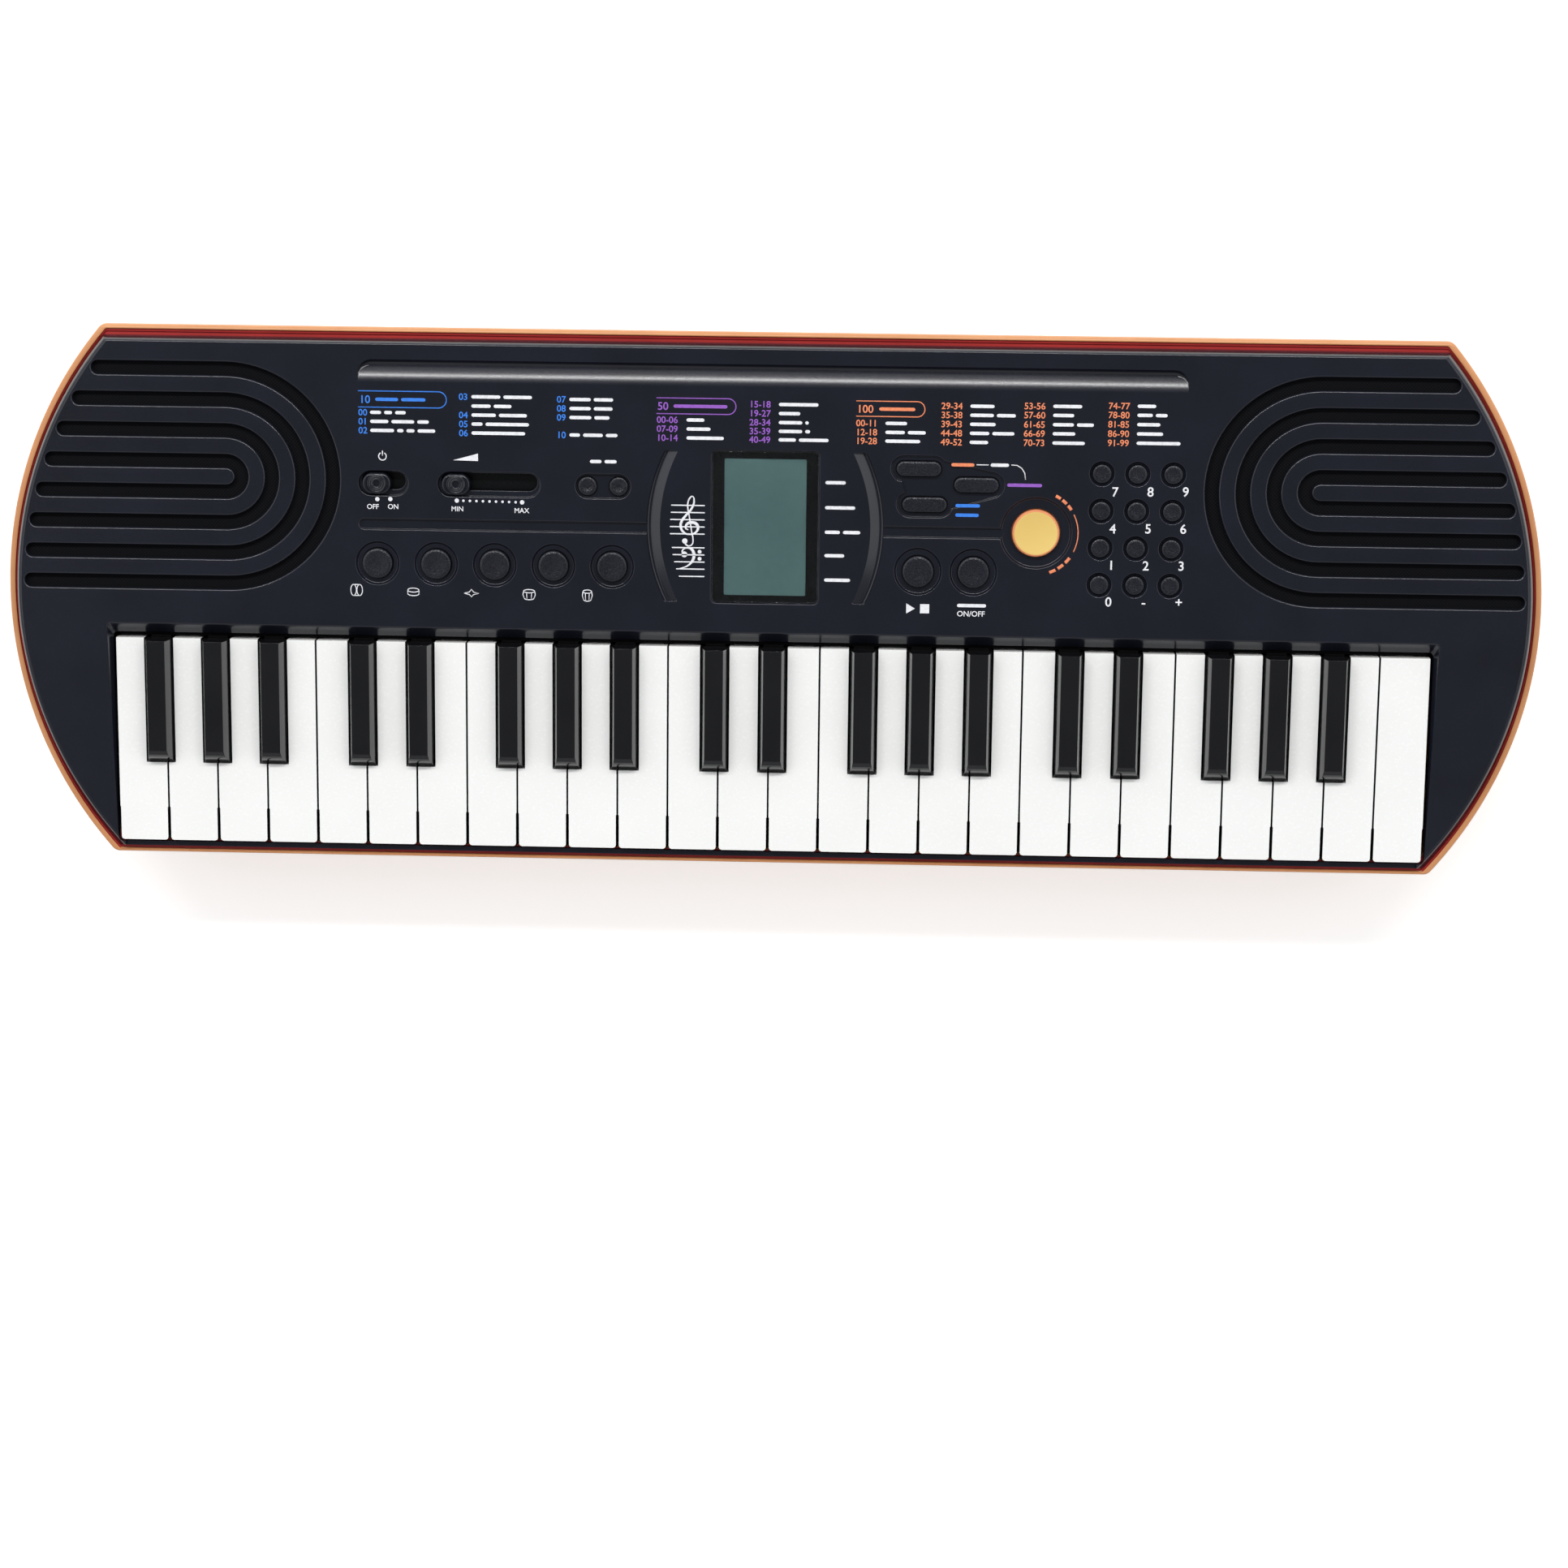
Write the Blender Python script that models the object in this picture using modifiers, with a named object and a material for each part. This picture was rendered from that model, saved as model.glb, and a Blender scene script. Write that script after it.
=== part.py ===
"""Portable keyboard with 44 mini keys: two-part case, sprung keys, switches, speakers, battery tray.

The part stands on its feet at Z = 0.  +X points to the player's right, +Y to the rear edge and +Z up.
The origin lies under the middle of the case.  All sizes are in metres.
"""
import math

import bmesh
import bpy
from mathutils import Matrix

MM = 0.001

# Case outline in plan: straight front and rear edges joined by two large side arcs.
CASE_LENGTH = 604.0 * MM
CASE_DEPTH = 211.0 * MM
SIDE_RADIUS = 161.0 * MM
CORNER_RADIUS = 4.0 * MM
ARC_STEPS = 12
CORNER_STEPS = 2

# Heights above the surface it stands on.
FOOT_HEIGHT = 1.6 * MM
FLOOR_THICK = 2.4 * MM
RIM_TOP = 46.5 * MM
RIM_STEP = 1.5 * MM
LEDGE_THICK = 2.5 * MM
BOWL_CURVE = ((0.0 * MM, 18.0 * MM), (4.5 * MM, 12.0 * MM), (12.5 * MM, 7.0 * MM), (24.5 * MM, 3.4 * MM),
              (36.5 * MM, 0.9 * MM))
PANEL_TOP = 54.0 * MM
PANEL_THICK = 2.3 * MM
CHEEK_DROP = 5.0 * MM
CHEEK_START = -12.0 * MM

# Where the dark upper case stands in from the outline of the lower case.
UPPER_INSET_SIDE = 3.5 * MM
UPPER_INSET_REAR = 4.2 * MM
UPPER_INSET_FRONT = 2.65 * MM
UPPER_WALL = 2.25 * MM
RIM_BAND = 2.8 * MM
RIM_BAND_FRONT = 1.4 * MM
UPPER_SOFT_EDGE = 3.3 * MM
SOFT_EDGE_REAR = 0.6
SOFT_EDGE_FRONT = 0.3
UPPER_EDGE_DROP = 4.0 * MM
SEAT_GAP = 0.3 * MM

# Keys.
WHITE_KEYS = 26
WHITE_PITCH = 19.95 * MM
WHITE_TOP = 50.5 * MM
WHITE_FRONT = -99.5 * MM
WHITE_REAR = -17.7 * MM
WHITE_SKIRT = 10.5 * MM
WHITE_WALL = 1.3 * MM
WHITE_SKIN = 2.0 * MM
WHITE_CORNER = 1.1 * MM
WHITE_GAP = 0.7 * MM
WHITE_GAP_FRONT = 1.15 * MM
WHITE_GRIP = 13.4 * MM
BLACK_TOP = 57.0 * MM
BLACK_WIDTH = 10.6 * MM
BLACK_TOP_WIDTH = 7.2 * MM
BLACK_FRONT = -67.2 * MM
BLACK_REAR = -18.1 * MM
BLACK_SKIRT = 15.0 * MM
BLACK_WALL = 1.3 * MM
BLACK_NOSE_RUN = 2.7 * MM
BLACK_NOSE_BEVEL = 2.6 * MM
BLACK_BEVEL_DROP = 1.5 * MM
SLOT_CLEARANCE = 0.5 * MM
SLOT_NOSE_CLEARANCE = 0.7 * MM

# Key hinge and what the keys press.
HINGE_Y = -2.0 * MM
HINGE_Z = 44.0 * MM
KNUCKLE_RADIUS = 2.0 * MM
NECK_THICK = 2.0 * MM
NECK_WIDTH = 8.0 * MM
RAIL_SIZE = 7.6 * MM
RAIL_MOUTH = 1.6 * MM
RAIL_RUN_OUT = 2.0 * MM
RAIL_LIP = 0.8 * MM
RAIL_SUPPORTS = 8
RAIL_SUPPORT_END = 27.35 * MM
RAIL_SUPPORT_THICK = 3.0 * MM
RAIL_SUPPORT_DEPTH = 6.0 * MM
PLUNGER_WIDTH = 5.0 * MM
PLUNGER_DEPTH = 3.0 * MM
PLUNGER_TIP = 32.6 * MM
WHITE_PLUNGER_Y = -57.0 * MM
BLACK_PLUNGER_Y = -50.0 * MM
STRIP_TOP = 29.6 * MM
STRIP_HEIGHT = 4.0 * MM
STRIP_WIDTH = 16.0 * MM
STRIP_TOP_WIDTH = 12.0 * MM
STRIP_END_GAP = 9.35 * MM
CONTACT_BOARD_THICK = 1.6 * MM
CONTACT_BOARD_FRONT = -80.0 * MM
CONTACT_BOARD_REAR = -34.0 * MM
CONTACT_BOARD_END_GAP = 7.35 * MM
CONTACT_RIB_SETBACK = 6.0 * MM
CONTACT_RIB_THICK = 2.0 * MM
CONTACT_RIB_END_GAP = 9.35 * MM
KEY_STOP_Y = -93.0 * MM
KEY_STOP_THICK = 2.4 * MM
KEY_STOP_END_GAP = 15.35 * MM
KEY_STOP_TOP = 35.8 * MM

# Opening over the keys.
OPENING_SIDE_GAP = 0.85 * MM
OPENING_REAR = -15.6 * MM
OPENING_FRONT = -100.6 * MM
LIP_SLOPE_REAR = 4.2 * MM
LIP_SLOPE_SIDE = 1.5 * MM
LIP_BOTTOM = 48.4 * MM
LIP_FOOT = 49.0 * MM
LIP_FRAME_SIDE = 3.8 * MM
LIP_FRAME_REAR = 6.5 * MM
LIP_FRAME_FRONT = 6.0 * MM
RAIL_TOP = 47.8 * MM
RAIL_END_INSET = 2.7 * MM

# Speaker grilles: nested U slots that open towards the sides of the case.
GRILLE_FROM_ARC = 72.2 * MM
GRILLE_Y = 47.2 * MM
GRILLE_FIRST_RADIUS = 6.0 * MM
GRILLE_PITCH = 12.0 * MM
GRILLE_COUNT = 4
GRILLE_SLOT = 5.2 * MM
GRILLE_MARGIN = 8.0 * MM
GRILLE_RIB_WIDTH = 1.6 * MM
GRILLE_RIB_DROP = 3.2 * MM
GRILLE_RIB_OFFSET = 15.0 * MM
SPEAKER_FROM_ARC = 83.0 * MM
SPEAKER_SEAT_WIDTH = 3.0 * MM
SPEAKER_RADIUS = 38.5 * MM
SPEAKER_DEPTH = 24.0 * MM
SPEAKER_MAGNET_RADIUS = 16.0 * MM
SPEAKER_RIM_THICK = 3.0 * MM
SPEAKER_STEPS = 18

# Panel features (centres in plan).
TROUGH_HALF = 161.0 * MM
TROUGH_FROM_REAR = 11.6 * MM
TROUGH_WIDTH = 11.4 * MM
TROUGH_DEPTH = 3.0 * MM
TROUGH_SECTION = ((1.0, 0.0), (0.94, 0.66), (0.79, 0.96), (0.61, 1.0), (0.31, 0.66), (0.0, 0.0))
TROUGH_STATIONS = ((-1.0, 0.08), (-0.975, 0.75), (-0.955, 1.0), (0.955, 1.0), (0.975, 0.75), (1.0, 0.08))
TROUGH_CENTRE = 0.45
TROUGH_END_WIDTH = 0.55
TROUGH_WALL = 1.6 * MM
TROUGH_MARGIN = 1.5 * MM
CHANNEL_Y = 29.7 * MM
CHANNEL_WIDTH = 5.2 * MM
CHANNEL_DEPTH = 0.8 * MM
CHANNEL_LEFT = -161.0 * MM
CHANNEL_END_GAP = 0.8 * MM
DISPLAY_X = -2.0 * MM
DISPLAY_Y = 30.3 * MM
DISPLAY_WIDTH = 41.8 * MM
DISPLAY_HEIGHT = 59.8 * MM
DISPLAY_CORNER = 2.0 * MM
LENS_THICK = 1.1 * MM
LCD_WIDTH = 32.8 * MM
LCD_HEIGHT = 54.4 * MM
LCD_MARGIN = 0.3 * MM
MODULE_MARGIN_X = 3.0 * MM
MODULE_MARGIN_Y = 2.5 * MM
MODULE_SINK = 0.5 * MM
GLASS_GAP = 0.5 * MM
BRACKET_RADIUS = 64.4 * MM
BRACKET_OUTER = 46.7 * MM
BRACKET_WIDTH = 5.1 * MM
BRACKET_HALF_HEIGHT = 29.6 * MM
BRACKET_DEPTH = 1.0 * MM

MODE_BUTTONS = ((57.6 * MM, 54.2 * MM), (80.0 * MM, 48.2 * MM), (60.0 * MM, 40.3 * MM))
MODE_LENGTH = 17.4 * MM
MODE_WIDTH = 5.8 * MM
MODE_RECESS_MARGIN = 2.0 * MM
PLAY_BUTTONS = ((57.9 * MM, 14.0 * MM), (79.5 * MM, 14.0 * MM))
PLAY_RADIUS = 6.1 * MM
PLAY_RECESS = 9.1 * MM
NUMBER_X = (128.6 * MM, 142.4 * MM, 156.2 * MM)
NUMBER_Y = (53.3 * MM, 38.8 * MM, 24.3 * MM, 9.8 * MM)
NUMBER_RADIUS = 3.6 * MM
NUMBER_RECESS = 4.7 * MM
DRUM_FIRST_X = -154.0 * MM
DRUM_PITCH = 23.05 * MM
DRUM_COUNT = 5
DRUM_Y = 14.0 * MM
DRUM_RADIUS = 5.9 * MM
DRUM_RECESS = 8.4 * MM
PIANO_BUTTON = (103.5 * MM, 29.8 * MM)
PIANO_RADIUS = 9.2 * MM
PIANO_RECESS = 13.8 * MM
BUTTON_CLEARANCE = 0.4 * MM
BUTTON_RECESS_DEPTH = 0.9 * MM
BUTTON_PROUD = 1.2 * MM
BUTTON_CROWN = 0.6 * MM
BUTTON_CROWN_RUN = 1.3 * MM
LOW_BUTTON_PROUD = 0.4 * MM
MODE_CROWN = 0.5 * MM
MODE_CROWN_RUN = 0.7 * MM
DISH_LEAN = 0.55
SMALL_STEPS = 8
LARGE_STEPS = 12
MAT_THICK = 1.2 * MM
MAT_MARGIN = 1.5 * MM
MAT_MARGIN_FRONT = 2.0 * MM
DRUM_MAT_MARGIN = 9.0 * MM
DRUM_MAT_WIDTH = 16.0 * MM
TEMPO_MAT_WIDTH = 9.6 * MM
PIANO_FLANGE = 1.8 * MM
PIANO_FLANGE_GAP = 0.4 * MM

SLIDER_DEPTH = 1.5 * MM
SLIDER_WIDTH = 9.4 * MM
SLIDER_Y = 45.5 * MM
KNOB_LENGTH = 11.3 * MM
KNOB_WIDTH = 8.3 * MM
KNOB_PROUD = 1.5 * MM
KNOB_END_GAP = 1.35 * MM
POWER_X = -151.4 * MM
POWER_TRAVEL = 5.1 * MM
VOLUME_X = -110.0 * MM
VOLUME_TRAVEL = 25.8 * MM
STEM_WIDTH = 2.4 * MM
STEM_LENGTH = 3.0 * MM
TEMPO_X = -65.4 * MM
TEMPO_SPREAD = 6.1 * MM
TEMPO_RECESS_LENGTH = 21.2 * MM
TEMPO_RADIUS = 3.6 * MM

# Circuit board, sockets and battery tray.
BOARD_THICK = 1.6 * MM
BOARD_GAP = 2.9 * MM
BOARD_HALF = 172.0 * MM
BOARD_FRONT = 3.6 * MM
BOARD_REAR = 88.0 * MM
BOARD_BOSSES = ((-158.0 * MM, 70.0 * MM), (-60.0 * MM, 70.0 * MM), (40.0 * MM, 70.0 * MM),
                (158.0 * MM, 70.0 * MM), (-167.0 * MM, 27.0 * MM), (168.0 * MM, 27.0 * MM))
BOSS_RADIUS = 3.4 * MM
JACKS = ((-64.0 * MM, 3.2 * MM), (-89.0 * MM, 4.2 * MM))
JACK_Z = 36.5 * MM
JACK_BODY = 12.0 * MM
JACK_BELOW = 5.2 * MM
JACK_WALL_GAP = 4.0 * MM
JACK_LAP = 8.0 * MM
JACK_RISER_DEPTH = 6.0 * MM
BAY_LENGTH = 158.0 * MM
BAY_WIDTH = 32.0 * MM
BAY_HEIGHT = 17.0 * MM
BAY_WALL = 1.8 * MM
BAY_Y = 46.0 * MM
TRAY_FLANGE = 3.5 * MM
DOOR_LAP = 3.0 * MM
DOOR_THICK = 1.6 * MM
DOOR_CORNER = 2.0 * MM
GRIP_LENGTH = 24.0 * MM
GRIP_START = 3.0 * MM
GRIP_PITCH = 2.4 * MM
GRIP_WIDTH = 1.0 * MM
GRIP_DEPTH = 0.7 * MM
GRIP_COUNT = 3
FOOT_FROM_ARC = 49.0 * MM
FOOT_FROM_EDGE = 35.5 * MM
FOOT_LENGTH = 30.0 * MM
FOOT_WIDTH = 11.0 * MM
POST_RADIUS = 4.2 * MM
POST_BORE = 2.6 * MM
POST_TOP = 40.0 * MM
POST_BORE_DEPTH = 8.0 * MM

WHITE_LETTERS = ("F", "G", "A", "B", "C", "D", "E")
BLACK_SHIFT = {"C": -1.5 * MM, "D": 1.5 * MM, "F": -2.7 * MM, "G": 0.0, "A": 2.7 * MM}
FIRST_OCTAVE = 3

PANEL_UNDER = PANEL_TOP - PANEL_THICK
LEDGE_Z = RIM_TOP - RIM_STEP
BOARD_TOP = PANEL_UNDER - BOARD_GAP
HALF_DEPTH = CASE_DEPTH / 2.0
ARC_X = CASE_LENGTH / 2.0 - SIDE_RADIUS
KEY_HALF = WHITE_PITCH * WHITE_KEYS / 2.0
OPENING_HALF = KEY_HALF + OPENING_SIDE_GAP
RAIL_HALF = OPENING_HALF - RAIL_END_INSET
GRILLE_X = ARC_X + GRILLE_FROM_ARC
SPEAKER_X = ARC_X + SPEAKER_FROM_ARC
TRAY_SEAT = FOOT_HEIGHT + DOOR_THICK + BAY_WALL + 0.4 * MM
TROUGH_REAR = HALF_DEPTH - TROUGH_FROM_REAR
TROUGH_FRONT = TROUGH_REAR - TROUGH_WIDTH
FOOT_X = ARC_X + FOOT_FROM_ARC
FOOT_Y = HALF_DEPTH - FOOT_FROM_EDGE
# Screw posts along the rear wall: outwards from the arc's centre, in from the rear edge, height of the foot.
REAR_POSTS = ((39.0 * MM, 15.5 * MM, 10.0 * MM), (-21.0 * MM, 12.5 * MM, 15.0 * MM))
# Screw posts beside the keys: in from the side arc, place along Y, height of the foot.
SIDE_POSTS = ((29.76 * MM, HALF_DEPTH - 97.5 * MM, 3.0 * MM), (15.1 * MM, 35.5 * MM - HALF_DEPTH, 10.0 * MM))
MAT_TOP = PANEL_UNDER - SEAT_GAP
GRILLE_BOTTOM = PANEL_UNDER - GRILLE_RIB_DROP

for old in list(bpy.data.objects):
    bpy.data.objects.remove(old, do_unlink=True)

PARTS = bpy.data.collections.new("portable_keyboard")
TOOLS = bpy.data.collections.new("cutters")
bpy.context.scene.collection.children.link(PARTS)
bpy.context.scene.collection.children.link(TOOLS)


def material(name, colour, roughness, metallic=0.0):
    """Principled material in the part's own colour."""
    mat = bpy.data.materials.new(name)
    mat.use_nodes = True
    shader = mat.node_tree.nodes["Principled BSDF"]
    shader.inputs["Base Color"].default_value = (*colour, 1.0)
    shader.inputs["Roughness"].default_value = roughness
    shader.inputs["Metallic"].default_value = metallic
    mat.diffuse_color = (*colour, 1.0)
    return mat


CASE_BLACK = material("case_black", (0.015, 0.017, 0.026), 0.42)
CASE_ORANGE = material("case_orange", (0.62, 0.26, 0.09), 0.38)
KEY_WHITE = material("key_white", (0.90, 0.90, 0.88), 0.30)
KEY_BLACK = material("key_black", (0.008, 0.008, 0.010), 0.18)
RUBBER_DARK = material("rubber_dark", (0.020, 0.021, 0.028), 0.60)
BUTTON_CREAM = material("button_cream", (0.78, 0.60, 0.22), 0.45)
LENS_CLEAR = material("lens_clear", (0.05, 0.06, 0.06), 0.08)
BOARD_GREEN = material("board_green", (0.03, 0.16, 0.07), 0.50)
RAIL_GREY = material("rail_grey", (0.35, 0.36, 0.37), 0.50)
SPEAKER_CONE = material("speaker_cone", (0.03, 0.03, 0.03), 0.80)
KNOB_BLACK = material("knob_black", (0.020, 0.022, 0.030), 0.35)


def add_object(name, bm, mat=None, angle=None, collection=None):
    """Wrap a bmesh as an object with outward faces."""
    bmesh.ops.recalc_face_normals(bm, faces=bm.faces)
    mesh = bpy.data.meshes.new(name)
    bm.to_mesh(mesh)
    bm.free()
    obj = bpy.data.objects.new(name, mesh)
    (collection or TOOLS).objects.link(obj)
    if mat is not None:
        mesh.materials.append(mat)
    if angle is not None:
        mesh.shade_smooth()
        mesh.set_sharp_from_angle(angle=math.radians(angle))
    return obj


def loft(rings):
    """Closed solid through rings that hold the same number of points."""
    bm = bmesh.new()
    rows = [[bm.verts.new(point) for point in ring] for ring in rings]
    count = len(rows[0])
    for low, high in zip(rows, rows[1:]):
        for i in range(count):
            j = (i + 1) % count
            bm.faces.new((low[i], low[j], high[j], high[i]))
    bm.faces.new(rows[0])
    bm.faces.new(rows[-1])
    return bm


def box(x0, x1, y0, y1, z0, z1):
    """Box between two corners."""
    bm = bmesh.new()
    bmesh.ops.create_cube(bm, size=1.0)
    size = Matrix.Diagonal((x1 - x0, y1 - y0, z1 - z0, 1.0))
    place = Matrix.Translation(((x0 + x1) / 2.0, (y0 + y1) / 2.0, (z0 + z1) / 2.0))
    bm.transform(place @ size)
    return bm


def cylinder(x, y, z0, z1, radius, steps, top_radius=None):
    """Upright cylinder or cone frustum."""
    bm = bmesh.new()
    bmesh.ops.create_cone(bm, cap_ends=True, segments=steps, radius1=radius,
                          radius2=radius if top_radius is None else top_radius, depth=z1 - z0)
    bm.transform(Matrix.Translation((x, y, (z0 + z1) / 2.0)))
    return bm


def flat_solid(outlines, z0, z1):
    """Flat outline, with any holes in it, extruded between two heights."""
    curve = bpy.data.curves.new("outline", "CURVE")
    curve.dimensions = "2D"
    curve.fill_mode = "BOTH"
    curve.extrude = (z1 - z0) / 2.0
    for outline in outlines:
        spline = curve.splines.new("POLY")
        spline.points.add(len(outline) - 1)
        for point, (x, y) in zip(spline.points, outline):
            point.co = (x, y, 0.0, 1.0)
        spline.use_cyclic_u = True
    obj = bpy.data.objects.new("outline", curve)
    TOOLS.objects.link(obj)
    depsgraph = bpy.context.evaluated_depsgraph_get()
    mesh = bpy.data.meshes.new_from_object(obj.evaluated_get(depsgraph))
    bm = bmesh.new()
    bm.from_mesh(mesh)
    bmesh.ops.remove_doubles(bm, verts=bm.verts, dist=1e-6)
    bm.transform(Matrix.Translation((0.0, 0.0, (z0 + z1) / 2.0)))
    bpy.data.objects.remove(obj, do_unlink=True)
    bpy.data.curves.remove(curve)
    bpy.data.meshes.remove(mesh)
    return bm


def side_solid(profile, x0, x1):
    """Profile in the Y-Z plane extruded along X."""
    bm = flat_solid([profile], x0, x1)
    bm.transform(Matrix(((0, 0, 1, 0), (1, 0, 0, 0), (0, 1, 0, 0), (0, 0, 0, 1))))
    return bm


def merged(pieces):
    """Several separate solids in one bmesh, for one cut or one join."""
    total = bmesh.new()
    for piece in pieces:
        mesh = bpy.data.meshes.new("piece")
        bmesh.ops.recalc_face_normals(piece, faces=piece.faces)
        piece.to_mesh(mesh)
        piece.free()
        total.from_mesh(mesh)
        bpy.data.meshes.remove(mesh)
    return total


def combine(obj, bm, operation, name):
    """Exact boolean between an object and a solid that stays as a hidden cutter."""
    tool = add_object(name, bm)
    tool.parent = obj.parent
    tool.matrix_world = obj.matrix_world.copy()
    tool.hide_render = True
    tool.display_type = "WIRE"
    step = obj.modifiers.new(name, "BOOLEAN")
    step.operation = operation
    step.solver = "EXACT"
    step.object = tool


def arc_points(cx, cy, radius, start, stop, steps):
    """Points on an arc, both ends included, angles in degrees."""
    points = []
    for i in range(steps + 1):
        angle = math.radians(start + (stop - start) * i / steps)
        points.append((cx + radius * math.cos(angle), cy + radius * math.sin(angle)))
    return points


def disc(cx, cy, radius, steps):
    """Closed circle."""
    return arc_points(cx, cy, radius, 0.0, 360.0, steps)[:-1]


def stadium(cx, cy, length, width, steps):
    """Rounded bar along X."""
    half = max(length - width, 0.0) / 2.0
    right = arc_points(cx + half, cy, width / 2.0, -90.0, 90.0, steps)
    left = arc_points(cx - half, cy, width / 2.0, 90.0, 270.0, steps)
    return right + left


def rounded(x0, x1, y0, y1, radius, steps):
    """Rectangle with rounded corners."""
    points = []
    corners = ((x1 - radius, y0 + radius, -90.0), (x1 - radius, y1 - radius, 0.0),
               (x0 + radius, y1 - radius, 90.0), (x0 + radius, y0 + radius, 180.0))
    for cx, cy, start in corners:
        points += arc_points(cx, cy, radius, start, start + 90.0, steps)
    return points


def case_outline(side, rear=None, front=None):
    """Case outline set in by the given distances from the outermost edge."""
    rear = side if rear is None else rear
    front = side if front is None else front
    radius = SIDE_RADIUS - side
    corner = max(CORNER_RADIUS - side, 0.8 * MM)
    reach = radius - corner
    corners = {}
    for key, y in (("front", -(HALF_DEPTH - front) + corner), ("rear", HALF_DEPTH - rear - corner)):
        corners[key] = (math.sqrt(reach * reach - y * y), y, math.degrees(math.asin(y / reach)))
    fx, fy, fa = corners["front"]
    rx, ry, ra = corners["rear"]
    right = arc_points(fx, fy, corner, -90.0, fa, CORNER_STEPS)[:-1]
    right += arc_points(0.0, 0.0, radius, fa, ra, ARC_STEPS)
    right += arc_points(rx, ry, corner, ra, 90.0, CORNER_STEPS)[1:]
    right = [(ARC_X + x, y) for x, y in right]
    return right + [(-x, y) for x, y in reversed(right)]


def case_ring(z, side, rear=None, front=None):
    """Case outline at a height."""
    return [(x, y, z) for x, y in case_outline(side, rear, front)]


def drop_cheeks(bm):
    """Let the panel fall towards the front beside the keys, from CHEEK_START on."""
    geometry = list(bm.verts) + list(bm.edges) + list(bm.faces)
    bmesh.ops.bisect_plane(bm, geom=geometry, dist=1e-7, plane_co=(0.0, CHEEK_START, 0.0),
                           plane_no=(0.0, 1.0, 0.0))
    run = CHEEK_START + HALF_DEPTH
    low = LEDGE_Z + SEAT_GAP
    for vert in bm.verts:
        if vert.co.y < CHEEK_START and vert.co.z > low:
            share = min((vert.co.z - low) / (PANEL_UNDER - low), 1.0)
            vert.co.z -= share * CHEEK_DROP * (CHEEK_START - vert.co.y) / run
    return bm


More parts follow.
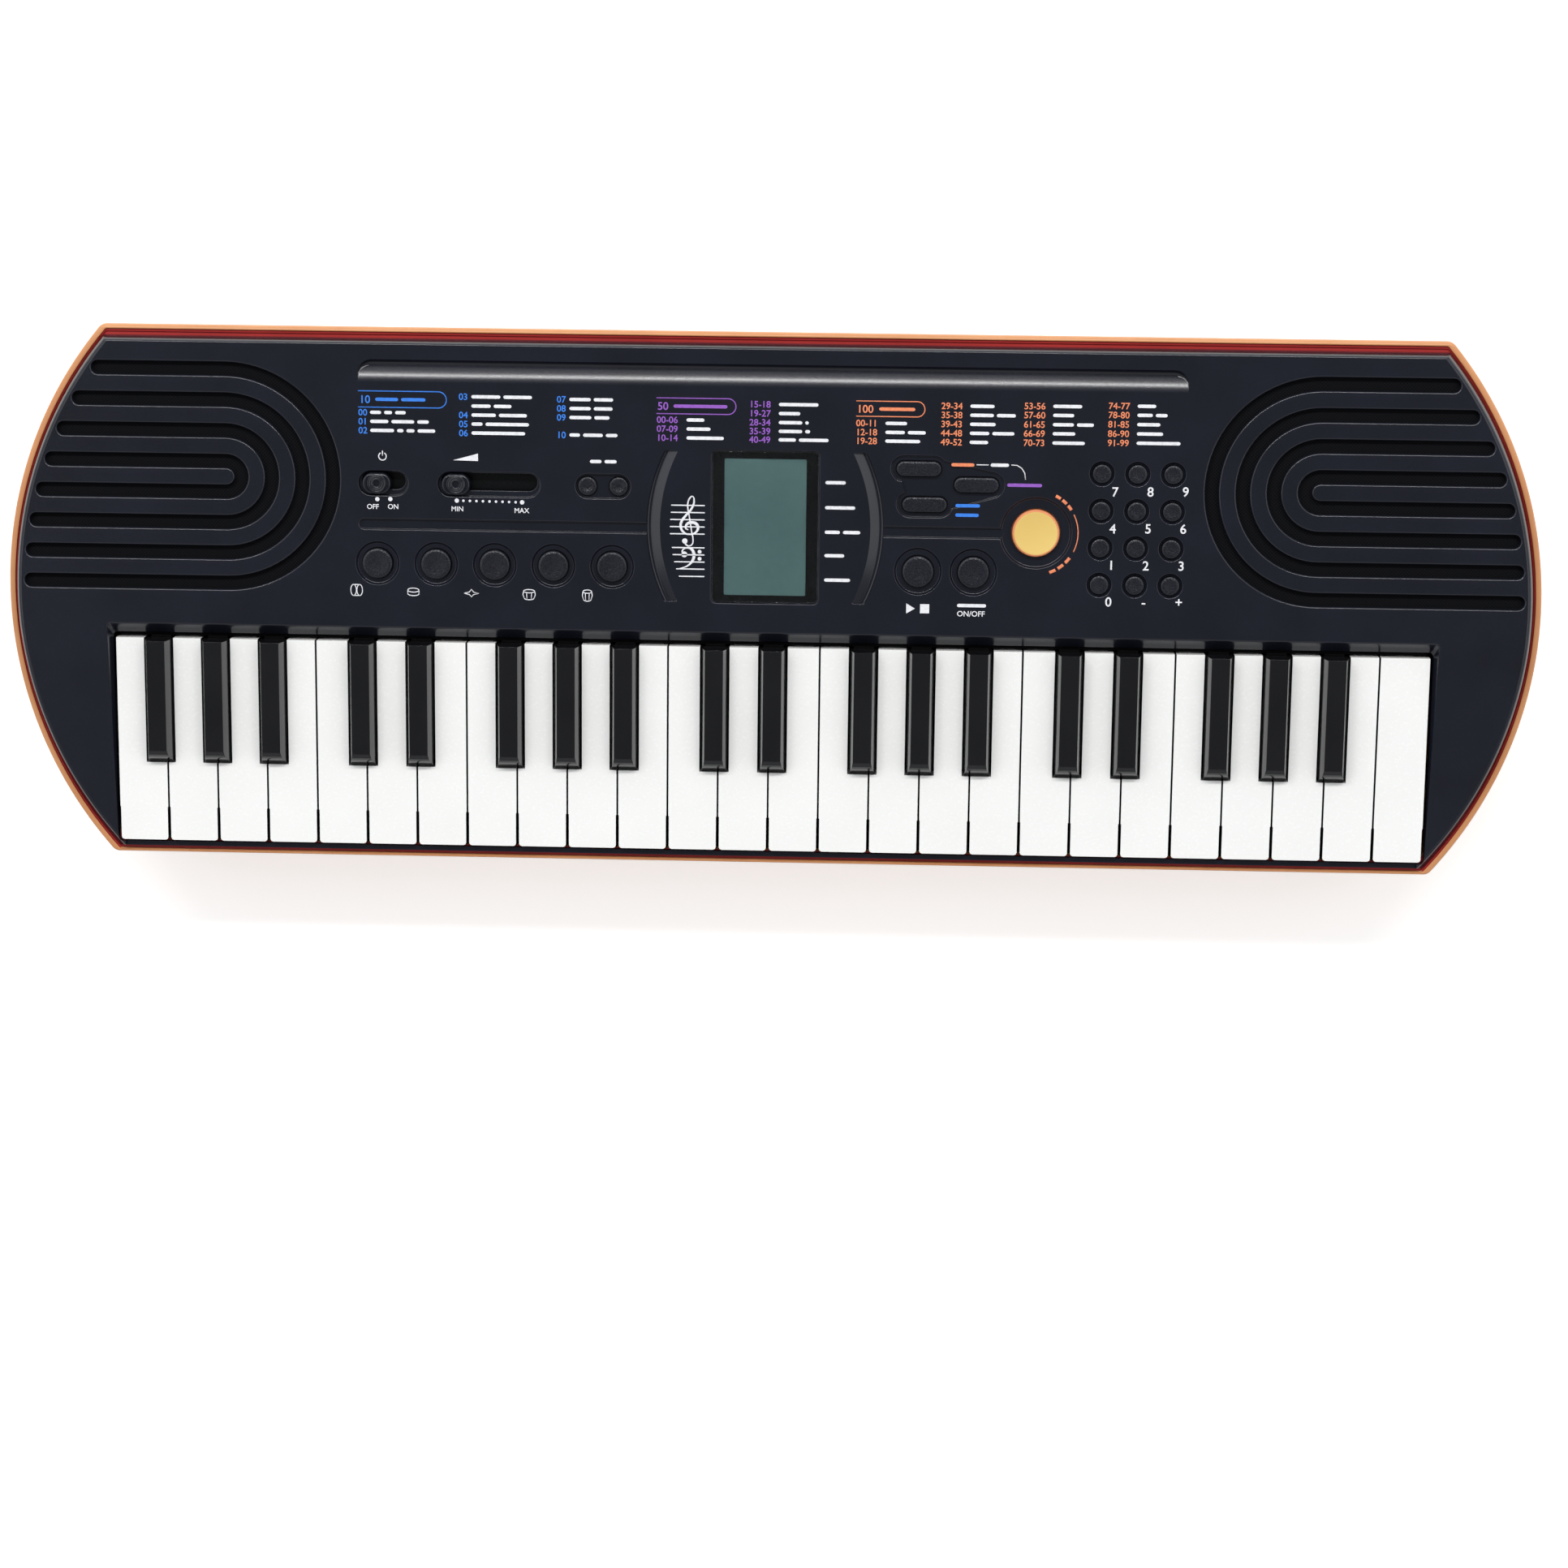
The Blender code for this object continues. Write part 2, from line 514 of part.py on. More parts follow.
def build_upper_case():
    """Dark upper case: soft-edged panel, key opening, grilles, recesses and the bosses under it."""
    base = LEDGE_Z + SEAT_GAP
    wall = UPPER_WALL

    def ring(z, share):
        lean = share * UPPER_SOFT_EDGE
        return case_ring(z, UPPER_INSET_SIDE + lean, UPPER_INSET_REAR + SOFT_EDGE_REAR * lean,
                         UPPER_INSET_FRONT + SOFT_EDGE_FRONT * lean)

    inner_top = case_ring(PANEL_UNDER, UPPER_INSET_SIDE + 1.7 * wall, UPPER_INSET_REAR + 1.36 * wall,
                          UPPER_INSET_FRONT + 1.05 * wall)
    inner_base = case_ring(base, UPPER_INSET_SIDE + wall, UPPER_INSET_REAR + wall, UPPER_INSET_FRONT + wall)
    rings = [inner_top, inner_base, ring(base, 0.0)]
    for drop, share in ((1.0, 0.21), (0.3, 0.48), (0.075, 0.70), (0.0, 1.0)):
        rings.append(ring(PANEL_TOP - drop * UPPER_EDGE_DROP, share))
    shell = loft(rings)
    case = add_object("upper_case", drop_cheeks(shell), CASE_BLACK, 40.0, PARTS)

    lip_out = OPENING_HALF + LIP_FRAME_SIDE
    frame_outer = rounded(-lip_out, lip_out, OPENING_FRONT + LIP_FRAME_FRONT, OPENING_REAR + LIP_FRAME_REAR,
                          2.5 * MM, 2)
    frame = flat_solid([frame_outer], LIP_BOTTOM, PANEL_UNDER + 0.4 * MM)
    combine(case, drop_cheeks(frame), "UNION", "join_lip")

    slots = []
    for side in (-1, 1):
        for index in range(GRILLE_COUNT):
            slots.append(flat_solid([grille_slot(side, index)], PANEL_UNDER - 1.0 * MM, PANEL_TOP + 1.0 * MM))
    combine(case, merged(slots), "DIFFERENCE", "cut_grilles")

    ribs = []
    for side in (-1, 1):
        ring_out = disc(side * SPEAKER_X, GRILLE_Y, SPEAKER_RADIUS + SPEAKER_SEAT_WIDTH / 2, SPEAKER_STEPS)
        ring_in = disc(side * SPEAKER_X, GRILLE_Y, SPEAKER_RADIUS - SPEAKER_SEAT_WIDTH / 2, SPEAKER_STEPS)
        ribs.append(flat_solid([ring_out, ring_in], GRILLE_BOTTOM, PANEL_UNDER - 1.0 * MM))
    combine(case, merged(ribs), "UNION", "join_speaker_seats")
    bars = []
    for side in (-1, 1):
        for offset in (-GRILLE_RIB_OFFSET, GRILLE_RIB_OFFSET):
            x = side * SPEAKER_X + offset
            reach = math.sqrt(SPEAKER_RADIUS ** 2 - offset ** 2)
            bars.append(box(x - GRILLE_RIB_WIDTH / 2, x + GRILLE_RIB_WIDTH / 2, GRILLE_Y - reach,
                            GRILLE_Y + reach, GRILLE_BOTTOM + 0.05 * MM, PANEL_UNDER + 0.7 * MM))
    combine(case, merged(bars), "UNION", "join_grille_ribs")

    root = PANEL_UNDER + 0.5 * MM
    trough_back = box(-TROUGH_HALF - TROUGH_MARGIN, TROUGH_HALF + TROUGH_MARGIN, TROUGH_FRONT - TROUGH_MARGIN,
                      TROUGH_REAR + TROUGH_MARGIN, PANEL_TOP - TROUGH_DEPTH - TROUGH_WALL, root)
    combine(case, trough_back, "UNION", "join_trough_back")
    under = [cylinder(x, y, BOARD_TOP + SEAT_GAP, root, BOSS_RADIUS, 8) for x, y in BOARD_BOSSES]
    rail_top = HINGE_Z + RAIL_SIZE / 2.0
    first = rail_reach() - RAIL_SUPPORT_END
    half_x, half_y = RAIL_SUPPORT_THICK / 2.0, RAIL_SUPPORT_DEPTH / 2.0
    for i in range(RAIL_SUPPORTS):
        x = -first + 2.0 * first * i / (RAIL_SUPPORTS - 1)
        under.append(box(x - half_x, x + half_x, HINGE_Y - half_y, HINGE_Y + half_y, rail_top + SEAT_GAP, root))
    combine(case, merged(under), "UNION", "join_bosses")
    posts = [cylinder(x, y, POST_TOP + SEAT_GAP, PANEL_UNDER + 0.45 * MM, POST_RADIUS, 8) for x, y, _ in all_posts()]
    combine(case, drop_cheeks(merged(posts)), "UNION", "join_posts")

    combine(case, key_opening(), "DIFFERENCE", "cut_key_opening")
    trim = box(-RAIL_HALF, RAIL_HALF, -HALF_DEPTH - 5 * MM, OPENING_FRONT + 2.0 * MM, RAIL_TOP, PANEL_TOP + 4 * MM)
    combine(case, trim, "DIFFERENCE", "cut_front_rail")
    combine(case, merged(recesses()), "DIFFERENCE", "cut_recesses")
    combine(case, merged(through_holes()), "DIFFERENCE", "cut_holes")
    combine(case, mode_recess(), "DIFFERENCE", "cut_mode_recess")
    return case


def rail_reach():
    """Half the length of the comb rail."""
    return KEY_HALF - RAIL_RUN_OUT / 2.0


def all_posts():
    """Screw posts on both sides of the case: place in plan and height of the foot."""
    right = [(ARC_X + out, HALF_DEPTH - back, foot) for out, back, foot in REAR_POSTS]
    right += [(ARC_X + math.sqrt((SIDE_RADIUS - inset) ** 2 - y * y), y, foot) for inset, y, foot in SIDE_POSTS]
    return [(side * x, y, foot) for side in (-1, 1) for x, y, foot in right]


def grille_slot(side, index):
    """One U slot: a half turn round the grille centre and two legs to the margin of the case."""
    radius = GRILLE_FIRST_RADIUS + GRILLE_PITCH * index
    half = GRILLE_SLOT / 2.0
    turn = 5 + index
    reach = SIDE_RADIUS - GRILLE_MARGIN

    def leg_end(y):
        return ARC_X + math.sqrt(reach * reach - y * y) - half - GRILLE_X

    high, low = GRILLE_Y + radius, GRILLE_Y - radius
    outer = arc_points(0.0, 0.0, radius + half, 90.0, 270.0, turn)
    inner = arc_points(0.0, 0.0, radius - half, 270.0, 90.0, turn)
    low_end = arc_points(leg_end(low), -radius, half, -90.0, 90.0, 3)
    high_end = arc_points(leg_end(high), radius, half, -90.0, 90.0, 3)
    points = outer + low_end + inner + high_end
    return [(side * (GRILLE_X + x), GRILLE_Y + y) for x, y in points]


def key_opening():
    """Cutter over the keys with a sloped lip at the rear and the sides."""
    slope = PANEL_TOP - LIP_FOOT
    rings = []
    for z in (LEDGE_Z - 6 * MM, LIP_FOOT, PANEL_TOP + slope):
        grow = max(z - LIP_FOOT, 0.0) / slope
        outline = rounded(-OPENING_HALF - grow * LIP_SLOPE_SIDE, OPENING_HALF + grow * LIP_SLOPE_SIDE,
                          OPENING_FRONT, OPENING_REAR + grow * LIP_SLOPE_REAR, 1.6 * MM, 2)
        rings.append([(x, y, z) for x, y in outline])
    return loft(rings)


def through_holes():
    """Cutters that pass through the panel: button holes, slider slots and the display window."""
    low, high = PANEL_UNDER - 3 * MM, PANEL_TOP + 2 * MM
    cuts = []

    def hole(x, y, radius, steps):
        cuts.append(cylinder(x, y, low, high, radius + BUTTON_CLEARANCE, steps))

    for x in NUMBER_X:
        for y in NUMBER_Y:
            hole(x, y, NUMBER_RADIUS, SMALL_STEPS)
    for i in range(DRUM_COUNT):
        hole(DRUM_FIRST_X + i * DRUM_PITCH, DRUM_Y, DRUM_RADIUS, LARGE_STEPS)
    for x, y in PLAY_BUTTONS:
        hole(x, y, PLAY_RADIUS, LARGE_STEPS)
    for sign in (-1, 1):
        hole(TEMPO_X + sign * TEMPO_SPREAD, SLIDER_Y, TEMPO_RADIUS, SMALL_STEPS)
    hole(*PIANO_BUTTON, PIANO_RADIUS, LARGE_STEPS + 4)
    for x, y in MODE_BUTTONS:
        grow = 2 * BUTTON_CLEARANCE
        cuts.append(flat_solid([stadium(x, y, MODE_LENGTH + grow, MODE_WIDTH + grow, 6)], low, high))
    for x, travel in ((POWER_X, POWER_TRAVEL), (VOLUME_X, VOLUME_TRAVEL)):
        length = travel + STEM_LENGTH + 2 * BUTTON_CLEARANCE
        width = STEM_WIDTH + 2 * BUTTON_CLEARANCE
        cuts.append(box(x - length / 2, x + length / 2, SLIDER_Y - width / 2, SLIDER_Y + width / 2, low, high))
    half_x, half_y = LCD_WIDTH / 2 + LCD_MARGIN, LCD_HEIGHT / 2 + LCD_MARGIN
    cuts.append(box(DISPLAY_X - half_x, DISPLAY_X + half_x, DISPLAY_Y - half_y, DISPLAY_Y + half_y, low, high))
    return cuts


def recesses():
    """Shallow cutters in the top of the panel."""
    high = PANEL_TOP + 2 * MM
    floor = PANEL_TOP - BUTTON_RECESS_DEPTH
    cuts = []

    def dish(x, y, radius, steps):
        foot = radius - DISH_LEAN * BUTTON_RECESS_DEPTH
        cuts.append(cylinder(x, y, floor, high, foot, steps, foot + DISH_LEAN * (high - floor)))

    for x in NUMBER_X:
        for y in NUMBER_Y:
            dish(x, y, NUMBER_RECESS, SMALL_STEPS)
    for i in range(DRUM_COUNT):
        dish(DRUM_FIRST_X + i * DRUM_PITCH, DRUM_Y, DRUM_RECESS, LARGE_STEPS)
    for x, y in PLAY_BUTTONS:
        dish(x, y, PLAY_RECESS, LARGE_STEPS)
    dish(*PIANO_BUTTON, PIANO_RECESS, LARGE_STEPS + 4)
    slider_floor = PANEL_TOP - SLIDER_DEPTH
    for x, travel in ((POWER_X, POWER_TRAVEL), (VOLUME_X, VOLUME_TRAVEL)):
        length = travel + KNOB_LENGTH + 2 * KNOB_END_GAP
        cuts.append(flat_solid([stadium(x, SLIDER_Y, length, SLIDER_WIDTH, 6)], slider_floor, high))
    cuts.append(flat_solid([stadium(TEMPO_X, SLIDER_Y, TEMPO_RECESS_LENGTH, SLIDER_WIDTH, 6)], slider_floor, high))
    lens_floor = PANEL_TOP - LENS_THICK - SEAT_GAP
    cuts.append(flat_solid([rounded(DISPLAY_X - DISPLAY_WIDTH / 2, DISPLAY_X + DISPLAY_WIDTH / 2,
                                    DISPLAY_Y - DISPLAY_HEIGHT / 2, DISPLAY_Y + DISPLAY_HEIGHT / 2,
                                    DISPLAY_CORNER, 2)], lens_floor, high))
    for side in (-1, 1):
        cuts.append(flat_solid([bracket_outline(side)], PANEL_TOP - BRACKET_DEPTH, high))
    channel_floor = PANEL_TOP - CHANNEL_DEPTH
    left_end = DISPLAY_X - BRACKET_OUTER - CHANNEL_END_GAP
    cuts.append(flat_solid([stadium((CHANNEL_LEFT + left_end) / 2, CHANNEL_Y, left_end - CHANNEL_LEFT,
                                    CHANNEL_WIDTH, 4)], channel_floor, high))
    right_start = DISPLAY_X + BRACKET_OUTER + CHANNEL_END_GAP
    right_end = PIANO_BUTTON[0] - PIANO_RECESS - CHANNEL_END_GAP
    cuts.append(flat_solid([stadium((right_start + right_end) / 2, CHANNEL_Y, right_end - right_start,
                                    CHANNEL_WIDTH, 4)], channel_floor, high))
    cuts.append(trough_cutter())
    return cuts


def bracket_outline(side):
    """Crescent beside the display, between two arcs."""
    points = []
    for shift, forward in ((0.0, True), (BRACKET_WIDTH, False)):
        centre = BRACKET_OUTER - BRACKET_RADIUS - shift
        span = math.degrees(math.asin(BRACKET_HALF_HEIGHT / BRACKET_RADIUS))
        row = arc_points(centre, 0.0, BRACKET_RADIUS, -span, span, 10)
        points += row if forward else row[::-1]
    return [(DISPLAY_X + side * x, DISPLAY_Y + y) for x, y in points]


def trough_cutter():
    """Long hollow along the rear of the panel, steep at the rear and rising gently to the front."""
    width = TROUGH_REAR - TROUGH_FRONT
    centre = TROUGH_FRONT + width * TROUGH_CENTRE
    rings = []
    for x, share in TROUGH_STATIONS:
        spread = TROUGH_END_WIDTH + (1.0 - TROUGH_END_WIDTH) * share
        ring = []
        for along, deep in TROUGH_SECTION:
            y = centre + (TROUGH_FRONT + width * along - centre) * spread
            ring.append((x * TROUGH_HALF, y, PANEL_TOP - deep * TROUGH_DEPTH * share))
        top = PANEL_TOP + 2 * MM
        ring.append((x * TROUGH_HALF, ring[-1][1], top))
        ring.append((x * TROUGH_HALF, ring[0][1], top))
        rings.append(ring)
    return loft(rings)


def mode_recess():
    """Joined recess that winds round the three oval buttons."""
    high = PANEL_TOP + 2 * MM
    floor = PANEL_TOP - BUTTON_RECESS_DEPTH
    grow = 2 * MODE_RECESS_MARGIN
    length, width = MODE_LENGTH + grow, MODE_WIDTH + grow
    half = (length - width) / 2.0
    radius = width / 2.0
    (ax, ay), (bx, by), (cx, cy) = MODE_BUTTONS
    points = arc_points(ax - half, ay, radius, 90.0, 270.0, 6)
    points += [(cx - half + 3.0 * MM, (ay + cy) / 2.0 + 0.4 * MM)]
    points += arc_points(cx - half, cy, radius, 90.0, 270.0, 6)
    points += arc_points(cx + half, cy, radius, -90.0, -20.0, 3)
    points += arc_points(bx + half, by, radius, -70.0, 90.0, 6)
    points += arc_points(ax + half, ay, radius, 40.0, 90.0, 3)
    return flat_solid([points], floor, high)


def build_lower_case():
    """Bright lower case: bowl with a stepped rim, tray opening, posts, ribs, feet and rear sockets."""
    base = FOOT_HEIGHT
    thick = FLOOR_THICK
    rings = []
    inner_end = UPPER_INSET_SIDE + UPPER_WALL + 0.25 * MM
    inner_front = UPPER_INSET_FRONT + UPPER_WALL + 0.25 * MM
    for height, inset in BOWL_CURVE:
        lift = thick if height == 0.0 else thick * 0.55
        rings.append(case_ring(base + height + lift, inset + (2.0 * MM if height == 0.0 else thick)))
    rings.append(case_ring(LEDGE_Z - LEDGE_THICK - 1.2 * MM, thick + 0.5 * MM))
    rings.append(case_ring(LEDGE_Z - LEDGE_THICK, inner_end, inner_end + 0.5 * MM, inner_front))
    rings.append(case_ring(LEDGE_Z, inner_end, inner_end + 0.5 * MM, inner_front))
    rings.append(case_ring(LEDGE_Z, RIM_BAND + 0.2 * MM, None, RIM_BAND_FRONT + 0.2 * MM))
    rings.append(case_ring(RIM_TOP, RIM_BAND, None, RIM_BAND_FRONT))
    rings.append(case_ring(RIM_TOP, 1.4 * MM, None, 0.9 * MM))
    rings.append(case_ring(RIM_TOP - 0.5 * MM, 0.4 * MM))
    rings.append(case_ring(RIM_TOP - 1.6 * MM, 0.0))
    rings.append(case_ring(RIM_TOP - 4.0 * MM, 0.0))
    for height, inset in reversed(BOWL_CURVE):
        rings.append(case_ring(base + height, inset))
    case = add_object("lower_case", loft(rings), CASE_ORANGE, 40.0, PARTS)

    floor_top = base + thick
    inside = floor_top - 0.8 * MM
    bay_x, bay_y = BAY_LENGTH / 2.0 + BAY_WALL, BAY_WIDTH / 2.0 + BAY_WALL
    lap = DOOR_LAP + 1.2 * MM
    adds = [box(-bay_x - lap, bay_x + lap, BAY_Y - bay_y - lap, BAY_Y + bay_y + lap, inside, TRAY_SEAT)]
    for x, y, foot in all_posts():
        adds.append(cylinder(x, y, foot, POST_TOP, POST_RADIUS, 8))
    board_low = STRIP_TOP - STRIP_HEIGHT - CONTACT_BOARD_THICK
    end, half = KEY_HALF - CONTACT_RIB_END_GAP, CONTACT_RIB_THICK / 2.0
    for y in (CONTACT_BOARD_FRONT + CONTACT_RIB_SETBACK, CONTACT_BOARD_REAR - CONTACT_RIB_SETBACK):
        adds.append(box(-end, end, y - half, y + half, inside, board_low - SEAT_GAP))
    end, half = KEY_HALF - KEY_STOP_END_GAP, KEY_STOP_THICK / 2.0
    adds.append(box(-end, end, KEY_STOP_Y - half, KEY_STOP_Y + half, inside, KEY_STOP_TOP))
    for x in (-FOOT_X, FOOT_X):
        for y in (-FOOT_Y, FOOT_Y):
            adds.append(flat_solid([stadium(x, y, FOOT_LENGTH, FOOT_WIDTH, 4)], 0.0, base + 0.8 * MM))
    combine(case, merged(adds), "UNION", "join_posts_and_feet")

    door_x, door_y = BAY_LENGTH / 2.0 + DOOR_LAP, BAY_WIDTH / 2.0 + DOOR_LAP
    door_cut = flat_solid([rounded(-door_x - SEAT_GAP, door_x + SEAT_GAP, BAY_Y - door_y - SEAT_GAP,
                                   BAY_Y + door_y + SEAT_GAP, DOOR_CORNER, 2)], -5 * MM,
                          base + DOOR_THICK + SEAT_GAP)
    combine(case, door_cut, "DIFFERENCE", "cut_door_seat")
    tray_hole = box(-bay_x - SEAT_GAP, bay_x + SEAT_GAP, BAY_Y - bay_y - SEAT_GAP, BAY_Y + bay_y + SEAT_GAP, 0.0,
                    TRAY_SEAT + 1.0 * MM)
    combine(case, tray_hole, "DIFFERENCE", "cut_tray_hole")
    keys_clear = box(-OPENING_HALF, OPENING_HALF, OPENING_FRONT + 0.2 * MM, BLACK_FRONT,
                     LEDGE_Z - LEDGE_THICK - 4.0 * MM, RIM_TOP + 1.0 * MM)
    combine(case, keys_clear, "DIFFERENCE", "cut_ledge_beside_keys")
    bores = [cylinder(x, y, -5 * MM, POST_TOP - POST_BORE_DEPTH, POST_BORE, 8) for x, y, _ in all_posts()]
    for x, radius in JACKS:
        bore = cylinder(0.0, 0.0, -8 * MM, 8 * MM, radius, 14)
        bore.transform(Matrix.Translation((x, HALF_DEPTH, JACK_Z)) @ Matrix.Rotation(math.pi / 2, 4, "X"))
        bores.append(bore)
    combine(case, merged(bores), "DIFFERENCE", "cut_screw_and_socket_bores")
    return case


def build_battery_tray():
    """Battery tray: a box open below, whose flange rests on the raised seat in the floor of the case."""
    x, y = BAY_LENGTH / 2.0, BAY_WIDTH / 2.0
    low = FOOT_HEIGHT + DOOR_THICK + SEAT_GAP
    top = FOOT_HEIGHT + DOOR_THICK + BAY_HEIGHT
    wall = BAY_WALL
    body = box(-x - wall, x + wall, BAY_Y - y - wall, BAY_Y + y + wall, low, top + wall)
    tray = add_object("battery_tray", body, CASE_ORANGE, 40.0, PARTS)
    seat = TRAY_SEAT + SEAT_GAP
    reach = wall + TRAY_FLANGE
    flange = box(-x - reach, x + reach, BAY_Y - y - reach, BAY_Y + y + reach, seat, seat + wall)
    combine(tray, flange, "UNION", "join_flange")
    combine(tray, box(-x, x, BAY_Y - y, BAY_Y + y, 0.0, top), "DIFFERENCE", "cut_cells")


def build_battery_door():
    """Cover that lies flush in the floor and has two grip ribs."""
    x, y = BAY_LENGTH / 2.0 + DOOR_LAP, BAY_WIDTH / 2.0 + DOOR_LAP
    outline = rounded(-x, x, -y, y, DOOR_CORNER - 0.2 * MM, 2)
    door = add_object("battery_door", flat_solid([outline], 0.0, DOOR_THICK), CASE_ORANGE, 40.0, PARTS)
    door.location = (0.0, BAY_Y, FOOT_HEIGHT)
    grip = []
    for i in range(GRIP_COUNT):
        start = -y + GRIP_START + GRIP_PITCH * i
        grip.append(box(-GRIP_LENGTH / 2, GRIP_LENGTH / 2, start, start + GRIP_WIDTH, -1.0 * MM, GRIP_DEPTH))
    bpy.context.view_layer.update()
    combine(door, merged(grip), "DIFFERENCE", "cut_grip")
    return door


def notch(letter, last=False):
    """Edges of a white key's tail inside its cell, left and right; None where no black key cuts it."""
    slot = BLACK_WIDTH / 2.0 + SLOT_CLEARANCE
    before = {"D": "C", "E": "D", "G": "F", "A": "G", "B": "A"}.get(letter)
    left = None if before is None else BLACK_SHIFT[before] + slot
    right = None
    if letter in BLACK_SHIFT and not last:
        right = WHITE_PITCH + BLACK_SHIFT[letter] - slot
    return left, right


def white_outline(letter, last, inset):
    """Plan of a white key, in from its edges by inset, with the hinge axis at y = 0."""
    front = WHITE_FRONT - HINGE_Y + inset
    rear = WHITE_REAR - HINGE_Y - inset
    shoulder = BLACK_FRONT - SLOT_NOSE_CLEARANCE - HINGE_Y - inset
    grip = WHITE_FRONT - HINGE_Y + WHITE_GRIP + inset
    edge_l, edge_r = WHITE_GAP / 2.0 + inset, WHITE_PITCH - WHITE_GAP / 2.0 - inset
    front_l, front_r = WHITE_GAP_FRONT / 2.0 + inset, WHITE_PITCH - WHITE_GAP_FRONT / 2.0 - inset
    radius = max(WHITE_CORNER - inset, 0.15 * MM)
    left, right = notch(letter, last)
    points = arc_points(front_l + radius, front + radius, radius, 180.0, 270.0, 2)
    points += arc_points(front_r - radius, front + radius, radius, 270.0, 360.0, 2)
    points += [(front_r, grip), (edge_r, grip)]
    if right is not None:
        points += [(edge_r, shoulder), (right - inset, shoulder), (right - inset, rear)]
    else:
        points += [(edge_r, rear)]
    if left is not None:
        points += [(left + inset, rear), (left + inset, shoulder), (edge_l, shoulder)]
    else:
        points += [(edge_l, rear)]
    points += [(edge_l, grip), (front_l, grip)]
    return points


def neck_profile(reach):
    """Bar and round knuckle in the Y-Z plane, knuckle on the hinge axis."""
    half = NECK_THICK / 2.0
    start = 180.0 - math.degrees(math.asin(half / KNUCKLE_RADIUS))
    knuckle = arc_points(0.0, 0.0, KNUCKLE_RADIUS, start, -start, 7)
    return [(-reach, half)] + knuckle + [(-reach, -half)]


def white_key_mesh(letter, last):
    """Hollow white key, open below, with its neck, knuckle and plunger."""
    top = WHITE_TOP - HINGE_Z
    low = top - WHITE_SKIRT
    rings = []
    for z, inset in ((top - WHITE_SKIN, WHITE_WALL), (low, WHITE_WALL), (low, 0.0), (top, 0.0)):
        rings.append([(x, y, z) for x, y in white_outline(letter, last, inset)])
    name = "white_" + letter + ("_last" if last else "")
    obj = add_object(name, loft(rings), KEY_WHITE, 40.0, TOOLS)
    left, right = notch(letter, last)
    left = WHITE_GAP / 2.0 if left is None else left
    right = WHITE_PITCH - WHITE_GAP / 2.0 if right is None else right
    middle = (left + right) / 2.0
    reach = HINGE_Y - WHITE_REAR + WHITE_WALL * 0.6
    width = min(NECK_WIDTH, right - left - 2 * WHITE_WALL)
    neck = side_solid(neck_profile(reach), middle - width / 2.0, middle + width / 2.0)
    combine(obj, neck, "UNION", name + "_neck")
    y = WHITE_PLUNGER_Y - HINGE_Y
    plunger = box(middle - PLUNGER_WIDTH / 2, middle + PLUNGER_WIDTH / 2, y - PLUNGER_DEPTH / 2,
                  y + PLUNGER_DEPTH / 2, PLUNGER_TIP - HINGE_Z, top - WHITE_SKIN / 2.0)
    combine(obj, plunger, "UNION", name + "_plunger")
    return baked(obj)


def black_key_mesh():
    """Hollow tapered black key, open below, with its neck, knuckle and plunger."""
    top = BLACK_TOP - HINGE_Z
    low = top - BLACK_SKIRT
    front, rear = BLACK_FRONT - HINGE_Y, BLACK_REAR - HINGE_Y
    base = WHITE_TOP - HINGE_Z + 0.2 * MM
    wide, slim = BLACK_WIDTH / 2.0, BLACK_TOP_WIDTH / 2.0
    shoulder = top - BLACK_BEVEL_DROP
    share = (shoulder - base) / (top - base)

    def ring(z, half, nose, inset=0.0):
        x, front_y, rear_y = half - inset, nose + inset, rear - inset
        return [(-x, front_y, z), (x, front_y, z), (x, rear_y, z), (-x, rear_y, z)]

    nose_mid = front + BLACK_NOSE_RUN
    nose_top = nose_mid + BLACK_NOSE_BEVEL
    half_mid = wide + (slim - wide) * share
    wall = BLACK_WALL
    rings = [ring(shoulder - wall, half_mid, nose_mid, wall), ring(base, wide, front, wall),
             ring(low, wide, front, wall), ring(low, wide, front), ring(base, wide, front),
             ring(shoulder, half_mid, nose_mid), ring(top, slim, nose_top)]
    obj = add_object("black", loft(rings), KEY_BLACK, 40.0, TOOLS)
    reach = HINGE_Y - BLACK_REAR + BLACK_WALL * 0.6
    neck = side_solid(neck_profile(reach), -NECK_WIDTH / 2.0, NECK_WIDTH / 2.0)
    combine(obj, neck, "UNION", "black_neck")
    y = BLACK_PLUNGER_Y - HINGE_Y
    plunger = box(-PLUNGER_WIDTH / 2, PLUNGER_WIDTH / 2, y - PLUNGER_DEPTH / 2, y + PLUNGER_DEPTH / 2,
                  PLUNGER_TIP - HINGE_Z, shoulder - wall / 2.0)
    combine(obj, plunger, "UNION", "black_plunger")
    return baked(obj)


def baked(obj):
    """Mesh of an object with its modifiers applied; the object and its cutters are removed."""
    bpy.context.view_layer.update()
    depsgraph = bpy.context.evaluated_depsgraph_get()
    mesh = bpy.data.meshes.new_from_object(obj.evaluated_get(depsgraph))
    mesh.name = obj.name + "_key"
    for tool in [step.object for step in obj.modifiers]:
        bpy.data.objects.remove(tool, do_unlink=True)
    bpy.data.objects.remove(obj, do_unlink=True)
    return mesh


